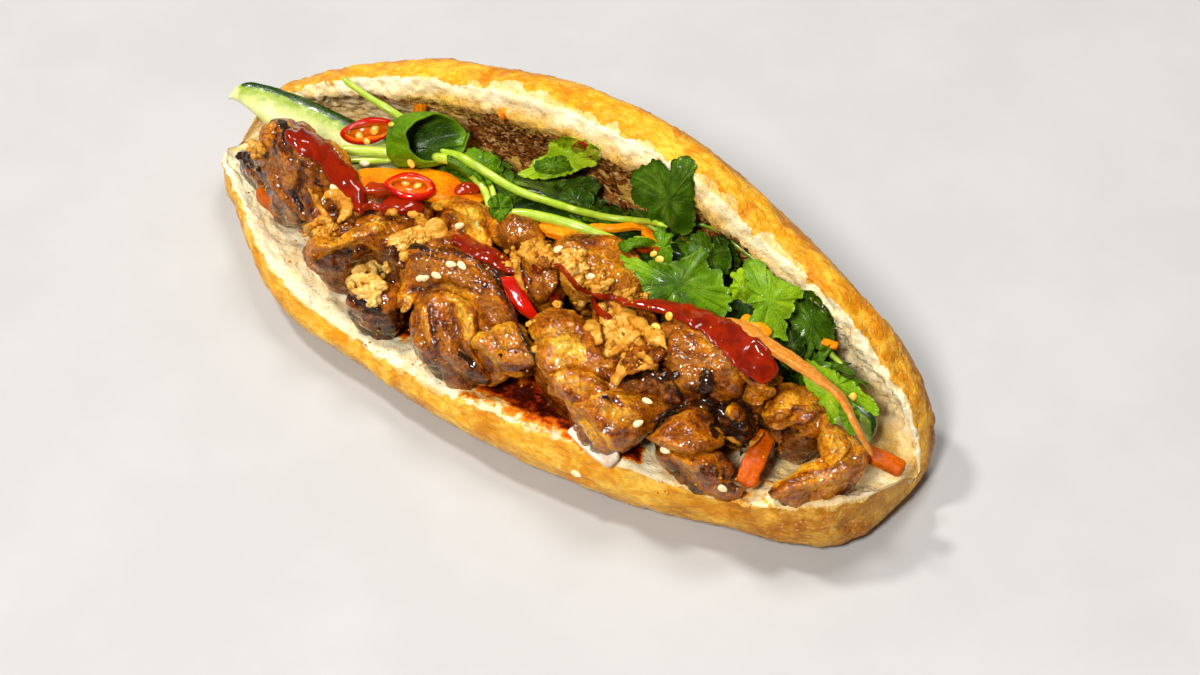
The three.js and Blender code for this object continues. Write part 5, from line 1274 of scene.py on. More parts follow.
# the slice that curls under it
sheet([(418, 304), (424, 298), (434, 293), (448, 292), (462, 298), (471, 303), (477, 313), (480, 326), (476, 338), (472, 347), (477, 358), (485, 368), (492, 378), (487, 386), (474, 384), (460, 376), (446, 367), (437, 359), (430, 346), (424, 336), (420, 324), (417, 313)], 801,
      tone=0.38, thick=3.0, centre=(450, 337), wrinkle=0.6, pale=0.3, edge=3.0, rim_char=0.15, amp=0.5,
      strokes=[([(421, 308), (423, 324), (429, 340)], 4.5, "t", 0.70), ([(432, 310), (434, 334), (440, 356)], 4.5, "t", 0.17), ([(444, 330), (450, 350), (464, 372)], 9, "p", 0.75), ([(460, 306), (466, 318), (469, 334)], 6.5, "t", 0.97), ([(450, 298), (468, 300)], 5, "t", 0.82),
               ([(432, 296), (444, 304), (452, 312)], 6.5, "t", 0.46), ([(462, 356), (474, 366)], 3, "c", 0.9), ([(478, 381), (489, 383)], 4.5, "c", 0.9), ([(470, 374), (482, 376)], 6, "t", 0.14), ([(474, 338), (480, 350)], 3.5, "t", 0.5), ([(446, 322), (452, 336)], 4, "t", 0.24)],
      ridges=[([(462, 300), (470, 318), (472, 336)], 6.0, 1.4), ([(424, 306), (426, 326), (434, 344)], 4.0, 0.8), ([(430, 306), (431, 326), (438, 350), (450, 366)], 2.6, -1.0), ([(452, 306), (454, 326), (460, 344), (472, 360)], 3.0, -1.0), ([(442, 312), (444, 334), (454, 356)], 3.5, 0.5)])
# golden fold at its right
sheet([(472, 339), (480, 332), (490, 330), (497, 325), (508, 322), (518, 326), (525, 336), (528, 346), (535, 354), (535, 364), (528, 373), (518, 377), (506, 374), (497, 367), (488, 357), (480, 351), (472, 347)], 809, tone=0.60, thick=3.0, wrinkle=0.6, rim_char=0.2, rim_tone=0.15,
      strokes=[([(504, 328), (513, 338), (508, 348)], 8, "t", 0.74), ([(488, 338), (496, 350)], 7, "t", 0.58), ([(500, 357), (516, 358)], 6, "t", 0.64), ([(503, 366), (518, 370), (528, 367)], 4.5, "t", 0.17), ([(520, 350), (529, 358)], 5, "p", 0.8), ([(499, 353), (500, 354)], 2, "c", 0.9), ([(513, 354), (514, 355)], 2, "c", 0.9),
               ([(532, 350), (535, 360)], 3, "c", 0.9)],
      ridges=[([(478, 338), (486, 346), (494, 358), (508, 367)], 4.5, 0.9), ([(490, 333), (498, 344), (510, 352), (524, 352)], 3.2, -0.8), ([(500, 327), (516, 330), (522, 342)], 5.0, 0.7)])
# the big golden slice in three folds
sheet([(529, 330), (530, 320), (540, 313), (554, 308), (569, 309), (580, 314), (589, 325), (594, 336), (602, 346), (610, 355), (620, 366), (624, 376), (614, 384), (602, 380), (588, 374), (570, 372), (554, 376), (545, 372), (539, 362), (536, 352), (540, 344), (532, 339)], 807, tone=0.56, thick=3.0,
      centre=(574, 344), wrinkle=0.7, rim_char=0.1, amp=0.7,
      strokes=[([(534, 322), (548, 318), (564, 318)], 7, "t", 0.36), ([(578, 316), (586, 328)], 7, "t", 0.30), ([(560, 344), (572, 346), (582, 352)], 10, "t", 0.95), ([(556, 358), (566, 366)], 8, "t", 0.84), ([(540, 350), (541, 362), (548, 374)], 4.5, "t", 0.56), ([(590, 350), (604, 362), (612, 372)], 7, "t", 0.46),
               ([(538, 338), (548, 332)], 5, "t", 0.74), ([(594, 340), (602, 350)], 4, "t", 0.22), ([(600, 374), (614, 380)], 5, "t", 0.2), ([(584, 362), (592, 366)], 5, "p", 0.6)],
      ridges=[([(536, 342), (550, 334), (566, 332), (584, 338)], 3.2, -0.7), ([(552, 350), (572, 344), (592, 354)], 7.0, 0.9), ([(544, 360), (550, 372)], 4.0, 0.5)])
sheet([(546, 374), (554, 371), (570, 368), (588, 371), (602, 378), (608, 386), (606, 396), (600, 404), (590, 408), (578, 410), (568, 404), (558, 398), (551, 391), (548, 382)], 837, tone=0.56, thick=2.8, wrinkle=0.7, rim_char=0.2,
      strokes=[([(560, 380), (574, 382), (582, 388)], 8, "t", 0.78), ([(566, 396), (580, 402)], 5, "t", 0.34), ([(596, 380), (603, 388)], 4.5, "t", 0.24), ([(550, 384), (556, 394)], 4, "t", 0.52), ([(588, 376), (596, 382)], 4, "p", 0.7)],
      ridges=[([(556, 380), (574, 378), (594, 386)], 6.0, 0.8)])
sheet([(572, 404), (584, 402), (594, 396), (604, 391), (614, 390), (628, 394), (642, 397), (656, 399), (668, 404), (670, 412), (660, 420), (654, 430), (642, 439), (631, 446), (620, 451), (610, 449), (603, 441), (595, 431), (585, 420), (576, 411)], 847, tone=0.56, thick=2.8, centre=(618, 418), wrinkle=0.5,
      rim_char=0.15, amp=0.6, part="right",
      strokes=[([(598, 402), (606, 398)], 5, "t", 0.72), ([(606, 396), (609, 404)], 3, "c", 0.9), ([(608, 410), (622, 414), (632, 420)], 9, "t", 0.80), ([(636, 404), (652, 408), (662, 410)], 8, "t", 0.42), ([(640, 424), (650, 426)], 7, "t", 0.46), ([(610, 436), (624, 440), (636, 438)], 7, "t", 0.34),
               ([(574, 408), (586, 420), (598, 434)], 3.2, "p", 0.4), ([(604, 436), (608, 444)], 4, "t", 0.85), ([(622, 396), (630, 400)], 5, "t", 0.68), ([(614, 400), (618, 404)], 3, "t", 0.2)],
      ridges=[([(590, 408), (606, 404), (622, 408), (640, 416)], 6.0, 0.6), ([(600, 396), (612, 404), (616, 398)], 2.8, -0.9), ([(628, 396), (634, 412), (630, 430)], 3.5, -0.5), ([(604, 430), (620, 434), (640, 430)], 3.0, -0.5)])
# right of it: dark slice, mauve slice, brown slices
sheet([(617, 384), (624, 376), (635, 372), (648, 370), (660, 371), (670, 376), (678, 385), (684, 396), (684, 404), (674, 405), (660, 402), (646, 398), (634, 396), (623, 392)], 836, tone=0.20, thick=2.4, char=0.2, wrinkle=0.6, rim_char=0.4, part="right",
      strokes=[([(626, 380), (638, 376), (650, 376)], 5, "c", 0.7), ([(630, 388), (642, 386), (650, 390)], 6, "p", 0.35), ([(660, 382), (672, 388)], 7, "t", 0.16), ([(664, 394), (666, 396)], 4, "t", 0.5), ([(678, 392), (682, 400)], 3.5, "c", 0.8)],
      ridges=[([(626, 384), (646, 380), (666, 384)], 5.0, 0.6)])
sheet([(661, 352), (666, 344), (667, 336), (673, 330), (683, 328), (694, 328), (704, 330), (714, 335), (724, 342), (734, 350), (740, 362), (745, 374), (744, 388), (737, 397), (726, 398), (716, 392), (704, 392), (692, 394), (681, 389), (672, 379), (668, 366)], 815, tone=0.44, thick=2.8, centre=(704, 362),
      wrinkle=0.6, pale=0.7, rim_char=0.2, amp=0.6, part="right",
      strokes=[([(670, 344), (678, 336), (690, 334)], 6, "t", 0.40), ([(700, 340), (706, 348)], 5, "t", 0.66), ([(716, 348), (728, 358), (734, 370)], 9, "p", 1.0), ([(674, 360), (682, 372), (688, 384)], 8, "p", 0.75), ([(722, 384), (734, 390)], 8, "t", 0.28), ([(703, 374), (708, 382), (704, 390)], 7, "c", 1.0),
               ([(690, 350), (706, 352)], 5, "t", 0.5), ([(712, 362), (716, 366)], 4, "t", 0.66), ([(686, 386), (696, 390)], 4, "t", 0.14), ([(690, 366), (698, 370)], 4, "t", 0.5)],
      ridges=[([(668, 354), (684, 352), (698, 356), (712, 364)], 3.2, -0.9), ([(676, 340), (692, 338), (706, 344), (722, 350)], 5.0, 0.7), ([(712, 368), (714, 382), (718, 394)], 3.0, -0.9), ([(728, 352), (738, 366), (740, 384)], 5.0, 0.5)])
sheet([(596, 300), (612, 296), (630, 298), (645, 301), (655, 315), (664, 334), (668, 350), (660, 362), (646, 369), (628, 374), (613, 370), (603, 356), (597, 340), (592, 322), (591, 308)], 822, cap=50.0, tone=0.28, thick=1.6, reach=1.0, close=90, wrinkle=0.6, rim_char=0.1, part="right",
      strokes=[([(612, 300), (630, 300)], 6, "p", 0.8), ([(604, 350), (620, 362)], 6, "t", 0.22), ([(646, 340), (658, 350)], 6, "t", 0.4)])
sheet([(664, 312), (684, 308), (708, 314), (732, 324), (752, 338), (768, 354), (782, 372), (780, 384), (768, 391), (754, 388), (740, 374), (726, 356), (706, 342), (682, 328)], 823, cap=48.0, tone=0.30, thick=1.4, reach=1.0, close=90, wrinkle=0.4, rim_char=0.1, part="right",
      strokes=[([(700, 336), (722, 352)], 5, "p", 0.8)])
sheet([(664, 448), (674, 452), (690, 454), (705, 452), (715, 456), (722, 466), (723, 477), (735, 483), (743, 490), (739, 498), (726, 501), (712, 497), (700, 489), (690, 481), (680, 471), (671, 462)], 842, tone=0.36, thick=2.6, wrinkle=0.7, rim_char=0.2, centre=(700, 472), part="right",
      strokes=[([(674, 456), (686, 462), (694, 468)], 5, "t", 0.66), ([(708, 456), (714, 460)], 5, "t", 0.52), ([(686, 472), (700, 482)], 6, "p", 0.4), ([(704, 466), (714, 472)], 6, "t", 0.2), ([(718, 470), (724, 478)], 4, "c", 0.6), ([(716, 492), (732, 494)], 5, "p", 0.35), ([(728, 484), (738, 488)], 4, "t", 0.16)],
      ridges=[([(672, 458), (690, 464), (708, 462)], 4.0, 0.6), ([(684, 472), (700, 472), (714, 466)], 2.8, -0.8), ([(704, 484), (718, 482), (730, 488)], 3.0, -0.6)])
sheet([(646, 438), (654, 431), (663, 425), (673, 417), (684, 411), (695, 407), (706, 409), (714, 417), (719, 428), (725, 437), (722, 447), (711, 451), (700, 454), (690, 456), (678, 454), (667, 450), (658, 445)], 802, tone=0.44, thick=2.8, wrinkle=0.6, rim_char=0.1, centre=(686, 433), part="right",
      strokes=[([(664, 430), (676, 424), (688, 420)], 8, "t", 0.42), ([(660, 440), (676, 446)], 5, "t", 0.56), ([(658, 444), (672, 451), (690, 455), (706, 452)], 2.4, "p", 0.6), ([(700, 434), (706, 438)], 6, "t", 0.56), ([(690, 442), (698, 446)], 4, "t", 0.2), ([(712, 424), (718, 436)], 5, "c", 0.85), ([(700, 414), (708, 418)], 5, "t", 0.14)],
      ridges=[([(660, 436), (676, 438), (694, 434)], 3.2, -0.6), ([(696, 432), (704, 438)], 5.0, 0.9), ([(664, 444), (684, 450), (704, 448)], 3.5, 0.6)])
sheet([(728, 412), (730, 404), (737, 402), (744, 409), (746, 417), (741, 422), (733, 421)], 817, tone=0.44, thick=2.4, wrinkle=0.4, rim_char=0.4, part="right", strokes=[([(734, 412), (738, 416)], 5, "t", 0.46)])
sheet([(742, 398), (745, 389), (752, 385), (762, 387), (771, 389), (774, 396), (766, 403), (756, 405), (748, 403)], 818, tone=0.50, thick=2.2, wrinkle=0.8, rim_char=0.0, part="right", strokes=[([(750, 392), (764, 394)], 5, "t", 0.66), ([(768, 398), (760, 402)], 3, "t", 0.4), ([(746, 396), (748, 400)], 3, "p", 0.8)])
sheet([(763, 418), (767, 410), (776, 405), (785, 401), (795, 403), (806, 405), (817, 408), (820, 416), (815, 424), (804, 429), (792, 428), (778, 429), (768, 426)], 819, tone=0.58, thick=2.6, wrinkle=0.4, rim_char=0.0, part="right", centre=(791, 415),
      strokes=[([(776, 412), (788, 407)], 6, "t", 0.84), ([(784, 418), (800, 418)], 6, "t", 0.44), ([(808, 412), (814, 416)], 5, "p", 0.8), ([(770, 422), (786, 425), (806, 425)], 3, "t", 0.42), ([(794, 408), (802, 408)], 3, "t", 0.3)],
      ridges=[([(772, 414), (784, 408), (794, 406)], 6.0, 0.8), ([(786, 413), (798, 410), (808, 413)], 2.8, -0.7)])
sheet([(768, 492), (773, 485), (784, 478), (794, 472), (801, 465), (810, 461), (820, 463), (832, 460), (845, 453), (856, 446), (864, 445), (870, 452), (869, 461), (862, 470), (850, 478), (838, 484), (825, 488), (814, 491), (800, 493), (785, 497), (772, 498)], 820, tone=0.58, thick=2.4, wrinkle=0.3,
      rim_char=0.0, rim_tone=0.1, part="right", centre=(822, 474), edge=2.2,
      strokes=[([(834, 470), (848, 464), (860, 456)], 8, "p", 0.9), ([(774, 490), (786, 484), (798, 478)], 5, "t", 0.42), ([(800, 467), (810, 466)], 4, "t", 0.86), ([(798, 484), (814, 482), (828, 480)], 5, "t", 0.66), ([(802, 474), (816, 472), (828, 468)], 3, "t", 0.36), ([(770, 494), (772, 490)], 3, "t", 0.2), ([(790, 492), (806, 490)], 4, "p", 0.8),
               ([(850, 450), (862, 450)], 4, "t", 0.62)],
      ridges=[([(790, 482), (812, 477), (834, 468), (854, 454)], 2.6, -0.6), ([(802, 467), (820, 467), (838, 460)], 3.0, 0.6)])
sheet([(820, 432), (821, 420), (824, 414), (831, 416), (835, 426), (842, 431), (849, 438), (851, 448), (846, 456), (839, 463), (832, 468), (824, 461), (819, 450), (816, 440)], 821, tone=0.66, thick=2.8, wrinkle=0.4, rim_char=0.0, rim_tone=0.0, part="right", centre=(833, 443),
      strokes=[([(826, 436), (836, 442)], 8, "t", 0.86), ([(826, 420), (830, 426)], 4, "t", 0.62), ([(844, 440), (846, 452)], 4.5, "t", 0.66), ([(830, 460), (838, 456)], 4, "t", 0.72)],
      ridges=[([(822, 438), (830, 446)], 6.0, 0.7), ([(834, 432), (838, 446), (834, 460)], 2.8, -0.5)])
FOLDS["left"].make("meat_folds_left", MEAT, slot="grilled_meat")
FOLDS["right"].make("meat_folds_right", MEAT, slot="grilled_meat")


# ---- vegetables ---------------------------------------------------------------------------
def carrot_material(name, base, light, deep, coat=0.18):
    m = Mat(name)
    fib = m.noise(1.1, 4.0, 0.6, 0.4)
    big = m.noise(5.0, 3.0, 0.6)
    red = m.attr("red")
    col = m.mix(m.range(fib, 0.35, 0.65), lin(base), lin(light))
    col = m.mix(m.range(big, 0.5, 0.75, 0, 0.6), col, lin(deep))
    col = m.mix(red, col, lin((186, 40, 6)))
    m.set(Base_Color=col, Roughness=m.range(big, 0.3, 0.7, 0.24, 0.42))
    m.b.inputs["Subsurface Weight"].default_value = 0.12
    m.b.inputs["Subsurface Radius"].default_value = (1.0, 0.45, 0.1)
    m.b.inputs["Subsurface Scale"].default_value = 1.5 * MM
    m.b.inputs["Specular IOR Level"].default_value = 0.1
    m.b.inputs["Coat Weight"].default_value = coat
    m.b.inputs["Coat Roughness"].default_value = 0.08
    m.put(m.b.inputs["Normal"], m.bump(fib, 0.3, 0.8))
    return m.m


CARROT = carrot_material("carrot", (228, 122, 2), (246, 152, 8), (208, 90, 1))
# a darker copy of the carrot colour for the front strip and the two end strips: painted shade
CARROT_DEEP = carrot_material("carrot_shaded", (180, 74, 1), (202, 94, 2), (154, 54, 1), coat=0.05)
CARROT_PALE = carrot_material("carrot_shaved", (204, 118, 28), (218, 150, 64), (196, 90, 8))
DAIKON = carrot_material("daikon", (253, 236, 204), (255, 248, 232), (246, 210, 168))


def strip(name, mat, slot, w, h, roll=0.0, n=6.0, ni=60, nj=38, rough=0.18, taper=None, red=None, seed=3, path=None, stands=True, blunt=18.0, ridges=0.10, curl=0.0, res=1.0):
    C = curve(np.array(path, float), 200) if path is not None else spine_of(name, 200)
    G, a, t, P, fr = sweep(C, w, h, ni, nj, roll=roll, n=n, blunt=blunt, seed=seed)
    N = out_normals(G, P)
    fib = vnoise(np.stack([np.cos(a) * 9, np.sin(a) * 9, t * 3.0], -1), seed + 4)
    V = G + N * (rough * fbm(G, 3.0, 3, seed) + ridges * fib)[..., None]
    rd = np.zeros_like(a) if red is None else red(V, t)
    Vm, q, tr = tube_mesh(V)
    ob = make(name + "_look", Vm, [q, tr], mat, dict(red=tube_attr(rd)), slot=slot, stands_for=(name,) if stands else ())
    solid(Vm, [q, tr])
    return ob


def near_px(V, spots):
    q = to_px(V)
    out = np.zeros(V.shape[:-1])
    for px, py, r, k in spots:
        out = np.maximum(out, k * np.exp(-((q[..., 0] - px) ** 2 + (q[..., 1] - py) ** 2) / r ** 2))
    return out


strip("carrot_slice_large", CARROT, "carrot", [11, 13, 14, 13, 9], [2.4, 3.0, 3.0, 2.6], roll=[18, 14, 10, 4], rough=0.35, seed=5,
      red=lambda V, t: near_px(V, [(372, 190, 12, 0.8), (392, 198, 14, 0.8), (458, 192, 14, 0.75), (474, 190, 10, 0.7), (350, 190, 6, .5)]))
strip("carrot_strip_left_end", CARROT_DEEP, "carrot", 5.5, 4.5, seed=6)
strip("carrot_strip_front", CARROT_DEEP, "carrot", [5.2, 6.0, 6.2, 5.6], 2.2, roll=10, n=6.0, seed=7, rough=0.35, red=lambda V, t: np.full(t.shape, 0.12))
strip("carrot_strip_right_end", CARROT_DEEP, "carrot", [4.8, 5.2, 4.6], [3.4, 3.4, 3.0], n=4.0, seed=8, rough=0.3)
strip("carrot_strip_back", CARROT, "carrot", 5.0, 2.6, roll=20, seed=9)
strip("carrot_strip_mid", CARROT, "carrot", 5.0, 2.8, seed=10)
strip("daikon_strip_front", DAIKON, "daikon", [5.2, 5.6, 5.2], [3.2, 3.6, 3.4], roll=-18, n=8.0, seed=11,
      red=lambda V, t: near_px(V, [(607, 464, 6, 0.22), (578, 424, 10, 0.2)]))


def cucumber_material():
    m = Mat("cucumber")
    skin, core = m.attr("skin"), m.attr("core")
    n = m.noise(2.2, 4.0, 0.6)
    fine = m.noise(0.7, 3.0, 0.6)
    flesh = m.mix(m.range(n, 0.3, 0.7), lin((212, 214, 128)), lin((238, 234, 178)))
    flesh = m.mix(m.math("MULTIPLY", core, 0.8, clamp=True), flesh, lin((206, 208, 112)))
    rind = m.mix(m.range(fine, 0.35, 0.68), lin((20, 46, 4)), lin((48, 84, 8)))
    s = m.math("ADD", skin, m.range(n, 0.3, 0.7, -0.06, 0.06))
    col = m.mix(m.range(s, 0.34, 0.60), flesh, lin((140, 166, 30)))
    col = m.mix(m.range(s, 0.56, 0.72), col, rind)
    m.set(Base_Color=col, Roughness=m.range(n, 0.3, 0.7, 0.2, 0.34))
    m.b.inputs["Subsurface Weight"].default_value = 0.2
    m.b.inputs["Subsurface Radius"].default_value = (0.8, 1.0, 0.4)
    m.b.inputs["Subsurface Scale"].default_value = 2.0 * MM
    m.b.inputs["Coat Weight"].default_value = 0.4
    m.b.inputs["Coat Roughness"].default_value = 0.1
    m.put(m.b.inputs["Normal"], m.bump(m.math("ADD", fine, n), 0.18, 0.7))
    return m.m


CUKE = cucumber_material()


def cucumber(name, w, h, roll, seed, tip=0.5, ni=92, nj=60):
    """A cut spear: its skin is the side that faces up and right in the picture, its start comes to a point there."""
    C = spine_of(name, 200)
    G, a, t, P, fr = sweep(C, w, h, ni, nj, roll=roll, n=3.4, blunt=12, seed=seed)
    Tn = unit(np.gradient(P, axis=0))
    e = RIGHT * 0.41 + UP * 0.91
    e = unit(e[None] - (Tn @ e)[:, None] * Tn)
    v = np.sum((G - P[:, None]) * e[:, None], -1)
    hw = np.maximum(np.abs(v).max(1, keepdims=True), 0.4)
    if tip:
        k = np.clip(0.42 + 0.8 * t / tip, 0, 1)
        G = G - Tn[:1, None] * (3.4 * np.clip(1 - t / 0.16, 0, 1) ** 1.5)[..., None]
        v = np.sum((G - P[:, None]) * e[:, None], -1)
        v2 = hw - (hw - v) * k
        G = G + e[:, None] * (v2 - v)[..., None]
        v = v2
    gap = hw - v
    s = np.interp(gap + 0.35 * fbm(G, 3.0, 2, seed + 1), [0.0, 1.3, 2.1, 8.0, 11.0], [1.0, 0.86, 0.60, 0.34, 0.2])
    if tip:
        s = np.where(s > 0.3, 0.3 + (s - 0.3) * sm(0.012, 0.055, t), s)
    N = out_normals(G, P)
    V = G + N * (0.16 * fbm(G, 4.0, 3, seed) + 0.12 * sm(3.0, 6.0, gap) * (ridged(G * np.array([.4, 1, 1]), 2.2, 2, seed) - .5))[..., None]
    core = sm(8.0, 11.5, gap)
    Vm, q, tr = tube_mesh(V)
    make(name + "_look", Vm, [q, tr], CUKE, dict(skin=tube_attr(s), core=tube_attr(core)), slot="cucumber", stands_for=(name,))
    solid(Vm, [q, tr])


cucumber("cucumber_spear_left", 16, 7, -38, 12)
cucumber("cucumber_spear_right", 13, 6, -30, 13, tip=0)


# ---- brown pate on the inside of the upper half ----------------------------------------------
def pate_material():
    m = Mat("pate")
    n = m.noise(1.6, 5.0, 0.7, 0.4)
    g = m.voronoi(1.5)
    cell = m.voronoi(1.5, out="Color")
    small = m.voronoi(0.8, out="Color")
    f = m.math("ADD", m.math("MULTIPLY", cell, 0.5), m.math("MULTIPLY", small, 0.22))
    f = m.math("ADD", f, m.math("MULTIPLY", n, 0.36))
    col = m.ramp(f, (0.30, lin((86, 38, 6))), (0.48, lin((134, 72, 18))), (0.62, lin((176, 112, 48))), (0.78, lin((226, 178, 112))))
    m.set(Base_Color=col, Roughness=0.6)
    m.b.inputs["Specular IOR Level"].default_value = 0.2
    m.b.inputs["Coat Weight"].default_value = 0.2
    m.b.inputs["Coat Roughness"].default_value = 0.2
    m.put(m.b.inputs["Normal"], m.bump(m.math("ADD", m.math("MULTIPLY", n, 0.6), m.range(g, 0.55, 0.0)), 0.8, 0.9))
    return m.m


PATE = pate_material()


def build_pate():
    nx = 190
    nu = 64
    x = np.linspace(-58, 70, nx)
    uu = np.linspace(17.7, 22.6, nu)
    S = np.stack([np.interp(uu, BS[112:, 3], BS[112:, k]) for k in range(4)], -1)
    G = place_section(x, S)
    N = grid_normals(G, wrap=False)
    if N[nx // 2, nu // 2, 1] > 0:
        N = -N
    u = uu[None, :]
    X = x[:, None]
    m = sm(17.9, 18.9, u + 0.35 * fbm(G, 7, 3, 201)) * sm(22.5, 21.6, u) * sm(-54, -40, X + 6 * fbm(G, 8, 3, 202)) * sm(66, 52, X + 6 * fbm(G, 8, 3, 203))
    m = m * (0.75 + 0.35 * fbm(G, 6, 3, 204))
    f1, f2, wh = worley(G, 2.0, 205)
    g1, g2, gh = worley(G, 1.1, 206)
    rel = 1.0 * sm(0.75, 0.1, f1) * (0.4 + 0.8 * wh) + 0.4 * sm(0.7, 0.1, g1) + 0.3 * fbm(G, 3.5, 3, 207)
    th = -1.6 + m * (2.6 + rel)
    top = G + N * th[..., None]
    bot = G - N * 2.2
    V = np.vstack([top.reshape(-1, 3), bot.reshape(-1, 3)])
    V[:, 2] = np.maximum(V[:, 2], 1.0)
    n = nx * nu
    q1 = grid_faces(nx, nu, wrap=False)
    q2 = grid_faces(nx, nu, wrap=False, base=n, flip=True)
    rim = np.concatenate([np.arange(nu), np.arange(1, nx) * nu + nu - 1, (nx - 1) * nu + np.arange(nu - 2, -1, -1), np.arange(nx - 2, 0, -1) * nu])
    r2 = np.roll(rim, -1)
    side = np.stack([rim, r2, r2 + n, rim + n], -1)
    make("pate_look", V, [q1, q2, side], PATE, slot="pate", stands_for=("pate_spread",))
    solid(V, [q1, q2, side])


build_pate()

# SECTION-TOP
# ------------------------------------------------------------------------------------------
# herbs
# ------------------------------------------------------------------------------------------
def leaf_material(name="herb_leaf", coat=0.12):
    m = Mat(name)
    lum, vein, edge = m.attr("lum"), m.attr("vein"), m.attr("edge")
    n = m.noise(4.0, 4.0, 0.6, 0.4)
    fine = m.noise(0.8, 4.0, 0.65)
    f = m.math("ADD", lum, m.range(n, 0.3, 0.7, -0.13, 0.13, smooth=False), clamp=True)
    col = m.ramp(f, (0.0, lin((18, 36, 1))), (0.25, lin((50, 82, 2))), (0.5, lin((92, 134, 5))), (0.75, lin((140, 174, 12))), (1.0, lin((196, 208, 40))))
    col = m.mix(m.math("MULTIPLY", vein, 0.30, clamp=True), col, lin((160, 188, 60)))
    col = m.mix(m.math("MULTIPLY", edge, 0.18, clamp=True), col, lin((150, 184, 50)))
    m.set(Base_Color=col, Roughness=m.range(fine, 0.3, 0.7, 0.28, 0.42))
    m.b.inputs["Specular IOR Level"].default_value = 0.10
    m.b.inputs["Coat Weight"].default_value = coat
    m.b.inputs["Coat Roughness"].default_value = 0.10
    cell = m.voronoi(0.9, feature="DISTANCE_TO_EDGE")
    h = m.math("SUBTRACT", m.math("ADD", m.math("MULTIPLY", m.range(cell, 0.0, 0.25), 0.35), m.math("MULTIPLY", n, 0.5)), m.math("MULTIPLY", vein, 0.9))
    m.put(m.b.inputs["Normal"], m.bump(h, 0.35, 0.8))
    return m.m


def stem_material():
    m = Mat("herb_stem")
    lum = m.attr("lum")
    n = m.noise(3.0, 3.0, 0.6)
    f = m.math("ADD", lum, m.range(n, 0.3, 0.7, -0.1, 0.1, smooth=False), clamp=True)
    col = m.ramp(f, (0.0, lin((52, 92, 4))), (0.35, lin((112, 152, 14))), (0.65, lin((176, 200, 50))), (1.0, lin((220, 230, 120))))
    m.set(Base_Color=col, Roughness=0.32)
    m.b.inputs["Subsurface Weight"].default_value = 0.15
    m.b.inputs["Subsurface Radius"].default_value = (0.6, 1.0, 0.2)
    m.b.inputs["Subsurface Scale"].default_value = 1.2 * MM
    m.b.inputs["Coat Weight"].default_value = 0.3
    m.b.inputs["Coat Roughness"].default_value = 0.12
    m.put(m.b.inputs["Normal"], m.bump(m.noise(0.6, 2.0, 0.5, v=m.stretch(m.P, 0.3, 1, 1)), 0.12, 0.7))
    return m.m


LEAF = leaf_material()
LEAF_MATT = leaf_material("herb_leaf_matt", coat=0.03)
STEM = stem_material()
TREE_LEAF = Pile()
TREE_STEM = Pile()


def teeth_on(O, pitch, depth, seed):
    """Rounded teeth with sharp notches round a closed outline."""
    d = np.roll(O, -1, 0) - np.roll(O, 1, 0)
    nrm = unit(np.stack([d[:, 1], -d[:, 0]], -1))
    c = O.mean(0)
    if np.mean(np.sum(nrm * (O - c), -1)) < 0:
        nrm = -nrm
    L = np.concatenate([[0], np.cumsum(np.linalg.norm(np.diff(O, axis=0), axis=1))])
    ph = L / pitch + 0.35 * np.sin(L / pitch * 0.9 + seed)
    x = ph - np.floor(ph)
    k = 0.6 + 0.5 * np.sin(ph * 1.7 + seed * 2.1)
    return O + nrm * (1.3 * depth * k * (np.sqrt(np.abs(np.sin(np.pi * x))) - 0.55))[:, None]


def veins_for(O, base, n_min=5):
    """Tips that stand furthest out from the leaf's base."""
    r = np.linalg.norm(O - base, axis=1)
    k = len(O) // 26
    best = [i for i in range(len(O)) if r[i] == max(r[(i + j) % len(O)] for j in range(-k, k + 1))]
    best = sorted(best, key=lambda i: -r[i])[:9]
    return [O[i] for i in best if r[i] > 0.35 * r.max()]


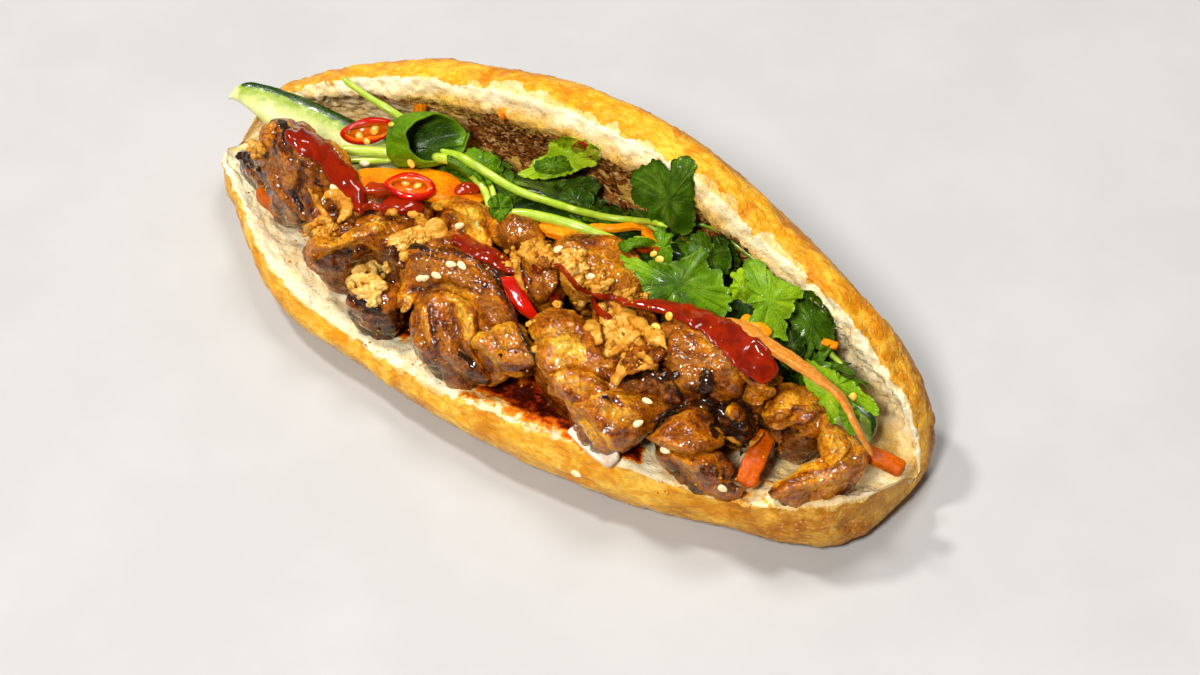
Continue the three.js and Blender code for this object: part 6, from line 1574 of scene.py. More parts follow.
def leaf_body(O2, base2, centre2, place, lum, seed, thick=0.32, rings=11, edge_lum=0.1):
    """Closed thin leaf. O2 is a flat outline; place(points2, rim) puts flat points in space."""
    n = len(O2)
    q = np.linspace(0.0, 1.0, rings + 1)[1:] ** 0.8
    pts = centre2 + (O2[None] - centre2) * q[:, None, None]
    flat = np.vstack([centre2[None], pts.reshape(-1, 2)])
    rim = np.concatenate([[0], np.repeat(q, n)])
    P3 = place(flat, rim)
    tips = veins_for(O2, base2)
    vd = np.full(len(flat), 1e9)
    scale = np.linalg.norm(O2 - base2, axis=1).max()
    for tip in tips:
        a, b = base2, base2 + (tip - base2) * 0.93
        ab = b - a
        t = np.clip(((flat - a) @ ab) / (ab @ ab), 0, 1)
        vd = np.minimum(vd, np.linalg.norm(flat - (a + t[:, None] * ab), axis=1) + 0.02 * scale * t)
        # side veins
        for s in (0.35, 0.55, 0.75):
            o = a + ab * s
            for sg in (-1, 1):
                dr = ab / np.linalg.norm(ab)
                dr = np.array([dr[0] * 0.76 - sg * dr[1] * 0.65, dr[1] * 0.76 + sg * dr[0] * 0.65])
                e = dr * scale * 0.2
                t2 = np.clip(((flat - o) @ e) / (e @ e), 0, 1)
                vd = np.minimum(vd, np.linalg.norm(flat - (o + t2[:, None] * e), axis=1) + 0.012 * scale)
    vein = np.exp(-(vd / (0.022 * scale)) ** 2)
    tri0 = np.stack([np.zeros(n, int), 1 + np.arange(n), 1 + (np.arange(n) + 1) % n], -1)
    quad = grid_faces(rings, n, base=1)
    # normals from faces
    N = np.zeros_like(P3)
    for f in (tri0, quad[:, :3], quad[:, [0, 2, 3]]):
        c = np.cross(P3[f[:, 1]] - P3[f[:, 0]], P3[f[:, 2]] - P3[f[:, 0]])
        for k in range(3):
            np.add.at(N, f[:, k], c)
    N = unit(N)
    flipped = np.mean(N @ BACK) < 0
    if flipped:
        N = -N
    relief = 0.10 * np.sin(rim * 9.0) * 0 - 0.16 * vein
    m = len(P3)
    top = P3 + N * (thick / 2 + relief)[:, None] if np.ndim(relief) else P3 + N * thick / 2
    bot = P3 - N * thick / 2
    V = np.vstack([top, bot])
    o = 1 + (rings - 1) * n + np.arange(n)
    o2 = np.roll(o, -1)
    wall = np.stack([o, o2, o2 + m, o + m], -1)
    if flipped:
        quads = np.vstack([quad[:, ::-1], quad + m, wall[:, ::-1]])
        tris = np.vstack([tri0[:, ::-1], tri0 + m])
    else:
        quads = np.vstack([quad, quad[:, ::-1] + m, wall])
        tris = np.vstack([tri0, tri0[:, ::-1] + m])
    L = lum + 0.0 * rim
    att = dict(lum=np.concatenate([L, L * 0.9]), vein=np.concatenate([vein, vein * 0.5]), edge=np.concatenate([rim ** 6, rim ** 6]) * edge_lum * 3)
    return V, quads, tris, att


def photo_leaf(outline, base, centre, z, tilt=(0.0, 0.0), bulge=1.5, fold=0.0, ripple=0.5, lum=0.4, seed=1, pitch=8.5, depth=1.7, n=150, clear=0.95, rings=11, lum_spots=()):
    """A leaf traced in the picture and set on a tilted plane through its centre at height z."""
    n = int(n * 1.12)
    rings = max(5, int(rings * 0.5))
    O = teeth_on(closed_outline(outline, n), pitch * 1.05, depth * 1.9, seed)
    base, centre = np.array(base, float), np.array(centre, float)
    c3 = at_z(centre[0], centre[1], z)
    nv = unit(BACK + RIGHT * tilt[0] + UP * tilt[1])
    T = tree()
    size = np.linalg.norm(O - centre, axis=1).max()
    axis = unit(np.append(centre - base, 0))[:2] if np.linalg.norm(centre - base) > 1 else np.array([0.0, -1.0])
    across = np.array([-axis[1], axis[0]])

    def place(F, rim):
        out = np.zeros((len(F), 3))
        for k, (x, y) in enumerate(F):
            d = ray(x, y)
            t = np.dot(c3 - EYE, nv) / np.dot(d, nv)
            v = (np.array([x, y]) - centre)
            w = v @ across / size
            l = v @ axis / size
            off = bulge * (1 - rim[k] ** 2) + fold * abs(w) * 3.0 - 1.2 * bulge * l * l
            off += ripple * rim[k] ** 2 * math.sin(math.atan2(v[1], v[0]) * 7 + seed)
            t -= off
            loc, _, _, dist = T.ray_cast(Vector(EYE + d * 600.0), Vector(d), 900.0)
            if loc is not None:
                t = min(t, 600.0 + dist - clear)
            out[k] = EYE + d * t
        return out
    V, q, t, att = leaf_body(O, base, centre, place, lum, seed, rings=rings)
    # the listed spots lighten or darken parts of a leaf: painted light and shade; a low lum on a traced leaf that lies
    # in shadow is painted shade
    for px, py, r, k in lum_spots:
        p = to_px(V)
        att["lum"] = att["lum"] + k * np.exp(-((p[:, 0] - px) ** 2 + (p[:, 1] - py) ** 2) / r ** 2)
    att["lum"] = np.clip(att["lum"], 0, 1)
    TREE_LEAF.add(V, q, t, **att)
    return V, q, t


def free_outline(size, seed, n=82):
    """Outline of a flat coriander leaflet group, its base at the origin, pointing along +y."""
    rng = np.random.default_rng(seed)
    th = np.linspace(-math.pi, math.pi, n, endpoint=False)
    lobes = [(0.0, 1.0, 0.42), (0.85, 0.86, 0.4), (-0.85, 0.86, 0.4), (1.65, 0.62, 0.38), (-1.65, 0.62, 0.38)]
    r = np.full(n, 0.16)
    for a, l, w in lobes:
        a += rng.normal() * 0.08
        l *= 1 + rng.normal() * 0.08
        r = np.maximum(r, l * np.exp(-((np.angle(np.exp(1j * (th - a)))) / w) ** 2 * 0.75))
    r *= size
    O = np.stack([np.sin(th) * r, np.cos(th) * r], -1)
    return teeth_on(O, size * 0.16, size * 0.05, seed)


def free_leaf(pos, along, normal, size, lum, seed, curl=0.35, pile=None, rings=5):
    O = free_outline(size, seed)
    y = unit(along - np.dot(along, normal) * normal)
    x = np.cross(y, normal)
    c2 = np.array([0.0, size * 0.28])

    def place(F, rim):
        u, v = F[:, 0] / size, F[:, 1] / size
        z = -curl * (0.8 * u * u + 0.5 * (v - 0.3) ** 2) * size + 0.04 * size * np.sin(6 * np.arctan2(F[:, 0], F[:, 1]) + seed) * rim ** 2
        return pos + x * F[:, :1] + y * F[:, 1:] + normal * z[:, None]
    V, q, t, att = leaf_body(O, np.zeros(2), c2, place, lum, seed, rings=rings, thick=0.3)
    (pile or TREE_LEAF).add(V, q, t, **{k: np.clip(a, 0, 1) for k, a in att.items()})
    return V, q, t


def stem(path, radius, lum=0.6, nj=12, from_px=True, wob=0.0, seed=1):
    """A tube along points [px, py, z] of the picture, or along plain points."""
    P = np.array([at_z(*p) for p in path]) if from_px else np.array(path, float)
    C = curve(P, 60)
    n = max(16, int(np.linalg.norm(np.diff(C, axis=0), axis=1).sum() / 0.9))
    r = np.asarray(radius, float)
    w = 2 * (np.interp(np.linspace(0, 1, 9), np.linspace(0, 1, np.size(r)), np.atleast_1d(r)))
    G, a, t, Pc, fr = sweep(C, w, w, n, nj, n=2.0, blunt=14, seed=seed)
    N = out_normals(G, Pc)
    V = G + N * (0.10 * fbm(G, 3.0, 2, seed))[..., None]
    Vm, q, tr = tube_mesh(V)
    TREE_STEM.add(Vm, q, tr, lum=tube_attr(np.clip(lum + 0.12 * np.cos(a * 3) * 0.3 + 0.0 * t, 0, 1)))
    return Vm, q, tr


# a smaller dark core under the leaves; its very dark green is painted shade deep inside the heap
def herb_core():
    C = spine_of("coriander_bunch", 160)
    C = C + np.array([0, -1.5, -3.0])
    G, a, t, P, fr = sweep(C, 15.5, 13.0, 120, 44, deep=18.0, n=2.2, blunt=3.5, rough=0.1, seed=31)
    N = out_normals(G, P)
    V = G + N * (1.5 * (ridged(G, 5.0, 3, 311) - 0.5) + 1.0 * fbm(G, 7.0, 2, 312))[..., None]
    Vm, q, tr = tube_mesh(V)
    n = len(Vm)
    ob = make("herb_core", Vm, [q, tr], LEAF, dict(lum=np.full(n, 0.06), vein=np.zeros(n), edge=np.zeros(n)), slot="herb_leaf", stands_for=("coriander_bunch",))
    solid(Vm, [q, tr])


herb_core()


def fill_leaves():
    """Leaves of the heap that the traced leaves lie on: over the top, down the back and the front."""
    rng = np.random.default_rng(5)
    C = spine_of("coriander_bunch", 200) + np.array([0, -1.0, -2.5])
    T, S, O = frames(C)
    for k in range(64):
        i = int(rng.uniform(6, 194))
        a = math.radians(rng.uniform(-30, 200))
        r = np.array([8.2, 7.2])
        side = S[i] * math.cos(a) * r[0] + O[i] * math.sin(a) * r[1]
        if C[i][0] < -30:
            side *= 0.8
        pos = C[i] + side * 0.75
        nrm = unit(side + rng.normal(size=3) * 2.6)
        along = unit(T[i] * rng.choice([-1, 1]) + rng.normal(size=3) * 0.6 + side * 0.03)
        size = rng.uniform(7.5, 11.5)
        free_leaf(pos, along, nrm, size, float(rng.uniform(0.12, 0.42)), 500 + k, curl=rng.uniform(0.2, 0.6))


fill_leaves()
V, F, A = TREE_LEAF.grab()
solid(V, F)

photo_leaf([(516, 176), (532, 178), (560, 180), (590, 178), (600, 186), (596, 196), (604, 204), (590, 212), (572, 214), (552, 208), (536, 200), (520, 190)], (514, 182), (556, 194), 44, (0.1, 0.2), lum=0.10, seed=21, bulge=1.0)
photo_leaf([(560, 196), (572, 188), (586, 190), (594, 198), (590, 208), (582, 216), (570, 214), (562, 206)], (590, 212), (577, 202), 46, (0.0, 0.3), lum=0.14, seed=22, bulge=1.0)

# stems, as traced
for args in (
    dict(path=[(342, 78, 55), (366, 95, 53), (388, 109, 51), (408, 122, 48)], radius=[0.9, 1.0, 1.15, 1.2], lum=0.62, seed=1),
    dict(path=[(338, 150, 38), (362, 151, 39), (392, 153, 41)], radius=[1.5, 1.5, 1.6], lum=0.72, seed=2),
    dict(path=[(340, 162, 36), (362, 161, 37), (392, 160, 39)], radius=[1.0, 1.0, 1.0], lum=0.7, seed=3),
    dict(path=[(432, 156, 46), (452, 161, 47), (468, 172, 47), (482, 186, 46), (489, 204, 45), (492, 216, 44)], radius=[1.6, 1.5, 1.3, 1.2, 1.2, 1.1], lum=0.66, seed=4),
    dict(path=[(494, 214, 46), (520, 213.5, 47.5), (542, 217, 48), (566, 223, 48), (590, 231, 47), (622, 242, 45)], radius=[1.1, 1.4, 1.6, 1.6, 1.45, 1.1], lum=0.62, seed=6),
    dict(path=[(486, 176, 45), (493, 192, 45), (496, 208, 44)], radius=[0.8, 0.85, 0.9], lum=0.7, seed=7),
    dict(path=[(692, 225, 50), (705, 225, 50), (720, 232, 50), (735, 244, 49), (752, 257, 47), (764, 266, 46)], radius=[0.65, 0.7, 0.75, 0.75, 0.7, 0.65], lum=0.4, seed=8),
    dict(path=[(640, 222, 47), (656, 230, 47), (664, 240, 46)], radius=[0.6, 0.6, 0.6], lum=0.55, seed=9),
    dict(path=[(455, 168, 43), (478, 178, 43), (500, 196, 42)], radius=[0.8, 0.9, 0.9], lum=0.45, seed=10),
    dict(path=[(668, 228, 45), (672, 214, 49), (670, 196, 54)], radius=[0.7, 0.6, 0.5], lum=0.35, seed=11),
):
    Vm, q, tr = stem(**args)
    solid(Vm, [q, tr])
# stems that show from behind and above
for path, r in (([(-36, 12, 33), (-20, 19, 37), (0, 23, 38), (24, 25, 36)], 1.1), ([(20, 16, 44), (40, 24, 42), (58, 22, 40)], 0.9), ([(50, 12, 40), (72, 17, 40), (92, 14, 36)], 0.9)):
    Vm, q, tr = stem(path, r, lum=0.55, from_px=False, seed=int(path[0][0]) + 60)
    solid(Vm, [q, tr])

# leaves, as traced, from the back forwards
photo_leaf([(517.5, 173.8), (530, 167.5), (533.8, 161.3), (541, 157.5), (547.5, 153.8), (550, 146), (552.5, 142), (557.5, 140), (562.5, 137.5), (568.8, 137), (575, 138), (580, 140.5), (584.5, 140.5), (587.5, 143), (592.5, 144.5), (596, 146), (600, 150), (597.5, 153.8), (600, 157.5), (597, 160), (596, 163.8), (590, 166), (583.8, 167.5), (578.8, 170), (572.5, 172.5), (565, 175), (555, 177.5), (542.5, 178.8), (530, 177.5), (521, 176)],
           (517, 175), (562, 160), 53, (-0.1, 0.35), lum=0.80, seed=23, bulge=1.6, depth=1.2, lum_spots=((590, 150, 14, 0.16), (548, 172, 16, -0.12)))
photo_leaf([(535.5, 170), (534.5, 165), (537.5, 161), (542.5, 160), (545.5, 157.5), (551, 158.8), (555, 157), (561, 156), (566, 157.5), (565, 161), (570.5, 162), (573.8, 167), (571, 170.5), (566, 170), (560, 172.5), (552.5, 173), (543.8, 173)], (536, 171), (553, 165.5), 54, (0, 0.1), lum=0.3, seed=24, depth=0.8, pitch=6, n=110, rings=7)
photo_leaf([(466, 152), (474, 148), (482, 152), (492, 154), (500, 160), (498, 170), (503, 178), (492, 184), (480, 180), (470, 172), (462, 162)], (486, 178), (482, 166), 47, (0.1, 0.1), lum=0.42, seed=25, depth=1.6, pitch=7, n=120, rings=7)
photo_leaf([(492, 197), (501, 195), (510, 200), (512, 208), (506, 214), (500, 220), (492, 216), (489, 206)], (492, 200), (500, 207), 43, (0.1, 0.1), lum=0.36, seed=26, depth=1.6, pitch=7, n=100, rings=7)
photo_leaf([(448, 158), (456, 152), (468, 156), (474, 166), (470, 176), (460, 176), (450, 170)], (448, 160), (461, 166), 43, (0.1, 0.1), lum=0.30, seed=27, depth=1.6, pitch=7, n=100, rings=7)
photo_leaf([(655, 222.5), (648, 216), (647, 209), (640, 206), (633, 200), (631, 192), (633, 186), (631, 180), (633, 172), (640, 167.5), (642, 164.5), (647, 165.5), (652.5, 160), (659, 160.5), (664, 164), (668, 169.5), (671, 172.5), (672, 165), (674, 160), (680, 157.5), (684, 156), (689, 156), (692.5, 160), (696, 165.5), (694, 171), (692.5, 177.5), (694, 185), (693, 195), (694.5, 205), (695, 216), (694, 225), (690, 232.5), (685, 234.5), (680, 234), (674, 231), (667.5, 228), (660, 226)],
           (670, 228), (669, 200), 62, (0.05, -0.55), lum=0.26, seed=28, bulge=1.2, fold=0.25, depth=1.3, pitch=8, n=170)
photo_leaf([(686, 250), (690, 240), (694, 234), (702, 232), (708, 236), (712, 244), (722, 246), (730, 252), (731, 262), (727, 272), (720, 280), (712, 276), (706, 268), (700, 262), (693, 258)], (706, 272), (709, 256), 50, (0.25, 0.1), lum=0.24, seed=29, bulge=1.4)
photo_leaf([(716, 236), (728, 240), (736, 252), (738, 264), (732, 272), (724, 266), (716, 254), (712, 244)], (716, 238), (726, 254), 47, (0.2, -0.1), lum=0.12, seed=30, bulge=1.0, n=100, rings=7)
photo_leaf([(795, 296.7), (802, 291), (810.6, 291), (819, 299.4), (826, 307.8), (831.4, 316), (834, 324.4), (832.8, 332.8), (834, 338), (824, 349.4), (819, 348), (810.6, 349.4), (806, 344), (799.4, 341), (794, 335.6), (792.5, 324.4), (789.7, 321.7), (794, 310.6)],
           (798, 300), (812, 322), 43, (0.15, 0.1), lum=0.30, seed=31, bulge=1.4, depth=1.3)
photo_leaf([(786, 330), (796, 332), (803, 340), (804, 352), (796, 360), (788, 356), (783, 346), (782, 336)], (790, 332), (793, 345), 42, (0.1, 0.2), lum=0.08, seed=32, n=100, rings=7)
photo_leaf([(620.8, 255.5), (623.8, 262.5), (630, 270), (637.5, 277.5), (642.5, 286), (645, 295), (650, 302), (665, 305), (680, 310), (687.5, 317.5), (695, 318.8), (702.5, 317.5), (710, 319.5), (713.8, 315), (721, 317.5), (726, 312.5), (731, 310), (727.5, 303.8), (733, 300), (726, 293.8), (731, 290), (723.8, 286), (722.5, 278.8), (721, 272.5), (715, 268.8), (711, 272), (708.8, 267.5), (706, 260), (708.8, 251), (702.5, 247.5), (695, 252.5), (680, 260), (670, 263.8), (660, 262.5), (652.5, 261), (645, 263.8), (640, 261), (635, 257.5), (627.5, 258.8)],
           (668, 262), (680, 284), 52, (0.1, 0.3), lum=0.30, seed=33, bulge=2.2, fold=0.1, depth=1.4, n=180, rings=12,
           lum_spots=((712, 300, 20, 0.24), (728, 282, 14, 0.2), (630, 262, 14, 0.42), (700, 272, 8, 0.05), (644, 272, 10, 0.15)))
photo_leaf([(658.8, 222.5), (665, 225), (666, 232.5), (672, 235), (668.8, 242.5), (672.5, 250), (671, 257.5), (672, 265), (665, 271), (660, 268.8), (655, 262.5), (652.5, 255), (655, 247.5), (658, 240), (655, 235), (656, 228.8)], (660, 268), (663, 248), 54, (-0.2, -0.2), lum=0.5, seed=34, depth=1.4, pitch=7, n=120, rings=8, bulge=1.0)
photo_leaf([(618, 244), (628, 240), (640, 238), (652, 240), (654, 245), (644, 246), (632, 248), (624, 252)], (654, 244), (636, 244), 49, (0.0, 0.2), lum=0.42, seed=35, depth=1.2, pitch=7, n=90, rings=6)
photo_leaf([(742.5, 269), (746.7, 274.5), (749, 285.6), (753.6, 294), (751, 301), (744, 302), (738, 298), (734, 299.5), (732.8, 292.5), (730, 288), (734, 281), (732, 274.5), (737, 271.7)], (742, 300), (742, 286), 51, (-0.1, 0.1), lum=0.68, seed=36, depth=1.3, pitch=7, n=110, rings=8)
photo_leaf([(746.7, 260.6), (753.6, 259), (763, 263), (766, 269), (775.8, 277), (784, 281), (794, 285.6), (802, 291), (802, 298), (798, 297), (795, 299.5), (792.5, 310.6), (790, 316), (783, 319), (787, 324.5), (784, 335.6), (787, 341), (777, 337), (770, 338), (763, 335.6), (752, 328.6), (746.7, 324.5), (749, 319), (755, 313), (753, 305), (746.7, 302), (753, 294), (748, 285.6), (745, 274.5), (743, 266)],
           (750, 264), (769, 300), 53, (0.15, 0.2), lum=0.5, seed=37, bulge=2.0, fold=0.12, depth=1.4, n=180, rings=12, lum_spots=((790, 300, 14, 0.2), (760, 280, 14, 0.1), (775, 322, 14, 0.12)))
# the serrated leaf at the right end
photo_leaf([(800, 362), (809, 361), (819, 366), (831.4, 370.5), (844, 378), (855, 385), (863, 392), (871.7, 400), (878, 407.8), (878, 414), (871.7, 412), (863, 408), (855, 404), (846.7, 400), (835.6, 392), (824.4, 385), (813, 379), (804, 372)], (801, 365), (838, 385), 40, (0.1, 0.2), lum=0.62, seed=38, depth=1.8, pitch=6, n=140, bulge=0.8)
photo_leaf([(803.6, 377), (810.6, 378), (819, 379), (827, 382.8), (835.6, 387), (839.7, 396.7), (838, 410.6), (835.6, 423), (831, 424.4), (829, 416), (826, 407.8), (820, 405), (818, 396), (812, 392.5), (806, 385.6)], (804, 378), (826, 393), 41, (0.0, 0.3), lum=0.7, seed=39, depth=1.5, pitch=7, n=120, rings=8, bulge=0.8)
photo_leaf([(839.7, 402), (846.7, 396.7), (852, 401), (857.8, 411), (859, 424.4), (855, 432), (849.4, 434), (845, 427), (841, 420), (840, 411)], (846, 398), (849, 415), 39, (0.1, 0.2), lum=0.48, seed=40, depth=1.4, pitch=7, n=100, rings=8, bulge=0.8)
# leaves for the views from behind and above, between the heap and the upper half
rng = np.random.default_rng(12)
for k in range(16):
    i = int(rng.uniform(15, 190))
    C = spine_of("coriander_bunch", 200)
    pos = C[i] + np.array([rng.uniform(-3, 3), rng.uniform(2, 7), rng.uniform(2, 6)])
    if to_px(pos)[0] > 630 and to_px(pos)[0] < 700:
        continue
    free_leaf(pos, unit(rng.normal(size=3) * [1, 0.4, 0.3]), unit(np.array([0.1, 0.35, 1.0]) + rng.normal(size=3) * 0.3), rng.uniform(6.5, 9.0), float(rng.uniform(0.16, 0.32)), 900 + k)

TREE_LEAF.make("coriander_leaves", LEAF, slot="herb_leaf")
V, F, A = TREE_LEAF.grab()
solid(V, F)


# ---- the broad leaf rolled into a loop -------------------------------------------------------
def rolled_leaf():
    """Sheet wound round a short axis; its rim ring faces the camera's lower right."""
    n_a, n_s, n_c = 100, 28, 8
    ang = np.linspace(math.radians(-20), math.radians(372), n_a)
    near_c, near_r = np.array([437.0, 138.0]), np.array([29.0, 24.5])
    far_c, far_r = np.array([401.0, 141.0]), np.array([14.0, 26.0])
    zc = 52.0
    c3 = at_z(432, 137, zc)
    out = np.zeros((n_s + n_c, n_a, 3))
    nv = unit(BACK + RIGHT * 0.55 - UP * 0.15)
    for i in range(n_s + n_c):
        s = min(i / (n_s - 1), 1.0)
        shut = max(0.0, (i - n_s + 1) / n_c)
        cen = near_c * (1 - s) + far_c * s
        rad = near_r * (1 - s) + far_r * s
        rad = rad * (1 + 0.10 * math.sin(math.pi * s)) * (1 - 0.96 * shut)
        for j, a in enumerate(ang):
            spiral = 1.0 + 0.10 * (a / (2 * math.pi))
            wave = 1 + 0.03 * math.sin(5 * a + 2 * s) + 0.02 * math.sin(9 * a)
            x = cen[0] + rad[0] * spiral * wave * math.cos(a)
            y = cen[1] - rad[1] * spiral * wave * math.sin(a) * 0.92
            d = ray(x, y)
            t = np.dot(c3 - EYE, nv) / np.dot(d, nv) + s * 9.0 + 1.2 * math.sin(a * 2) * (1 - s)
            out[i, j] = EYE + d * t
    N = grid_normals(out, wrap=False)
    V = np.vstack([(out + N * 0.28).reshape(-1, 3), (out - N * 0.28).reshape(-1, 3)])
    n_s += n_c
    n = n_s * n_a
    q1 = grid_faces(n_s, n_a, wrap=False)
    q2 = grid_faces(n_s, n_a, wrap=False, base=n, flip=True)
    rim = np.concatenate([np.arange(n_a), np.arange(1, n_s) * n_a + n_a - 1, (n_s - 1) * n_a + np.arange(n_a - 2, -1, -1), np.arange(n_s - 2, 0, -1) * n_a])
    r2 = np.roll(rim, -1)
    side = np.stack([rim, r2, r2 + n, rim + n], -1)
    S = np.repeat(np.minimum(np.arange(n_s) / (n_s - n_c - 1), 1.0), n_a)
    A = np.tile(ang, n_s)
    vein = np.exp(-((np.abs(np.sin(A * 3.0 + 1.5 * S)) / 0.10) ** 2)) * 0.6
    # inside the roll the leaf is lighter at the open rim and darker deeper in: painted shade; outside it is lighter
    # towards one side
    lum_in = 0.20 + 0.26 * np.exp(-(S / 0.2) ** 2) - 0.12 * np.clip(S - 0.6, 0, 1)
    lum_out = 0.56 + 0.14 * np.sin(A + 2)
    c = out.reshape(-1, 3).mean(0)
    inward = np.sum(N.reshape(-1, 3) * (c - out.reshape(-1, 3)), -1).mean() > 0
    la, lb = (lum_in, lum_out) if inward else (lum_out, lum_in)
    lum = np.concatenate([la, lb])
    edge = np.concatenate([np.exp(-(S / 0.06) ** 2)] * 2)
    V = np.vstack([V])
    ob = make("rolled_leaf_look", V, [q1, q2, side], LEAF_MATT, dict(lum=np.clip(lum, 0, 1), vein=np.concatenate([vein, vein * 0.6]), edge=edge), slot="herb_leaf", stands_for=("rolled_leaf",))
    solid(V, [q1, q2, side])


rolled_leaf()

# ---- long shaved carrot ribbon and thin shreds ----------------------------------------------
RIBBON = [at_z(*p) for p in ((726, 319, 50), (745, 328, 51), (768, 345, 51), (795, 362, 50), (818, 378, 49), (838, 394, 47), (850, 412, 45), (858, 430, 42), (868, 448, 38), (872, 456, 36))]
strip("carrot_ribbon_long", CARROT_PALE, "carrot", [2.2, 4.6, 4.6, 4.4, 4.2, 3.6, 3.4, 2.4, 0.8], [1.6, 2.0, 2.0, 1.8, 1.6, 1.5, 1.2], roll=[25, 20, 15, 20, 35, 50, 40], ni=120, nj=36, rough=0.22, seed=15, path=RIBBON, ridges=0.12)
for k, (pts, w, h) in enumerate((
    ([(712, 262, 46), (700, 246, 46), (684, 234, 45)], 3.0, 1.2),
    ([(588, 227, 46), (612, 228, 47), (640, 226, 46), (656, 232, 45)], 2.6, 1.6),
    ([(645, 230, 47), (652, 240, 47), (660, 262, 46)], 3.0, 1.4),
    ([(540, 224, 46), (562, 232, 46), (590, 244, 45), (606, 250, 44)], 4.2, 2.2),
    ([(822, 341, 40), (830, 344, 40), (838, 346, 40)], 2.4, 1.2),
    ([(742, 318, 50), (756, 326, 50), (770, 336, 49)], 3.6, 1.6),
)):
    strip("carrot_shred_%d" % k, CARROT, "carrot", w, h, ni=44, nj=22, rough=0.2, seed=50 + k, path=[at_z(*p) for p in pts], stands=False)

# SECTION-SAUCE
# ------------------------------------------------------------------------------------------
# chillies, crisp onions, sauces, seeds and crumbs
# ------------------------------------------------------------------------------------------
def wet_material(name, base, deep, thin, rough=0.07, coat=1.0, bump=0.08, sss=0.05):
    m = Mat(name)
    k = m.attr("k")
    n = m.noise(5.0, 3.0, 0.6)
    fine = m.noise(1.4, 3.0, 0.6)
    col = m.mix(m.range(n, 0.35, 0.65), lin(base), lin(deep))
    col = m.mix(k, col, lin(thin))
    m.set(Base_Color=col, Roughness=m.range(n, 0.3, 0.7, rough + 0.12, rough + 0.2))
    m.b.inputs["Specular IOR Level"].default_value = 0.08
    m.b.inputs["Coat Weight"].default_value = coat
    m.b.inputs["Coat Roughness"].default_value = rough
    m.b.inputs["Coat IOR"].default_value = 1.38
    m.b.inputs["Subsurface Weight"].default_value = sss
    m.b.inputs["Subsurface Radius"].default_value = (1.0, 0.15, 0.05)
    m.b.inputs["Subsurface Scale"].default_value = 0.8 * MM
    m.put(m.b.inputs["Normal"], m.bump(m.math("ADD", n, m.math("MULTIPLY", fine, 0.5)), bump, 0.8))
    m.put(m.b.inputs["Coat Normal"], m.bump(m.math("ADD", n, m.math("MULTIPLY", fine, 0.3)), bump, 0.8))
    return m.m


def onion_material():
    m = Mat("fried_onion")
    tone = m.attr("tone")
    n = m.noise(1.6, 4.0, 0.65, 0.5)
    fine = m.noise(0.5, 3.0, 0.6)
    f = m.math("ADD", tone, m.range(n, 0.3, 0.7, -0.24, 0.24, smooth=False), clamp=True)
    col = m.ramp(f, (0.0, lin((116, 52, 6))), (0.25, lin((164, 92, 14))), (0.5, lin((200, 132, 28))), (0.75, lin((214, 154, 50))), (1.0, lin((232, 190, 102))))
    m.set(Base_Color=col, Roughness=m.range(fine, 0.3, 0.7, 0.34, 0.55))
    m.b.inputs["Specular IOR Level"].default_value = 0.2
    m.b.inputs["Coat Weight"].default_value = 0.2
    m.b.inputs["Coat Roughness"].default_value = 0.1
    m.b.inputs["Subsurface Weight"].default_value = 0.12
    m.b.inputs["Subsurface Radius"].default_value = (1.0, 0.6, 0.2)
    m.b.inputs["Subsurface Scale"].default_value = 0.8 * MM
    m.put(m.b.inputs["Normal"], m.bump(m.math("ADD", m.math("MULTIPLY", n, 0.8), m.math("MULTIPLY", fine, 0.5)), 0.55, 0.8))
    return m.m


def plain_material(name, base, light, rough=0.4, size=1.0, sss=0.1):
    m = Mat(name)
    n = m.noise(size, 3.0, 0.6)
    m.set(Base_Color=m.mix(m.range(n, 0.35, 0.65), lin(base), lin(light)), Roughness=rough)
    m.b.inputs["Subsurface Weight"].default_value = sss
    m.b.inputs["Subsurface Radius"].default_value = (1.0, 0.7, 0.3)
    m.b.inputs["Subsurface Scale"].default_value = 0.6 * MM
    m.put(m.b.inputs["Normal"], m.bump(n, 0.15, 0.8))
    return m.m


SAUCE = wet_material("chilli_sauce", (150, 31, 1), (114, 19, 1), (188, 72, 3), rough=0.045)
CHILLI = wet_material("chilli_skin", (202, 22, 1), (176, 14, 1), (230, 116, 16), rough=0.045, coat=0.8, bump=0.06)
ONION = onion_material()
SESAME = plain_material("sesame", (240, 216, 150), (252, 238, 196), rough=0.38)
SEED = plain_material("chilli_seed", (238, 176, 40), (250, 214, 96), rough=0.3, size=1.5)


def lay(path, lift=0.5, n=60, close=14):
    """Points along a picture path on top of what is there, bridging the hollows."""
    C = curve(np.array([[p[0], p[1], 0.0] for p in path], float), n)[:, :2]
    T = tree()
    dist = np.zeros(n)
    dirs = np.array([ray(*c) for c in C])
    for i in range(n):
        loc, _, _, dd = T.ray_cast(Vector(EYE + dirs[i] * 600.0), Vector(dirs[i]), 900.0)
        dist[i] = 600.0 + dd if loc is not None else np.nan
    ok = ~np.isnan(dist)
    dist = np.interp(np.arange(n), np.arange(n)[ok], dist[ok])
    hitd = dist.copy()
    for _ in range(close):
        p = np.pad(dist, 1, mode="edge")
        dist = np.minimum(hitd, (p[:-2] + p[2:] + 2 * dist) / 4)
    return EYE + dirs * (dist - lift)[:, None]


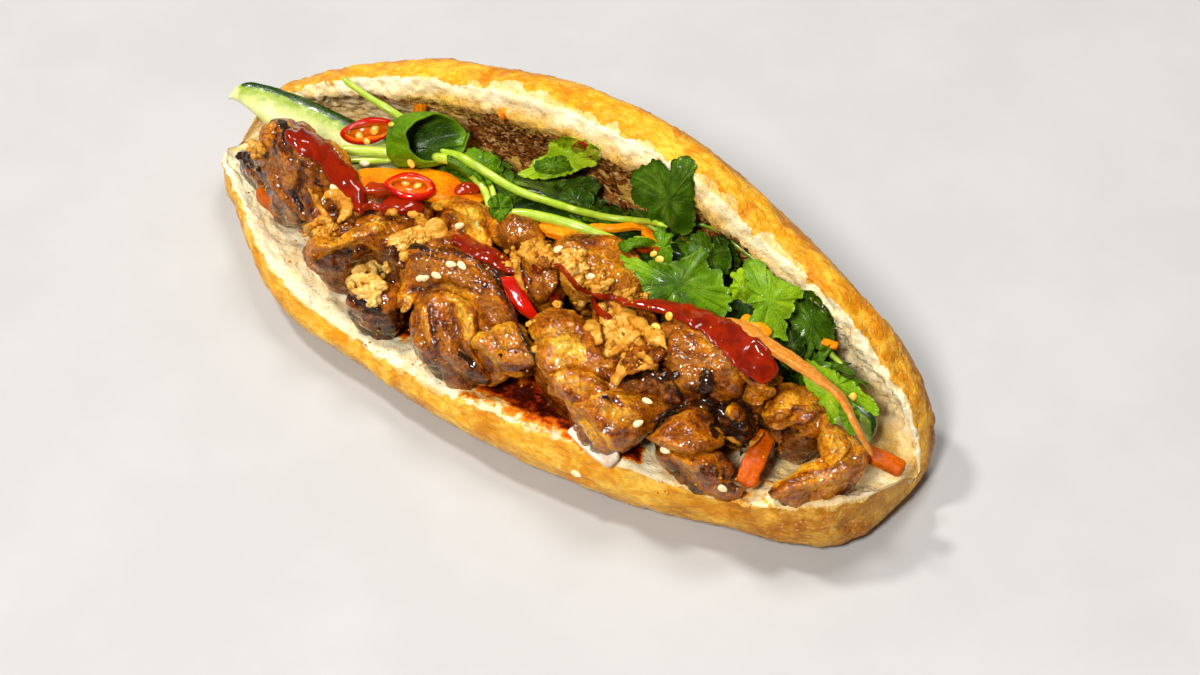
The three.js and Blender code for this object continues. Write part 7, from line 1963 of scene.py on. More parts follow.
def crisp(name, path, w, h, tone=0.55, roll=0.0, seed=1, frill=0.25, lift=None, path3=None, stands=(), rough=0.45, nj=24, pile=None, step=0.62, n=2.6):
    P = np.array(path3, float) if path3 is not None else lay(path, (np.max(h) * 0.35 if lift is None else lift))
    C = curve(P, 160)
    L = np.linalg.norm(np.diff(C, axis=0), axis=1).sum()
    ni = int(np.clip((L + 4) / step, 18, 120))
    ww = np.interp(np.linspace(0, 1, 13), np.linspace(0, 1, np.size(w)), np.atleast_1d(np.asarray(w, float)))
    rng = np.random.default_rng(seed)
    ww = ww * (1 + frill * rng.uniform(-1, 1, 13))
    G, a, t, Pc, fr = sweep(C, ww, h, ni, nj, roll=roll, n=n, blunt=5, seed=seed, rough=0.12)
    N = out_normals(G, Pc)
    bub = worley(G, 1.7, seed + 3)[0]
    V = G + N * (rough * fbm(G, 2.4, 3, seed) + 0.8 * rough * (0.5 - bub) + 0.4 * rough * fbm(G, 0.9, 2, seed + 4))[..., None]
    Vm, q, tr = tube_mesh(V)
    tn = tube_attr(np.clip(tone + 0.25 * (0.5 - bub) + 0.25 * fbm(G, 4.0, 2, seed + 5) - 0.15 * sm(0.5, 1.0, np.abs(np.cos(a))), 0, 1))
    (pile or ONIONS).add(Vm, q, tr, tone=tn)
    solid(Vm, [q, tr])


def pillow(outline, z_lift, thick, seed, tilt=(0, 0), n=76, rings=8, bulge=0.0, rough=0.3, wave=0.0, curl=0.0, flat_top=3):
    """A closed slab over a traced outline. Returns vertices, faces and the rim share of each vertex."""
    O = closed_outline([(*p, 0) for p in outline], n)[:, :2] if len(outline[0]) == 2 else closed_outline(outline, n)
    c = O.mean(0)
    T = tree()
    ds = []
    for p in [c] + [O[k] * 0.75 + c * 0.25 for k in range(0, n, 6)]:
        d = ray(*p)
        loc, _, _, dd = T.ray_cast(Vector(EYE + d * 600.0), Vector(d), 900.0)
        if loc is not None:
            ds.append(EYE + d * (600.0 + dd))
    ds = np.array(ds)
    depth = (ds - EYE) @ FWD
    c3 = EYE + ray(*c) * (np.percentile(depth, 30) / (ray(*c) @ FWD)) + BACK * z_lift
    nv = unit(BACK + RIGHT * tilt[0] + UP * tilt[1])
    q = np.linspace(0.0, 1.0, rings + 1)[1:] ** 0.7
    pts = c + (O[None] - c) * q[:, None, None]
    flat = np.vstack([c[None], pts.reshape(-1, 2)])
    rim = np.concatenate([[0], np.repeat(q, n)])
    P3 = np.array([at_plane(x, y, c3, nv) for x, y in flat])
    size = np.linalg.norm(O - c, axis=1).max()
    v = (flat - c) / size
    P3 = P3 + nv * (bulge * (1 - rim ** 2) + wave * np.sin(v[:, 0] * 5 + seed) * 0.5 - curl * v[:, 0] ** 2)[:, None]
    prof = np.sqrt(np.clip(1 - rim ** flat_top, 0, 1))
    top = P3 + nv * (thick / 2 * prof)[:, None]
    bot = P3 - nv * (thick / 2 * prof)[:, None]
    r = rough * (0.3 + 0.7 * prof)
    top = top + nv * (r * (fbm(top, 2.2, 3, seed) + 0.8 * (0.5 - worley(top, 1.8, seed)[0])))[:, None]
    k = len(flat)
    quad = grid_faces(rings, n, base=1)
    tri = np.stack([np.zeros(n, int), 1 + np.arange(n), 1 + (np.arange(n) + 1) % n], -1)
    # orientation
    f = quad[0]
    nn = np.cross(P3[f[1]] - P3[f[0]], P3[f[2]] - P3[f[0]])
    o = 1 + (rings - 1) * n + np.arange(n)
    o2 = np.roll(o, -1)
    wall = np.stack([o, o2, o2 + k, o + k], -1)
    if nn @ nv > 0:
        quads = np.vstack([quad, quad[:, ::-1] + k, wall])
        tris = np.vstack([tri, tri[:, ::-1] + k])
        f2 = wall
    else:
        quads = np.vstack([quad[:, ::-1], quad + k, wall[:, ::-1]])
        tris = np.vstack([tri[:, ::-1], tri + k])
    V = np.vstack([top, bot])
    # the wall has to turn the same way as the top
    a, b = V[o[0]], V[o[1]]
    return V, quads, tris, np.concatenate([rim, rim])


def slab(outline, tone, thick=2.4, seed=1, lift=0.6, tilt=(0, 0), **kw):
    V, q, t, rim = pillow(outline, lift, thick, seed, tilt, **kw)
    tn = np.clip(tone + 0.22 * fbm(V, 3.0, 2, seed) - 0.25 * rim ** 6 + 0.15 * (0.5 - worley(V, 1.8, seed)[0]), 0, 1)
    ONIONS.add(V, q, t, tone=tn)
    solid(V, [q, t])


def lump(pos, size, seed, squash=0.75, nu=14, nv=10, rough=0.35):
    """A small closed irregular grain."""
    rng = np.random.default_rng(seed)
    u = np.linspace(0, 2 * math.pi, nu, endpoint=False)
    v = np.linspace(0, math.pi, nv)
    U, W = np.meshgrid(u, v)
    D = np.stack([np.sin(W) * np.cos(U), np.sin(W) * np.sin(U), np.cos(W)], -1)
    r = 1 + rough * fbm(D * 2 + seed * 3.7, 1.1, 2, seed)
    s = size * np.array([1.0, rng.uniform(0.6, 0.95), squash * rng.uniform(0.7, 1.1)])
    a = rng.uniform(0, 2 * math.pi)
    R = np.array([[math.cos(a), -math.sin(a), 0], [math.sin(a), math.cos(a), 0], [0, 0, 1]])
    G = (D * r[..., None] * s / 2) @ R.T + pos
    V, q, t = tube_mesh(G)
    return V, q, t


def orient(L, normal, spin):
    """Turns a local mesh (its flat side down on z=0) to a normal."""
    z = unit(np.asarray(normal, float))
    x = unit(np.cross([0.3, 1.0, 0.2], z))
    y = np.cross(z, x)
    c, s = math.cos(spin), math.sin(spin)
    return L[:, :1] * (x * c + y * s) + L[:, 1:2] * (y * c - x * s) + L[:, 2:3] * z


def seed_shape(length, width, thick, kind="sesame"):
    nu, nv = 18, 14
    u = np.linspace(0, 2 * math.pi, nu, endpoint=False)
    v = np.linspace(0, math.pi, nv)
    U, W = np.meshgrid(u, v)
    x = -np.cos(W)
    r = np.sin(W)
    if kind == "sesame":
        r = r * (1 - 0.22 * (x + 0.1))
    else:
        r = r * (1 + 0.12 * np.cos(U))
    G = np.stack([x * length / 2, r * np.cos(U) * width / 2, r * np.sin(U) * thick / 2 + 0.0], -1)
    return tube_mesh(G)


def put_seed(pile, px, py, spin, length, width, thick, kind="sesame", lift=0.15, face=0.5, seed=0):
    p, n = hit(px, py)
    n = unit(unit(n) * (1 - face) + BACK * face)
    V, q, t = seed_shape(length, width, thick, kind)
    V = orient(V, n, spin) + p + n * (thick / 2 - lift + 0.1)
    pile.add(V, q, t)
    return V


def scatter(pile, px, py, rx, ry, count, lo, hi, seed, sink=0.25, attrs=None, power=1.6, region=None, lit=None):
    rng = np.random.default_rng(seed)
    made = 0
    for k in range(count * 4):
        if made >= count:
            break
        a, r = rng.uniform(0, 2 * math.pi), math.sqrt(rng.uniform())
        x, y = px + rx * r * math.cos(a), py + ry * r * math.sin(a)
        h = hit(x, y)
        if h is None or (region and not region(h[0], h[1])):
            continue
        p, n = h
        size = lo + (hi - lo) * rng.uniform() ** power
        V, q, t = lump(np.zeros(3), size, seed * 131 + k, nu=9 if size < 1.2 else 14, nv=7 if size < 1.2 else 10)
        V = V + p + unit(n) * size * (0.5 * 0.75 - sink)
        at = attrs(rng, len(V)) if attrs else {}
        pile.add(V, q, t, **at)
        made += 1


def drape(path, width, thick, seed, name=None, k=0.0, nw=17, step=1.5, close=26, ends=0.5, wob=0.10, pull=0.6, zmin=None):
    """Sauce laid along a picture path: it follows what is under it and bridges small hollows."""
    pts = np.array([[p[0], p[1], 0.0] for p in path], float)
    L = np.linalg.norm(np.diff(pts, axis=0), axis=1).sum()
    n = max(8, int(L / step))
    C = curve(pts, n)[:, :2]
    ww = np.interp(np.linspace(0, 1, n), np.linspace(0, 1, np.size(width)), np.atleast_1d(np.asarray(width, float)))
    tt = np.gradient(C, axis=0)
    nn = unit(np.stack([-tt[:, 1], tt[:, 0]], -1))
    s = np.linspace(0, 1, n)
    e = L / n
    run = np.minimum(np.arange(n), np.arange(n)[::-1]) * e
    cap = np.sqrt(np.clip(1 - (1 - np.clip(run / (ww.mean() * ends), 0, 1)) ** 2, 0, 1))
    rngn = fbm(np.stack([s * L * 0.3, 0 * s, 0 * s + seed], -1), 2.2, 3, seed)
    rng2 = fbm(np.stack([s * L * 0.3, 0 * s + 9, 0 * s + seed], -1), 2.2, 3, seed + 1)
    u = np.linspace(-1, 1, nw)
    us = np.sin(u * math.pi / 2)
    hw = ww / 2 * (0.12 + 0.88 * cap)
    XY = C[:, None] + nn[:, None] * (us[None, :, None] * (hw * np.where(us[None, :] > 0, 1 + wob * 2 * rngn[:, None], 1 + wob * 2 * rng2[:, None]).T).T[..., None])
    T = tree()
    D = np.zeros((n, nw, 3))
    dist = np.zeros((n, nw))
    for i in range(n):
        for j in range(nw):
            d = ray(*XY[i, j])
            D[i, j] = d
            loc, _, _, dd = T.ray_cast(Vector(EYE + d * 600.0), Vector(d), 900.0)
            dist[i, j] = 600.0 + dd if loc is not None else np.nan
    m = np.nanmedian(dist)
    dist = np.where(np.isnan(dist), m + 5, dist)
    hd = dist.copy()
    if zmin is not None:
        zz = np.interp(s, np.linspace(0, 1, len(zmin)), zmin)[:, None]
        dist = np.minimum(dist, (zz - EYE[2]) / D[..., 2])
    for _ in range(close):
        p = np.pad(dist, 1, mode="edge")
        avg = (p[:-2, 1:-1] + p[2:, 1:-1] + p[1:-1, :-2] + p[1:-1, 2:]) / 4
        dist = np.minimum(hd, dist * (1 - pull) + avg * pull)
    for _ in range(10):
        p = np.pad(dist, 1, mode="edge")
        dist = 0.4 * dist + 0.15 * (p[:-2, 1:-1] + p[2:, 1:-1] + p[1:-1, :-2] + p[1:-1, 2:])
    prof = np.clip(1 - us[None, :] ** 2, 0, 1) ** 0.5
    rag = 1 + 0.25 * fbm(EYE + D * dist[..., None], 6.0, 2, seed + 4)
    H = thick * prof * (0.15 + 0.85 * cap[:, None]) * rag
    dist = np.minimum(dist, hd + 0.45 * H)
    top = EYE + D * (dist - H - 0.12)[..., None]
    bot = EYE + D * (np.minimum(hd, dist + 3.0) + 0.5)[..., None]
    V = np.vstack([top.reshape(-1, 3), bot.reshape(-1, 3)])
    base = n * nw
    q1 = grid_faces(n, nw, wrap=False)
    f = q1[len(q1) // 2]
    nrm = np.cross(V[f[1]] - V[f[0]], V[f[2]] - V[f[0]])
    up = nrm @ BACK > 0
    q1 = grid_faces(n, nw, wrap=False, flip=not up)
    q2 = grid_faces(n, nw, wrap=False, base=base, flip=up)
    rim = np.concatenate([np.arange(nw), np.arange(1, n) * nw + nw - 1, (n - 1) * nw + np.arange(nw - 2, -1, -1), np.arange(n - 2, 0, -1) * nw])
    r2 = np.roll(rim, -1)
    side = np.stack([rim, r2, r2 + base, rim + base], -1)
    # turn the side the same way as the top: an edge of the top must run the other way in the side
    edges = set()
    for fc in q1:
        for a_, b_ in zip(fc, np.roll(fc, -1)):
            edges.add((int(a_), int(b_)))
    if (int(rim[0]), int(r2[0])) in edges:
        side = side[:, ::-1]
    kk = np.full(len(V), float(k)) if np.ndim(k) == 0 else np.concatenate([np.repeat(np.interp(s, np.linspace(0, 1, len(k)), k), nw)] * 2)
    SAUCES.add(V, np.vstack([q1, q2, side]), np.zeros((0, 3), int), k=np.clip(kk, 0, 1))
    solid(V, [q1, q2, side])
    return V


# the long thin stem lies over the leaves
Vm, q, tr = stem(lay([(440, 150), (462, 158), (486, 172), (512, 188), (547, 201), (600, 216), (655, 223), (668, 227)], 0.9, close=40), [1.4, 1.35, 1.25, 1.15, 1.05, 1.0, 0.9, 0.8], lum=0.62, from_px=False, seed=5)
solid(Vm, [q, tr])
TREE_STEM.make("coriander_stems", STEM, slot="herb_leaf")


# ---- chillies ---------------------------------------------------------------------------
def chilli_ring(centre, z, radii, rot, tube, tilt, seed, arc=(0, 360)):
    cx, cy = centre
    c3 = at_z(cx, cy, z)
    nv = unit(BACK + RIGHT * tilt[0] + UP * tilt[1])
    n, nj = 84, 22
    full = arc[1] - arc[0] >= 359
    th = np.radians(np.linspace(arc[0], arc[1], n, endpoint=not full))
    ro = math.radians(rot)
    pts = []
    for a in th:
        x, y = radii[0] * math.cos(a) * (1 + 0.05 * math.sin(3 * a + seed)), radii[1] * math.sin(a) * (1 + 0.06 * math.sin(2 * a + seed))
        pts.append(at_plane(cx + x * math.cos(ro) - y * math.sin(ro), cy + x * math.sin(ro) + y * math.cos(ro), c3, nv))
    C = np.array(pts)
    if full:
        mid = C.mean(0)
        G = np.zeros((n, nj, 3))
        aa = np.linspace(0, 2 * math.pi, nj, endpoint=False)
        for i in range(n):
            out = unit(C[i] - mid)
            tw = tube[0] * (1 + 0.12 * math.sin(2 * th[i] + seed))
            for j, a in enumerate(aa):
                ca, sa = math.cos(a), math.sin(a)
                G[i, j] = C[i] + out * tw / 2 * np.sign(ca) * abs(ca) ** 0.8 + nv * tube[1] / 2 * np.sign(sa) * abs(sa) ** 0.8
        G = G + 0.12 * fbm(G, 2.0, 2, seed)[..., None] * nv
        inner = sm(0.1, -0.6, np.cos(aa))[None] * np.ones((n, 1))
        V = G.reshape(-1, 3)
        q = []
        for i in range(n):
            i2 = (i + 1) % n
            for j in range(nj):
                j2 = (j + 1) % nj
                q.append((i * nj + j, i2 * nj + j, i2 * nj + j2, i * nj + j2))
        q = np.array(q)
        nrm = np.cross(V[q[0][1]] - V[q[0][0]], V[q[0][2]] - V[q[0][0]])
        if nrm @ (V[q[0][0]] - C[0]) < 0:
            q = q[:, ::-1]
        CHILLIES.add(V, q, np.zeros((0, 3), int), k=inner.ravel() * 0.8)
        solid(V, [q])
        # the pale pith inside
        k = 40
        ring = [at_plane(cx + radii[0] * 0.8 * math.cos(a) * math.cos(ro) - radii[1] * 0.8 * math.sin(a) * math.sin(ro),
                         cy + radii[0] * 0.8 * math.cos(a) * math.sin(ro) + radii[1] * 0.8 * math.sin(a) * math.cos(ro), c3 - nv * tube[1] * 0.22, nv) for a in np.linspace(0, 2 * math.pi, k, endpoint=False)]
        ring = np.array(ring)
        cc = ring.mean(0)
        Vp = np.vstack([ring + nv * 0.25, ring - nv * 0.35, cc + nv * 0.1, cc - nv * 0.5])
        i0 = np.arange(k)
        i1 = (i0 + 1) % k
        tr = np.vstack([np.stack([i0, i1, np.full(k, 2 * k)], -1), np.stack([i1 + k, i0 + k, np.full(k, 2 * k + 1)], -1)])
        qq = np.stack([i0 + k, i1 + k, i1, i0], -1)
        nr = np.cross(Vp[tr[0][1]] - Vp[tr[0][0]], Vp[tr[0][2]] - Vp[tr[0][0]])
        if nr @ nv < 0:
            tr, qq = tr[:, ::-1], qq[:, ::-1]
        CHILLIES.add(Vp, qq, tr, k=np.full(len(Vp), 0.75))
        solid(Vp, [qq, tr])
    else:
        G, a, t, Pc, fr = sweep(C, tube[0] * 1.0, tube[1], 60, nj, n=2.4, blunt=8, seed=seed)
        N = out_normals(G, Pc)
        V = G + N * (0.12 * fbm(G, 2.0, 2, seed))[..., None]
        Vm, q, tr = tube_mesh(V)
        CHILLIES.add(Vm, q, tr, k=tube_attr(0 * a))
        solid(Vm, [q, tr])


CHILLIES, ONIONS, SAUCES, SESAMES, SEEDS, CRUMBS = Pile(), Pile(), Pile(), Pile(), Pile(), Pile()
chilli_ring((368, 131), 40, (24, 9), -8, (2.6, 3.0), (0.1, -0.3), 3)
crisp_back = lay([(345, 141), (368, 140), (392, 139)], 0.6)

# ---- sauces: the first ones lie under the onions ------------------------------------------
drape([(287, 129), (292, 136), (302, 141), (314, 147), (326, 157), (336, 168), (346, 180), (354, 193), (360, 205), (364, 214)], [12, 22, 26, 23, 22, 24, 25, 23, 19, 11], 1.7, 61, nw=23, close=70)
drape([(364, 190), (380, 190), (396, 196)], [12, 16, 10], 1.0, 62, k=0.25)
drape([(362, 208), (372, 206), (384, 209)], [7, 8, 8], 0.9, 63, k=0.2)
drape([(381, 212), (395, 206), (410, 206), (424, 211)], [16, 22, 22, 14], 2.2, 64)
drape([(454, 192), (466, 188), (480, 190)], [9, 13, 8], 1.3, 65, k=0.15)
chilli_ring((411, 187), 47, (22, 8.5), 6, (2.9, 3.4), (0.0, 0.35), 5)
drape([(450, 239), (462, 242), (478, 250), (492, 257), (505, 264), (518, 273)], [12, 17, 17, 16, 15, 12], 2.0, 66)
drape([(532, 264), (540, 268), (547, 274)], [9, 13, 8], 1.0, 67, k=0.1)
for o, sd in (([(495, 279), (510, 276), (524, 277), (527, 284), (526, 292), (532, 304), (539, 318), (535, 321), (528, 318), (518, 311), (510, 301), (503, 288)], 7),):
    V, q, t, rim = pillow(o, 1.4, 2.6, sd, (0.0, 0.1), rough=0.1, curl=1.0)
    CHILLIES.add(V, q, t, k=0.12 * rim ** 8)
    solid(V, [q, t])
CHILLIES.make("chilli_pieces", CHILLI, slot="chilli", stands_for=("chilli_ring_top", "chilli_ring_back", "chilli_strip_mid"))

# ---- crisp onions -----------------------------------------------------------------------
# left end
crisp("", [(309, 189), (314, 197), (321, 208), (327, 219), (333, 227)], [1.2, 2.0, 2.0, 1.6], [1.1, 1.3, 1.1], tone=0.6, seed=201)
crisp("", [(324, 198), (331, 195), (339, 197), (345, 205), (346, 215), (338, 222)], [2.6, 3.4, 3.6, 3.4, 2.6], [2.2, 2.6, 2.4], tone=0.62, seed=202, lift=1.6)
crisp("", [(298, 231), (307, 229), (315, 224), (324, 219), (332, 222)], [3.0, 3.8, 3.6, 3.0, 2.4], [2.4, 2.6, 2.2], tone=0.68, seed=203)
crisp("", [(303, 236), (314, 233), (326, 229), (338, 229)], [2.6, 3.2, 3.0], [1.8, 2.0], tone=0.55, seed=204)
scatter(ONIONS, 330, 230, 14, 9, 16, 1.0, 3.0, 205, attrs=lambda r, n: dict(tone=np.full(n, r.uniform(0.35, 0.75))))
scatter(ONIONS, 257, 149, 9, 8, 26, 1.0, 3.2, 206, attrs=lambda r, n: dict(tone=np.full(n, r.uniform(0.45, 0.8))))
# flat slab with its broken bit
slab([(388, 237), (400, 231), (412, 227), (424, 223), (437, 217), (444, 222), (448, 231), (443, 238), (434, 245), (424, 247), (414, 251), (402, 252), (392, 252), (388, 245)], 0.84, thick=1.9, seed=211, lift=1.4, tilt=(0.05, 0.35), rough=1.2, flat_top=12)
scatter(ONIONS, 418, 238, 20, 6, 30, 0.9, 2.4, 215, attrs=lambda r, n: dict(tone=np.full(n, r.uniform(0.6, 0.95))))
slab([(399, 253), (408, 251), (409, 256), (404, 262), (400, 259)], 0.6, thick=1.8, seed=212, lift=0.6, rough=0.4, n=48, rings=6)
crisp("", [(386, 216), (392, 211), (397, 216), (401, 222)], [1.8, 2.4, 2.0], [1.6, 1.6], tone=0.62, seed=213)
crisp("", [(408, 214), (417, 216), (423, 224)], [2.2, 3.4, 2.4], [1.8, 2.2], tone=0.6, seed=214)
# battered chunk
for k, (x, y, s) in enumerate(((362, 268, 5.6), (374, 266, 6.2), (383, 274, 5.6), (356, 279, 5.2), (367, 281, 6.4), (379, 285, 5.6), (364, 292, 5.0), (374, 297, 4.6), (372, 303, 3.0), (388, 268, 3.4), (352, 286, 3.2))):
    p, nrm = hit(x, y)
    V, q, t = lump(np.zeros(3), s, 220 + k, squash=0.85, nu=24, nv=18, rough=0.45)
    V = V + V * (0.10 * fbm(V, 1.6, 2, 230 + k))[:, None] + p + BACK * s * 0.30
    ONIONS.add(V, q, t, tone=np.clip(0.92 + 0.3 * fbm(V, 2.2, 3, 7 + k), 0, 1))
    solid(V, [q, t])
# middle
crisp("", [(513, 246), (515, 258), (517, 272), (521, 284), (527, 294)], [1.4, 2.2, 2.4, 2.2, 1.2], [1.2, 1.6, 1.4], tone=0.62, seed=241, lift=1.2)
crisp("", [(524, 243), (534, 241), (546, 245), (552, 252)], [2.6, 3.8, 3.2], [2.0, 2.2], tone=0.62, seed=242)
scatter(ONIONS, 536, 252, 15, 9, 12, 1.2, 2.6, 243, attrs=lambda r, n: dict(tone=np.full(n, r.uniform(0.45, 0.8))))
scatter(ONIONS, 512, 258, 12, 10, 14, 0.9, 2.6, 244, attrs=lambda r, n: dict(tone=np.full(n, r.uniform(0.4, 0.75))))
slab([(561, 272), (566, 264), (573, 257), (579, 255), (583, 264), (586, 276), (584, 287), (577, 291), (568, 286), (560, 280)], 0.80, thick=3.4, seed=245, lift=1.6, tilt=(0.1, 0.2), rough=0.8, flat_top=6)
scatter(ONIONS, 572, 268, 14, 12, 12, 1.0, 2.4, 246, attrs=lambda r, n: dict(tone=np.full(n, r.uniform(0.55, 0.85))))
scatter(ONIONS, 599, 286, 11, 9, 12, 1.0, 2.6, 247, attrs=lambda r, n: dict(tone=np.full(n, r.uniform(0.4, 0.75))))
scatter(ONIONS, 626, 296, 16, 7, 26, 1.0, 2.8, 248, attrs=lambda r, n: dict(tone=np.full(n, r.uniform(0.5, 0.8))))
crisp("", [(582, 303), (587, 314), (592, 327), (600, 344)], [3.8, 5.4, 5.4, 3.2], [2.8, 3.4, 2.8], tone=0.64, seed=251, lift=1.9, rough=0.6, frill=0.35)
crisp("", [(606, 356), (615, 350), (627, 342), (641, 333)], [3.2, 5.4, 5.4, 3.0], [2.0, 2.4, 2.0], tone=0.72, seed=252, lift=1.8, roll=20)
for k, (x, y, s) in enumerate(((612, 328, 5.6), (623, 325, 5.2), (617, 338, 5.4), (630, 333, 4.6), (605, 320, 4.6), (614, 315, 4.6), (602, 308, 3.8), (610, 345, 3.8), (636, 342, 3.6))):
    p, nrm = hit(x, y)
    V, q, t = lump(np.zeros(3), s, 260 + k, squash=0.85, nu=20, nv=16, rough=0.5)
    V = V + p + BACK * s * 0.15
    ONIONS.add(V, q, t, tone=np.clip(0.68 + 0.25 * fbm(V, 2.4, 2, 9 + k), 0, 1))
    solid(V, [q, t])
crisp("", [(611, 303), (622, 311), (634, 321), (646, 330), (657, 339), (668, 349)], [3.4, 4.6, 4.2, 4.6, 4.4, 2.6], [2.6, 2.8, 2.8, 2.2], tone=0.66, seed=253, lift=2.2, rough=0.55, frill=0.35)
slab([(620, 362), (625, 368), (627, 374), (622, 379), (617, 386), (611, 383), (610, 378), (615, 373), (617, 366)], 0.56, thick=1.8, seed=254, lift=1.2, tilt=(-0.2, 0.3), rough=0.35, n=60, rings=7)
crisp("", [(637, 369), (648, 366), (660, 365)], [1.6, 2.2, 1.4], [1.0, 1.1], tone=0.66, seed=255)
crisp("", [(634, 352), (644, 357), (652, 364)], [1.6, 2.0, 1.4], [1.2, 1.2], tone=0.5, seed=256)
scatter(ONIONS, 632, 358, 18, 9, 14, 0.9, 2.2, 257, attrs=lambda r, n: dict(tone=np.full(n, r.uniform(0.35, 0.7))))
for x, y, s in ((557, 308, 2.4), (531, 324, 1.9), (535, 322, 1.2), (537, 350, 2.0), (646, 297, 1.8), (572, 306, 1.4), (575, 302, 1.0), (545, 333, 1.0)):
    p, nrm = hit(x, y)
    V, q, t = lump(np.zeros(3), s * 1.15, int(x * 7 + y), nu=16, nv=12, rough=0.5)
    ONIONS.add(V + p + unit(nrm) * s * 0.3, q, t, tone=np.full(len(V), 0.66))
for k, (x, y, s, tn) in enumerate(((527, 250, 4.4, 0.7), (535, 246, 4.6, 0.66), (544, 250, 4.8, 0.72), (550, 258, 4.2, 0.7), (540, 262, 4.0, 0.62), (531, 260, 3.6, 0.6), (562, 262, 4.6, 0.82), (570, 256, 5.0, 0.86), (579, 256, 4.6, 0.8),
                                   (572, 268, 5.2, 0.84), (583, 268, 4.4, 0.8), (577, 280, 4.6, 0.84), (590, 282, 4.0, 0.7), (598, 290, 4.4, 0.66), (606, 284, 3.8, 0.7))):
    p, nrm = hit(x, y)
    V, q, t = lump(np.zeros(3), s, 280 + k, squash=0.75, nu=20, nv=16, rough=0.55)
    V = V + p + BACK * s * 0.12
    ONIONS.add(V, q, t, tone=np.clip(tn + 0.28 * fbm(V, 2.0, 3, 19 + k), 0, 1))
    solid(V, [q, t])
# the thin forked strip at the right
crisp("", [(726, 444), (736, 447), (748, 445), (757, 440), (763, 432)], [1.4, 2.2, 2.0, 2.2, 1.2], [1.0, 1.2, 1.0], tone=0.58, seed=258, lift=1.6)
crisp("", [(724, 437), (733, 440), (742, 445)], [1.0, 1.4, 1.0], [0.9, 0.9], tone=0.5, seed=259, lift=1.0)
crisp("", [(779, 430), (781, 437), (779, 445)], [0.8, 1.0, 0.8], [0.8, 0.8], tone=0.35, seed=260, lift=0.8)
ONIONS.make("crispy_onions", ONION, slot="fried_onion",
            stands_for=("crispy_onion_left", "crispy_onion_flat", "crispy_onion_chunk", "crispy_onion_mid", "crispy_onion_strip", "crispy_onion_low", "crispy_onion_right"))

# ---- sauces over the onions --------------------------------------------------------------
drape([(551, 268), (558, 266), (564, 271), (572, 281), (580, 289), (590, 295), (600, 297), (612, 297), (622, 300), (632, 305)], [6, 7, 6, 6, 7, 7, 8, 7, 7, 8], 1.3, 71, k=0.05)
drape([(555, 276), (552, 286), (555, 298), (561, 309)], [5, 9, 10, 6], 1.0, 72, k=0.1)
drape([(591, 297), (597, 308), (604, 315), (612, 317)], [5, 6, 8, 6], 1.0, 73, k=0.05)
drape([(620, 306), (634, 303), (652, 305), (672, 309), (690, 315), (706, 322), (722, 332), (738, 345), (752, 357), (764, 369), (772, 380)], [5, 9, 14, 17, 20, 23, 27, 32, 35, 34, 24], 2.2, 74, nw=27, zmin=[47, 50, 51, 51.5, 52, 52, 51.5, 51, 50, 48.5, 46.5])
drape([(636, 250), (648, 250), (660, 249)], [5, 6, 4], 0.5, 75, k=0.5)
drape([(571, 150), (579, 146), (588, 145)], [5, 11, 6], 0.8, 76, k=0.1)
SAUCES.make("sauces", SAUCE, slot="chilli_sauce", stands_for=("sauce_left", "sauce_middle", "sauce_right"))

# ---- seeds ---------------------------------------------------------------------------------
for k, (x, y, sp) in enumerate(((451, 265, 0.4), (462, 266, -0.3), (421, 277, 1.3), (426, 277, 1.25), (437, 275, 0.2), (460, 225, 1.1), (559, 249, 0.9), (591, 276, 0.4), (516, 314, 1.2), (647, 402, 0.1),
                                (638, 423, 1.0), (666, 450, 0.2), (733, 464, -0.2), (722, 488, 0.1), (334, 188, 0.2), (577, 473, 0.2), (365, 163, 0.6))):
    put_seed(SESAMES, x, y, sp + 0.4, 3.1, 1.95, 1.1, lift=0.1, face=0.45, seed=k)
for k, (x, y, l, w) in enumerate(((411, 163, 3.0, 2.0), (406, 183, 2.6, 2.2), (418, 186, 2.6, 1.8), (375, 130, 3.0, 2.6), (360, 136, 2.8, 2.4), (367, 141, 2.2, 1.8), (660, 259, 2.6, 2.2), (852, 397, 2.8, 2.2), (664, 321, 3.0, 2.4), (656, 328, 3.0, 2.2),
                                 (392, 125, 2.0, 1.4), (654, 254, 2.2, 1.6), (670, 316, 2.6, 2.2))):
    put_seed(SEEDS, x, y, k * 0.7, l, w, 0.9, kind="round", lift=0.1, face=0.5, seed=k)
SESAMES.make("sesame_seeds", SESAME)
SEEDS.make("chilli_seeds", SEED)

# ---- burnt strands and small scraps of meat --------------------------------------------------
SCRAPS = Pile()


def scrap(path, w, h, tone, char, seed, lift=0.6, pale=0.0, rough=0.35, nj=18, frill=0.2):
    C = curve(lay(path, lift), 140)
    L = np.linalg.norm(np.diff(C, axis=0), axis=1).sum()
    ni = int(np.clip(L / 0.7, 16, 110))
    ww = np.interp(np.linspace(0, 1, 11), np.linspace(0, 1, np.size(w)), np.atleast_1d(np.asarray(w, float)))
    ww = ww * (1 + frill * np.random.default_rng(seed).uniform(-1, 1, 11))
    G, a, t, Pc, fr = sweep(C, ww, h, ni, nj, n=2.2, blunt=5, seed=seed, rough=0.1)
    N = out_normals(G, Pc)
    V = G + N * (rough * fbm(G, 3.0, 3, seed) + 0.5 * rough * (ridged(G, 2.0, 2, seed + 1) - 0.5))[..., None]
    Vm, q, tr = tube_mesh(V)
    n = len(Vm)
    tn = tube_attr(np.clip(tone + 0.25 * fbm(G, 4.0, 2, seed + 2), 0, 1))
    # the wrinkle valleys are darkened: painted shade
    SCRAPS.add(Vm, q, tr, tone=tn, char=np.full(n, float(char)), cav=tube_attr(0.3 * sm(0.4, 0.2, ridged(G, 2.0, 2, seed + 1))), pale=np.full(n, float(pale)))
    solid(Vm, [q, tr])


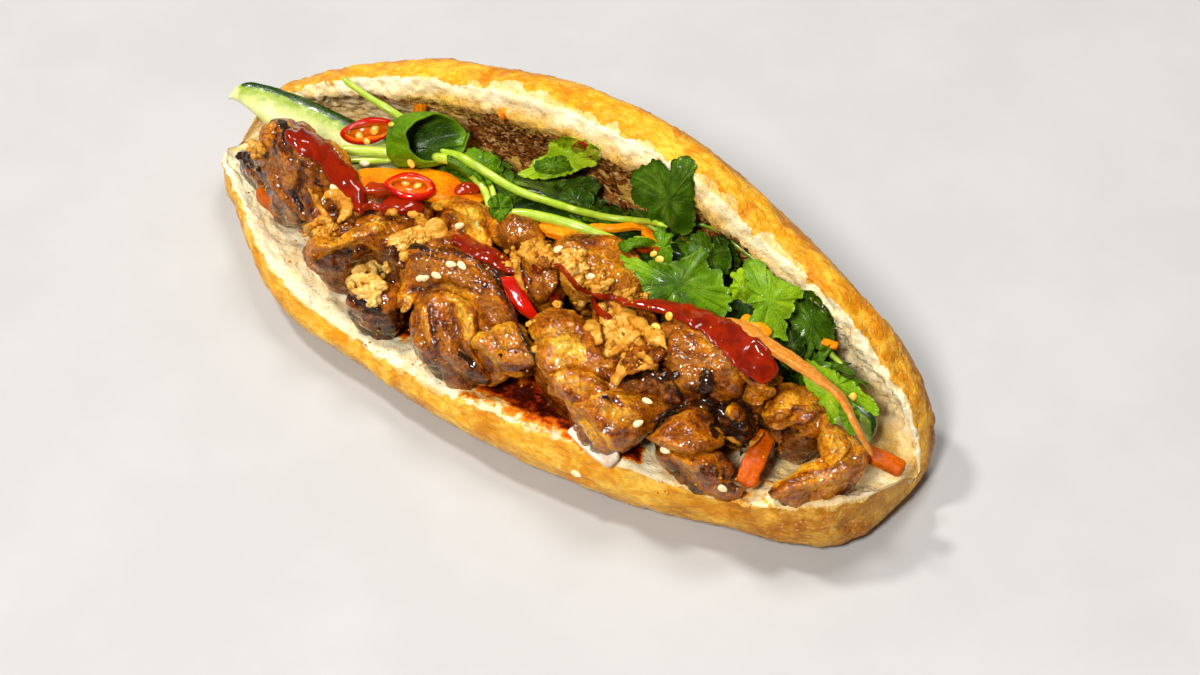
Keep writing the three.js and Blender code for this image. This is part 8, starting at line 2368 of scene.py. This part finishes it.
scrap([(497, 276), (503, 288), (510, 305), (516, 322), (524, 340), (532, 354), (536, 362)], [1.6, 1.6, 1.0, 0.9, 1.0, 1.6, 0.8], [0.9, 0.9, 0.8], 0.10, 0.6, 301, lift=0.3)
scrap([(650, 424), (660, 416), (672, 409), (686, 404), (700, 401), (712, 398)], [0.8, 1.2, 1.6, 1.8, 1.8, 1.4], [0.8, 1.0, 1.0], 0.14, 0.5, 302, lift=0.4)
scrap([(704, 368), (708, 376), (706, 386), (702, 396)], [2.0, 3.6, 4.0, 3.0], [2.4, 3.0, 2.4], 0.05, 1.0, 303)
scrap([(700, 398), (712, 402), (724, 410), (730, 420)], [3.0, 4.4, 4.6, 3.6], [2.6, 3.0], 0.08, 0.9, 304)
scrap([(726, 408), (733, 412), (736, 418)], [3.6, 4.4, 3.0], [2.6, 3.0], 0.5, 0.05, 305, lift=1.2)
scrap([(398, 303), (402, 296), (408, 301), (404, 310)], [2.0, 3.0, 2.4], [1.6, 1.8], 0.78, 0.1, 306)
scrap([(238, 160), (243, 154), (249, 158), (254, 168), (262, 172)], [1.6, 2.6, 2.6, 2.2, 2.0], [1.6, 2.0], 0.15, 0.75, 307, lift=0.8)
scrap([(744, 394), (754, 400), (766, 396), (773, 388)], [2.4, 3.6, 3.4, 2.4], [1.6, 2.0], 0.56, 0.1, 308, lift=0.6, rough=0.6)
scrap([(764, 416), (772, 410), (782, 409), (792, 414)], [2.8, 3.8, 3.4, 2.4], [1.8, 2.0], 0.64, 0.05, 309, lift=0.6, rough=0.6)
scrap([(768, 424), (782, 425), (796, 419), (808, 418), (818, 410)], [2.4, 3.0, 3.2, 3.0, 2.4], [2.0, 2.4], 0.5, 0.25, 310, lift=1.0)
scrap([(740, 456), (744, 448), (748, 440)], [2.0, 2.4, 2.0], [1.6, 1.6], 0.2, 0.8, 311, lift=0.4)
scrap([(520, 372), (530, 372), (536, 366)], [3.0, 3.6, 2.4], [2.2, 2.4], 0.22, 0.35, 312)
scrap([(600, 366), (612, 362), (620, 356)], [3.0, 3.6, 2.6], [2.4, 2.4], 0.4, 0.3, 313)
scrap([(380, 240), (388, 248), (398, 256), (404, 268)], [3.4, 4.6, 4.4, 3.4], [2.6, 3.0], 0.2, 0.2, 314)
scrap([(436, 206), (446, 203), (458, 208), (468, 216)], [3.0, 4.6, 4.8, 3.6], [2.4, 2.8], 0.7, 0.12, 315)
scrap([(540, 258), (548, 268), (550, 282), (546, 296)], [3.4, 4.4, 4.4, 3.0], [2.8, 3.0], 0.42, 0.1, 316, pale=0.5)
scrap([(640, 372), (652, 372), (666, 376), (680, 374)], [3.0, 4.4, 4.6, 3.0], [2.4, 2.8], 0.2, 0.6, 317)
SCRAPS.make("meat_scraps", MEAT, slot="grilled_meat")

# ---- crumbs ---------------------------------------------------------------------------------
C_TOP = lambda r, n: dict(tone=np.full(n, r.uniform(0.3, 0.8)))
for k, (x, y, rx, ry, c) in enumerate(((330, 232, 26, 14, 26), (300, 265, 22, 26, 14), (380, 335, 30, 18, 12), (440, 370, 40, 18, 14), (600, 300, 60, 40, 60), (640, 350, 40, 30, 30), (560, 270, 40, 22, 40), (420, 240, 40, 30, 26),
                                       (690, 350, 40, 30, 16), (740, 470, 40, 20, 22), (800, 450, 40, 30, 16), (500, 240, 50, 16, 16), (255, 180, 14, 20, 10), (680, 490, 40, 12, 12), (560, 380, 40, 30, 10), (460, 300, 50, 40, 14))):
    scatter(CRUMBS, x, y, rx, ry, c, 0.35, 1.15, 400 + k, attrs=C_TOP, power=2.2, sink=0.15)
CRUMBS.make("fried_crumbs", ONION)

# ------------------------------------------------------------------------------------------
# floor, light, camera
# ------------------------------------------------------------------------------------------
def floor():
    m = Mat("floor")
    m.set(Base_Color=m.mix(m.range(m.noise(60.0, 4.0, 0.6), 0.35, 0.65), (0.485, 0.477, 0.468), (0.51, 0.502, 0.493)), Roughness=0.62)
    m.set(Specular_IOR_Level=0.2)
    V = np.array([[-1600, -1600, 0], [1600, -1600, 0], [1600, 1600, 0], [-1600, 1600, 0]], float)
    ob = make("floor", V, [np.array([[0, 1, 2, 3]])], m.m, smooth=False, rides=None)


def area(name, az, el, dist, size, power, color=(1, 1, 1), size_y=None):
    d = bpy.data.lights.new(name, "AREA")
    d.energy = power
    d.color = color
    d.shape = "RECTANGLE" if size_y else "DISK"
    d.size = size
    if size_y:
        d.size_y = size_y
    ob = bpy.data.objects.new(name, d)
    bpy.context.scene.collection.objects.link(ob)
    a, e = math.radians(az), math.radians(el)
    p = Vector((math.cos(a) * math.cos(e), math.sin(a) * math.cos(e), math.sin(e))) * dist + Vector((0.01, 0.01, 0.02))
    ob.location = p
    ob.rotation_euler = (Vector((0.01, 0.01, 0.02)) - p).to_track_quat("-Z", "Y").to_euler()
    return ob


floor()
area("key", 188, 60, 2.6, 0.34, 38.0, (1.0, 0.985, 0.95))
area("fill", -76, 50, 1.8, 0.34, 29.0, (1.0, 0.985, 0.955))
area("top", 100, 74, 1.4, 0.45, 8.5, (1, 0.995, 0.98))
world = bpy.data.worlds.new("studio")
world.use_nodes = True
world.node_tree.nodes["Background"].inputs[0].default_value = (1.0, 0.975, 0.94, 1.0)
world.node_tree.nodes["Background"].inputs[1].default_value = 0.09
bpy.context.scene.world = world
vs = bpy.context.scene.view_settings
vs.view_transform = "Standard"
vs.look = "None"
vs.exposure = 0.0
vs.gamma = 1.0

cam = bpy.data.cameras.new("camera")
cam.lens = 105.0
cam.sensor_width = 36.0
cam.sensor_fit = "HORIZONTAL"
cam.clip_start = 0.01
cam.clip_end = 20.0
camo = bpy.data.objects.new("camera", cam)
bpy.context.scene.collection.objects.link(camo)
camo.location = Vector(EYE * MM)
camo.rotation_euler = (Vector(FWD)).to_track_quat("-Z", "Y").to_euler()
bpy.context.scene.camera = camo

bpy.context.view_layer.update()
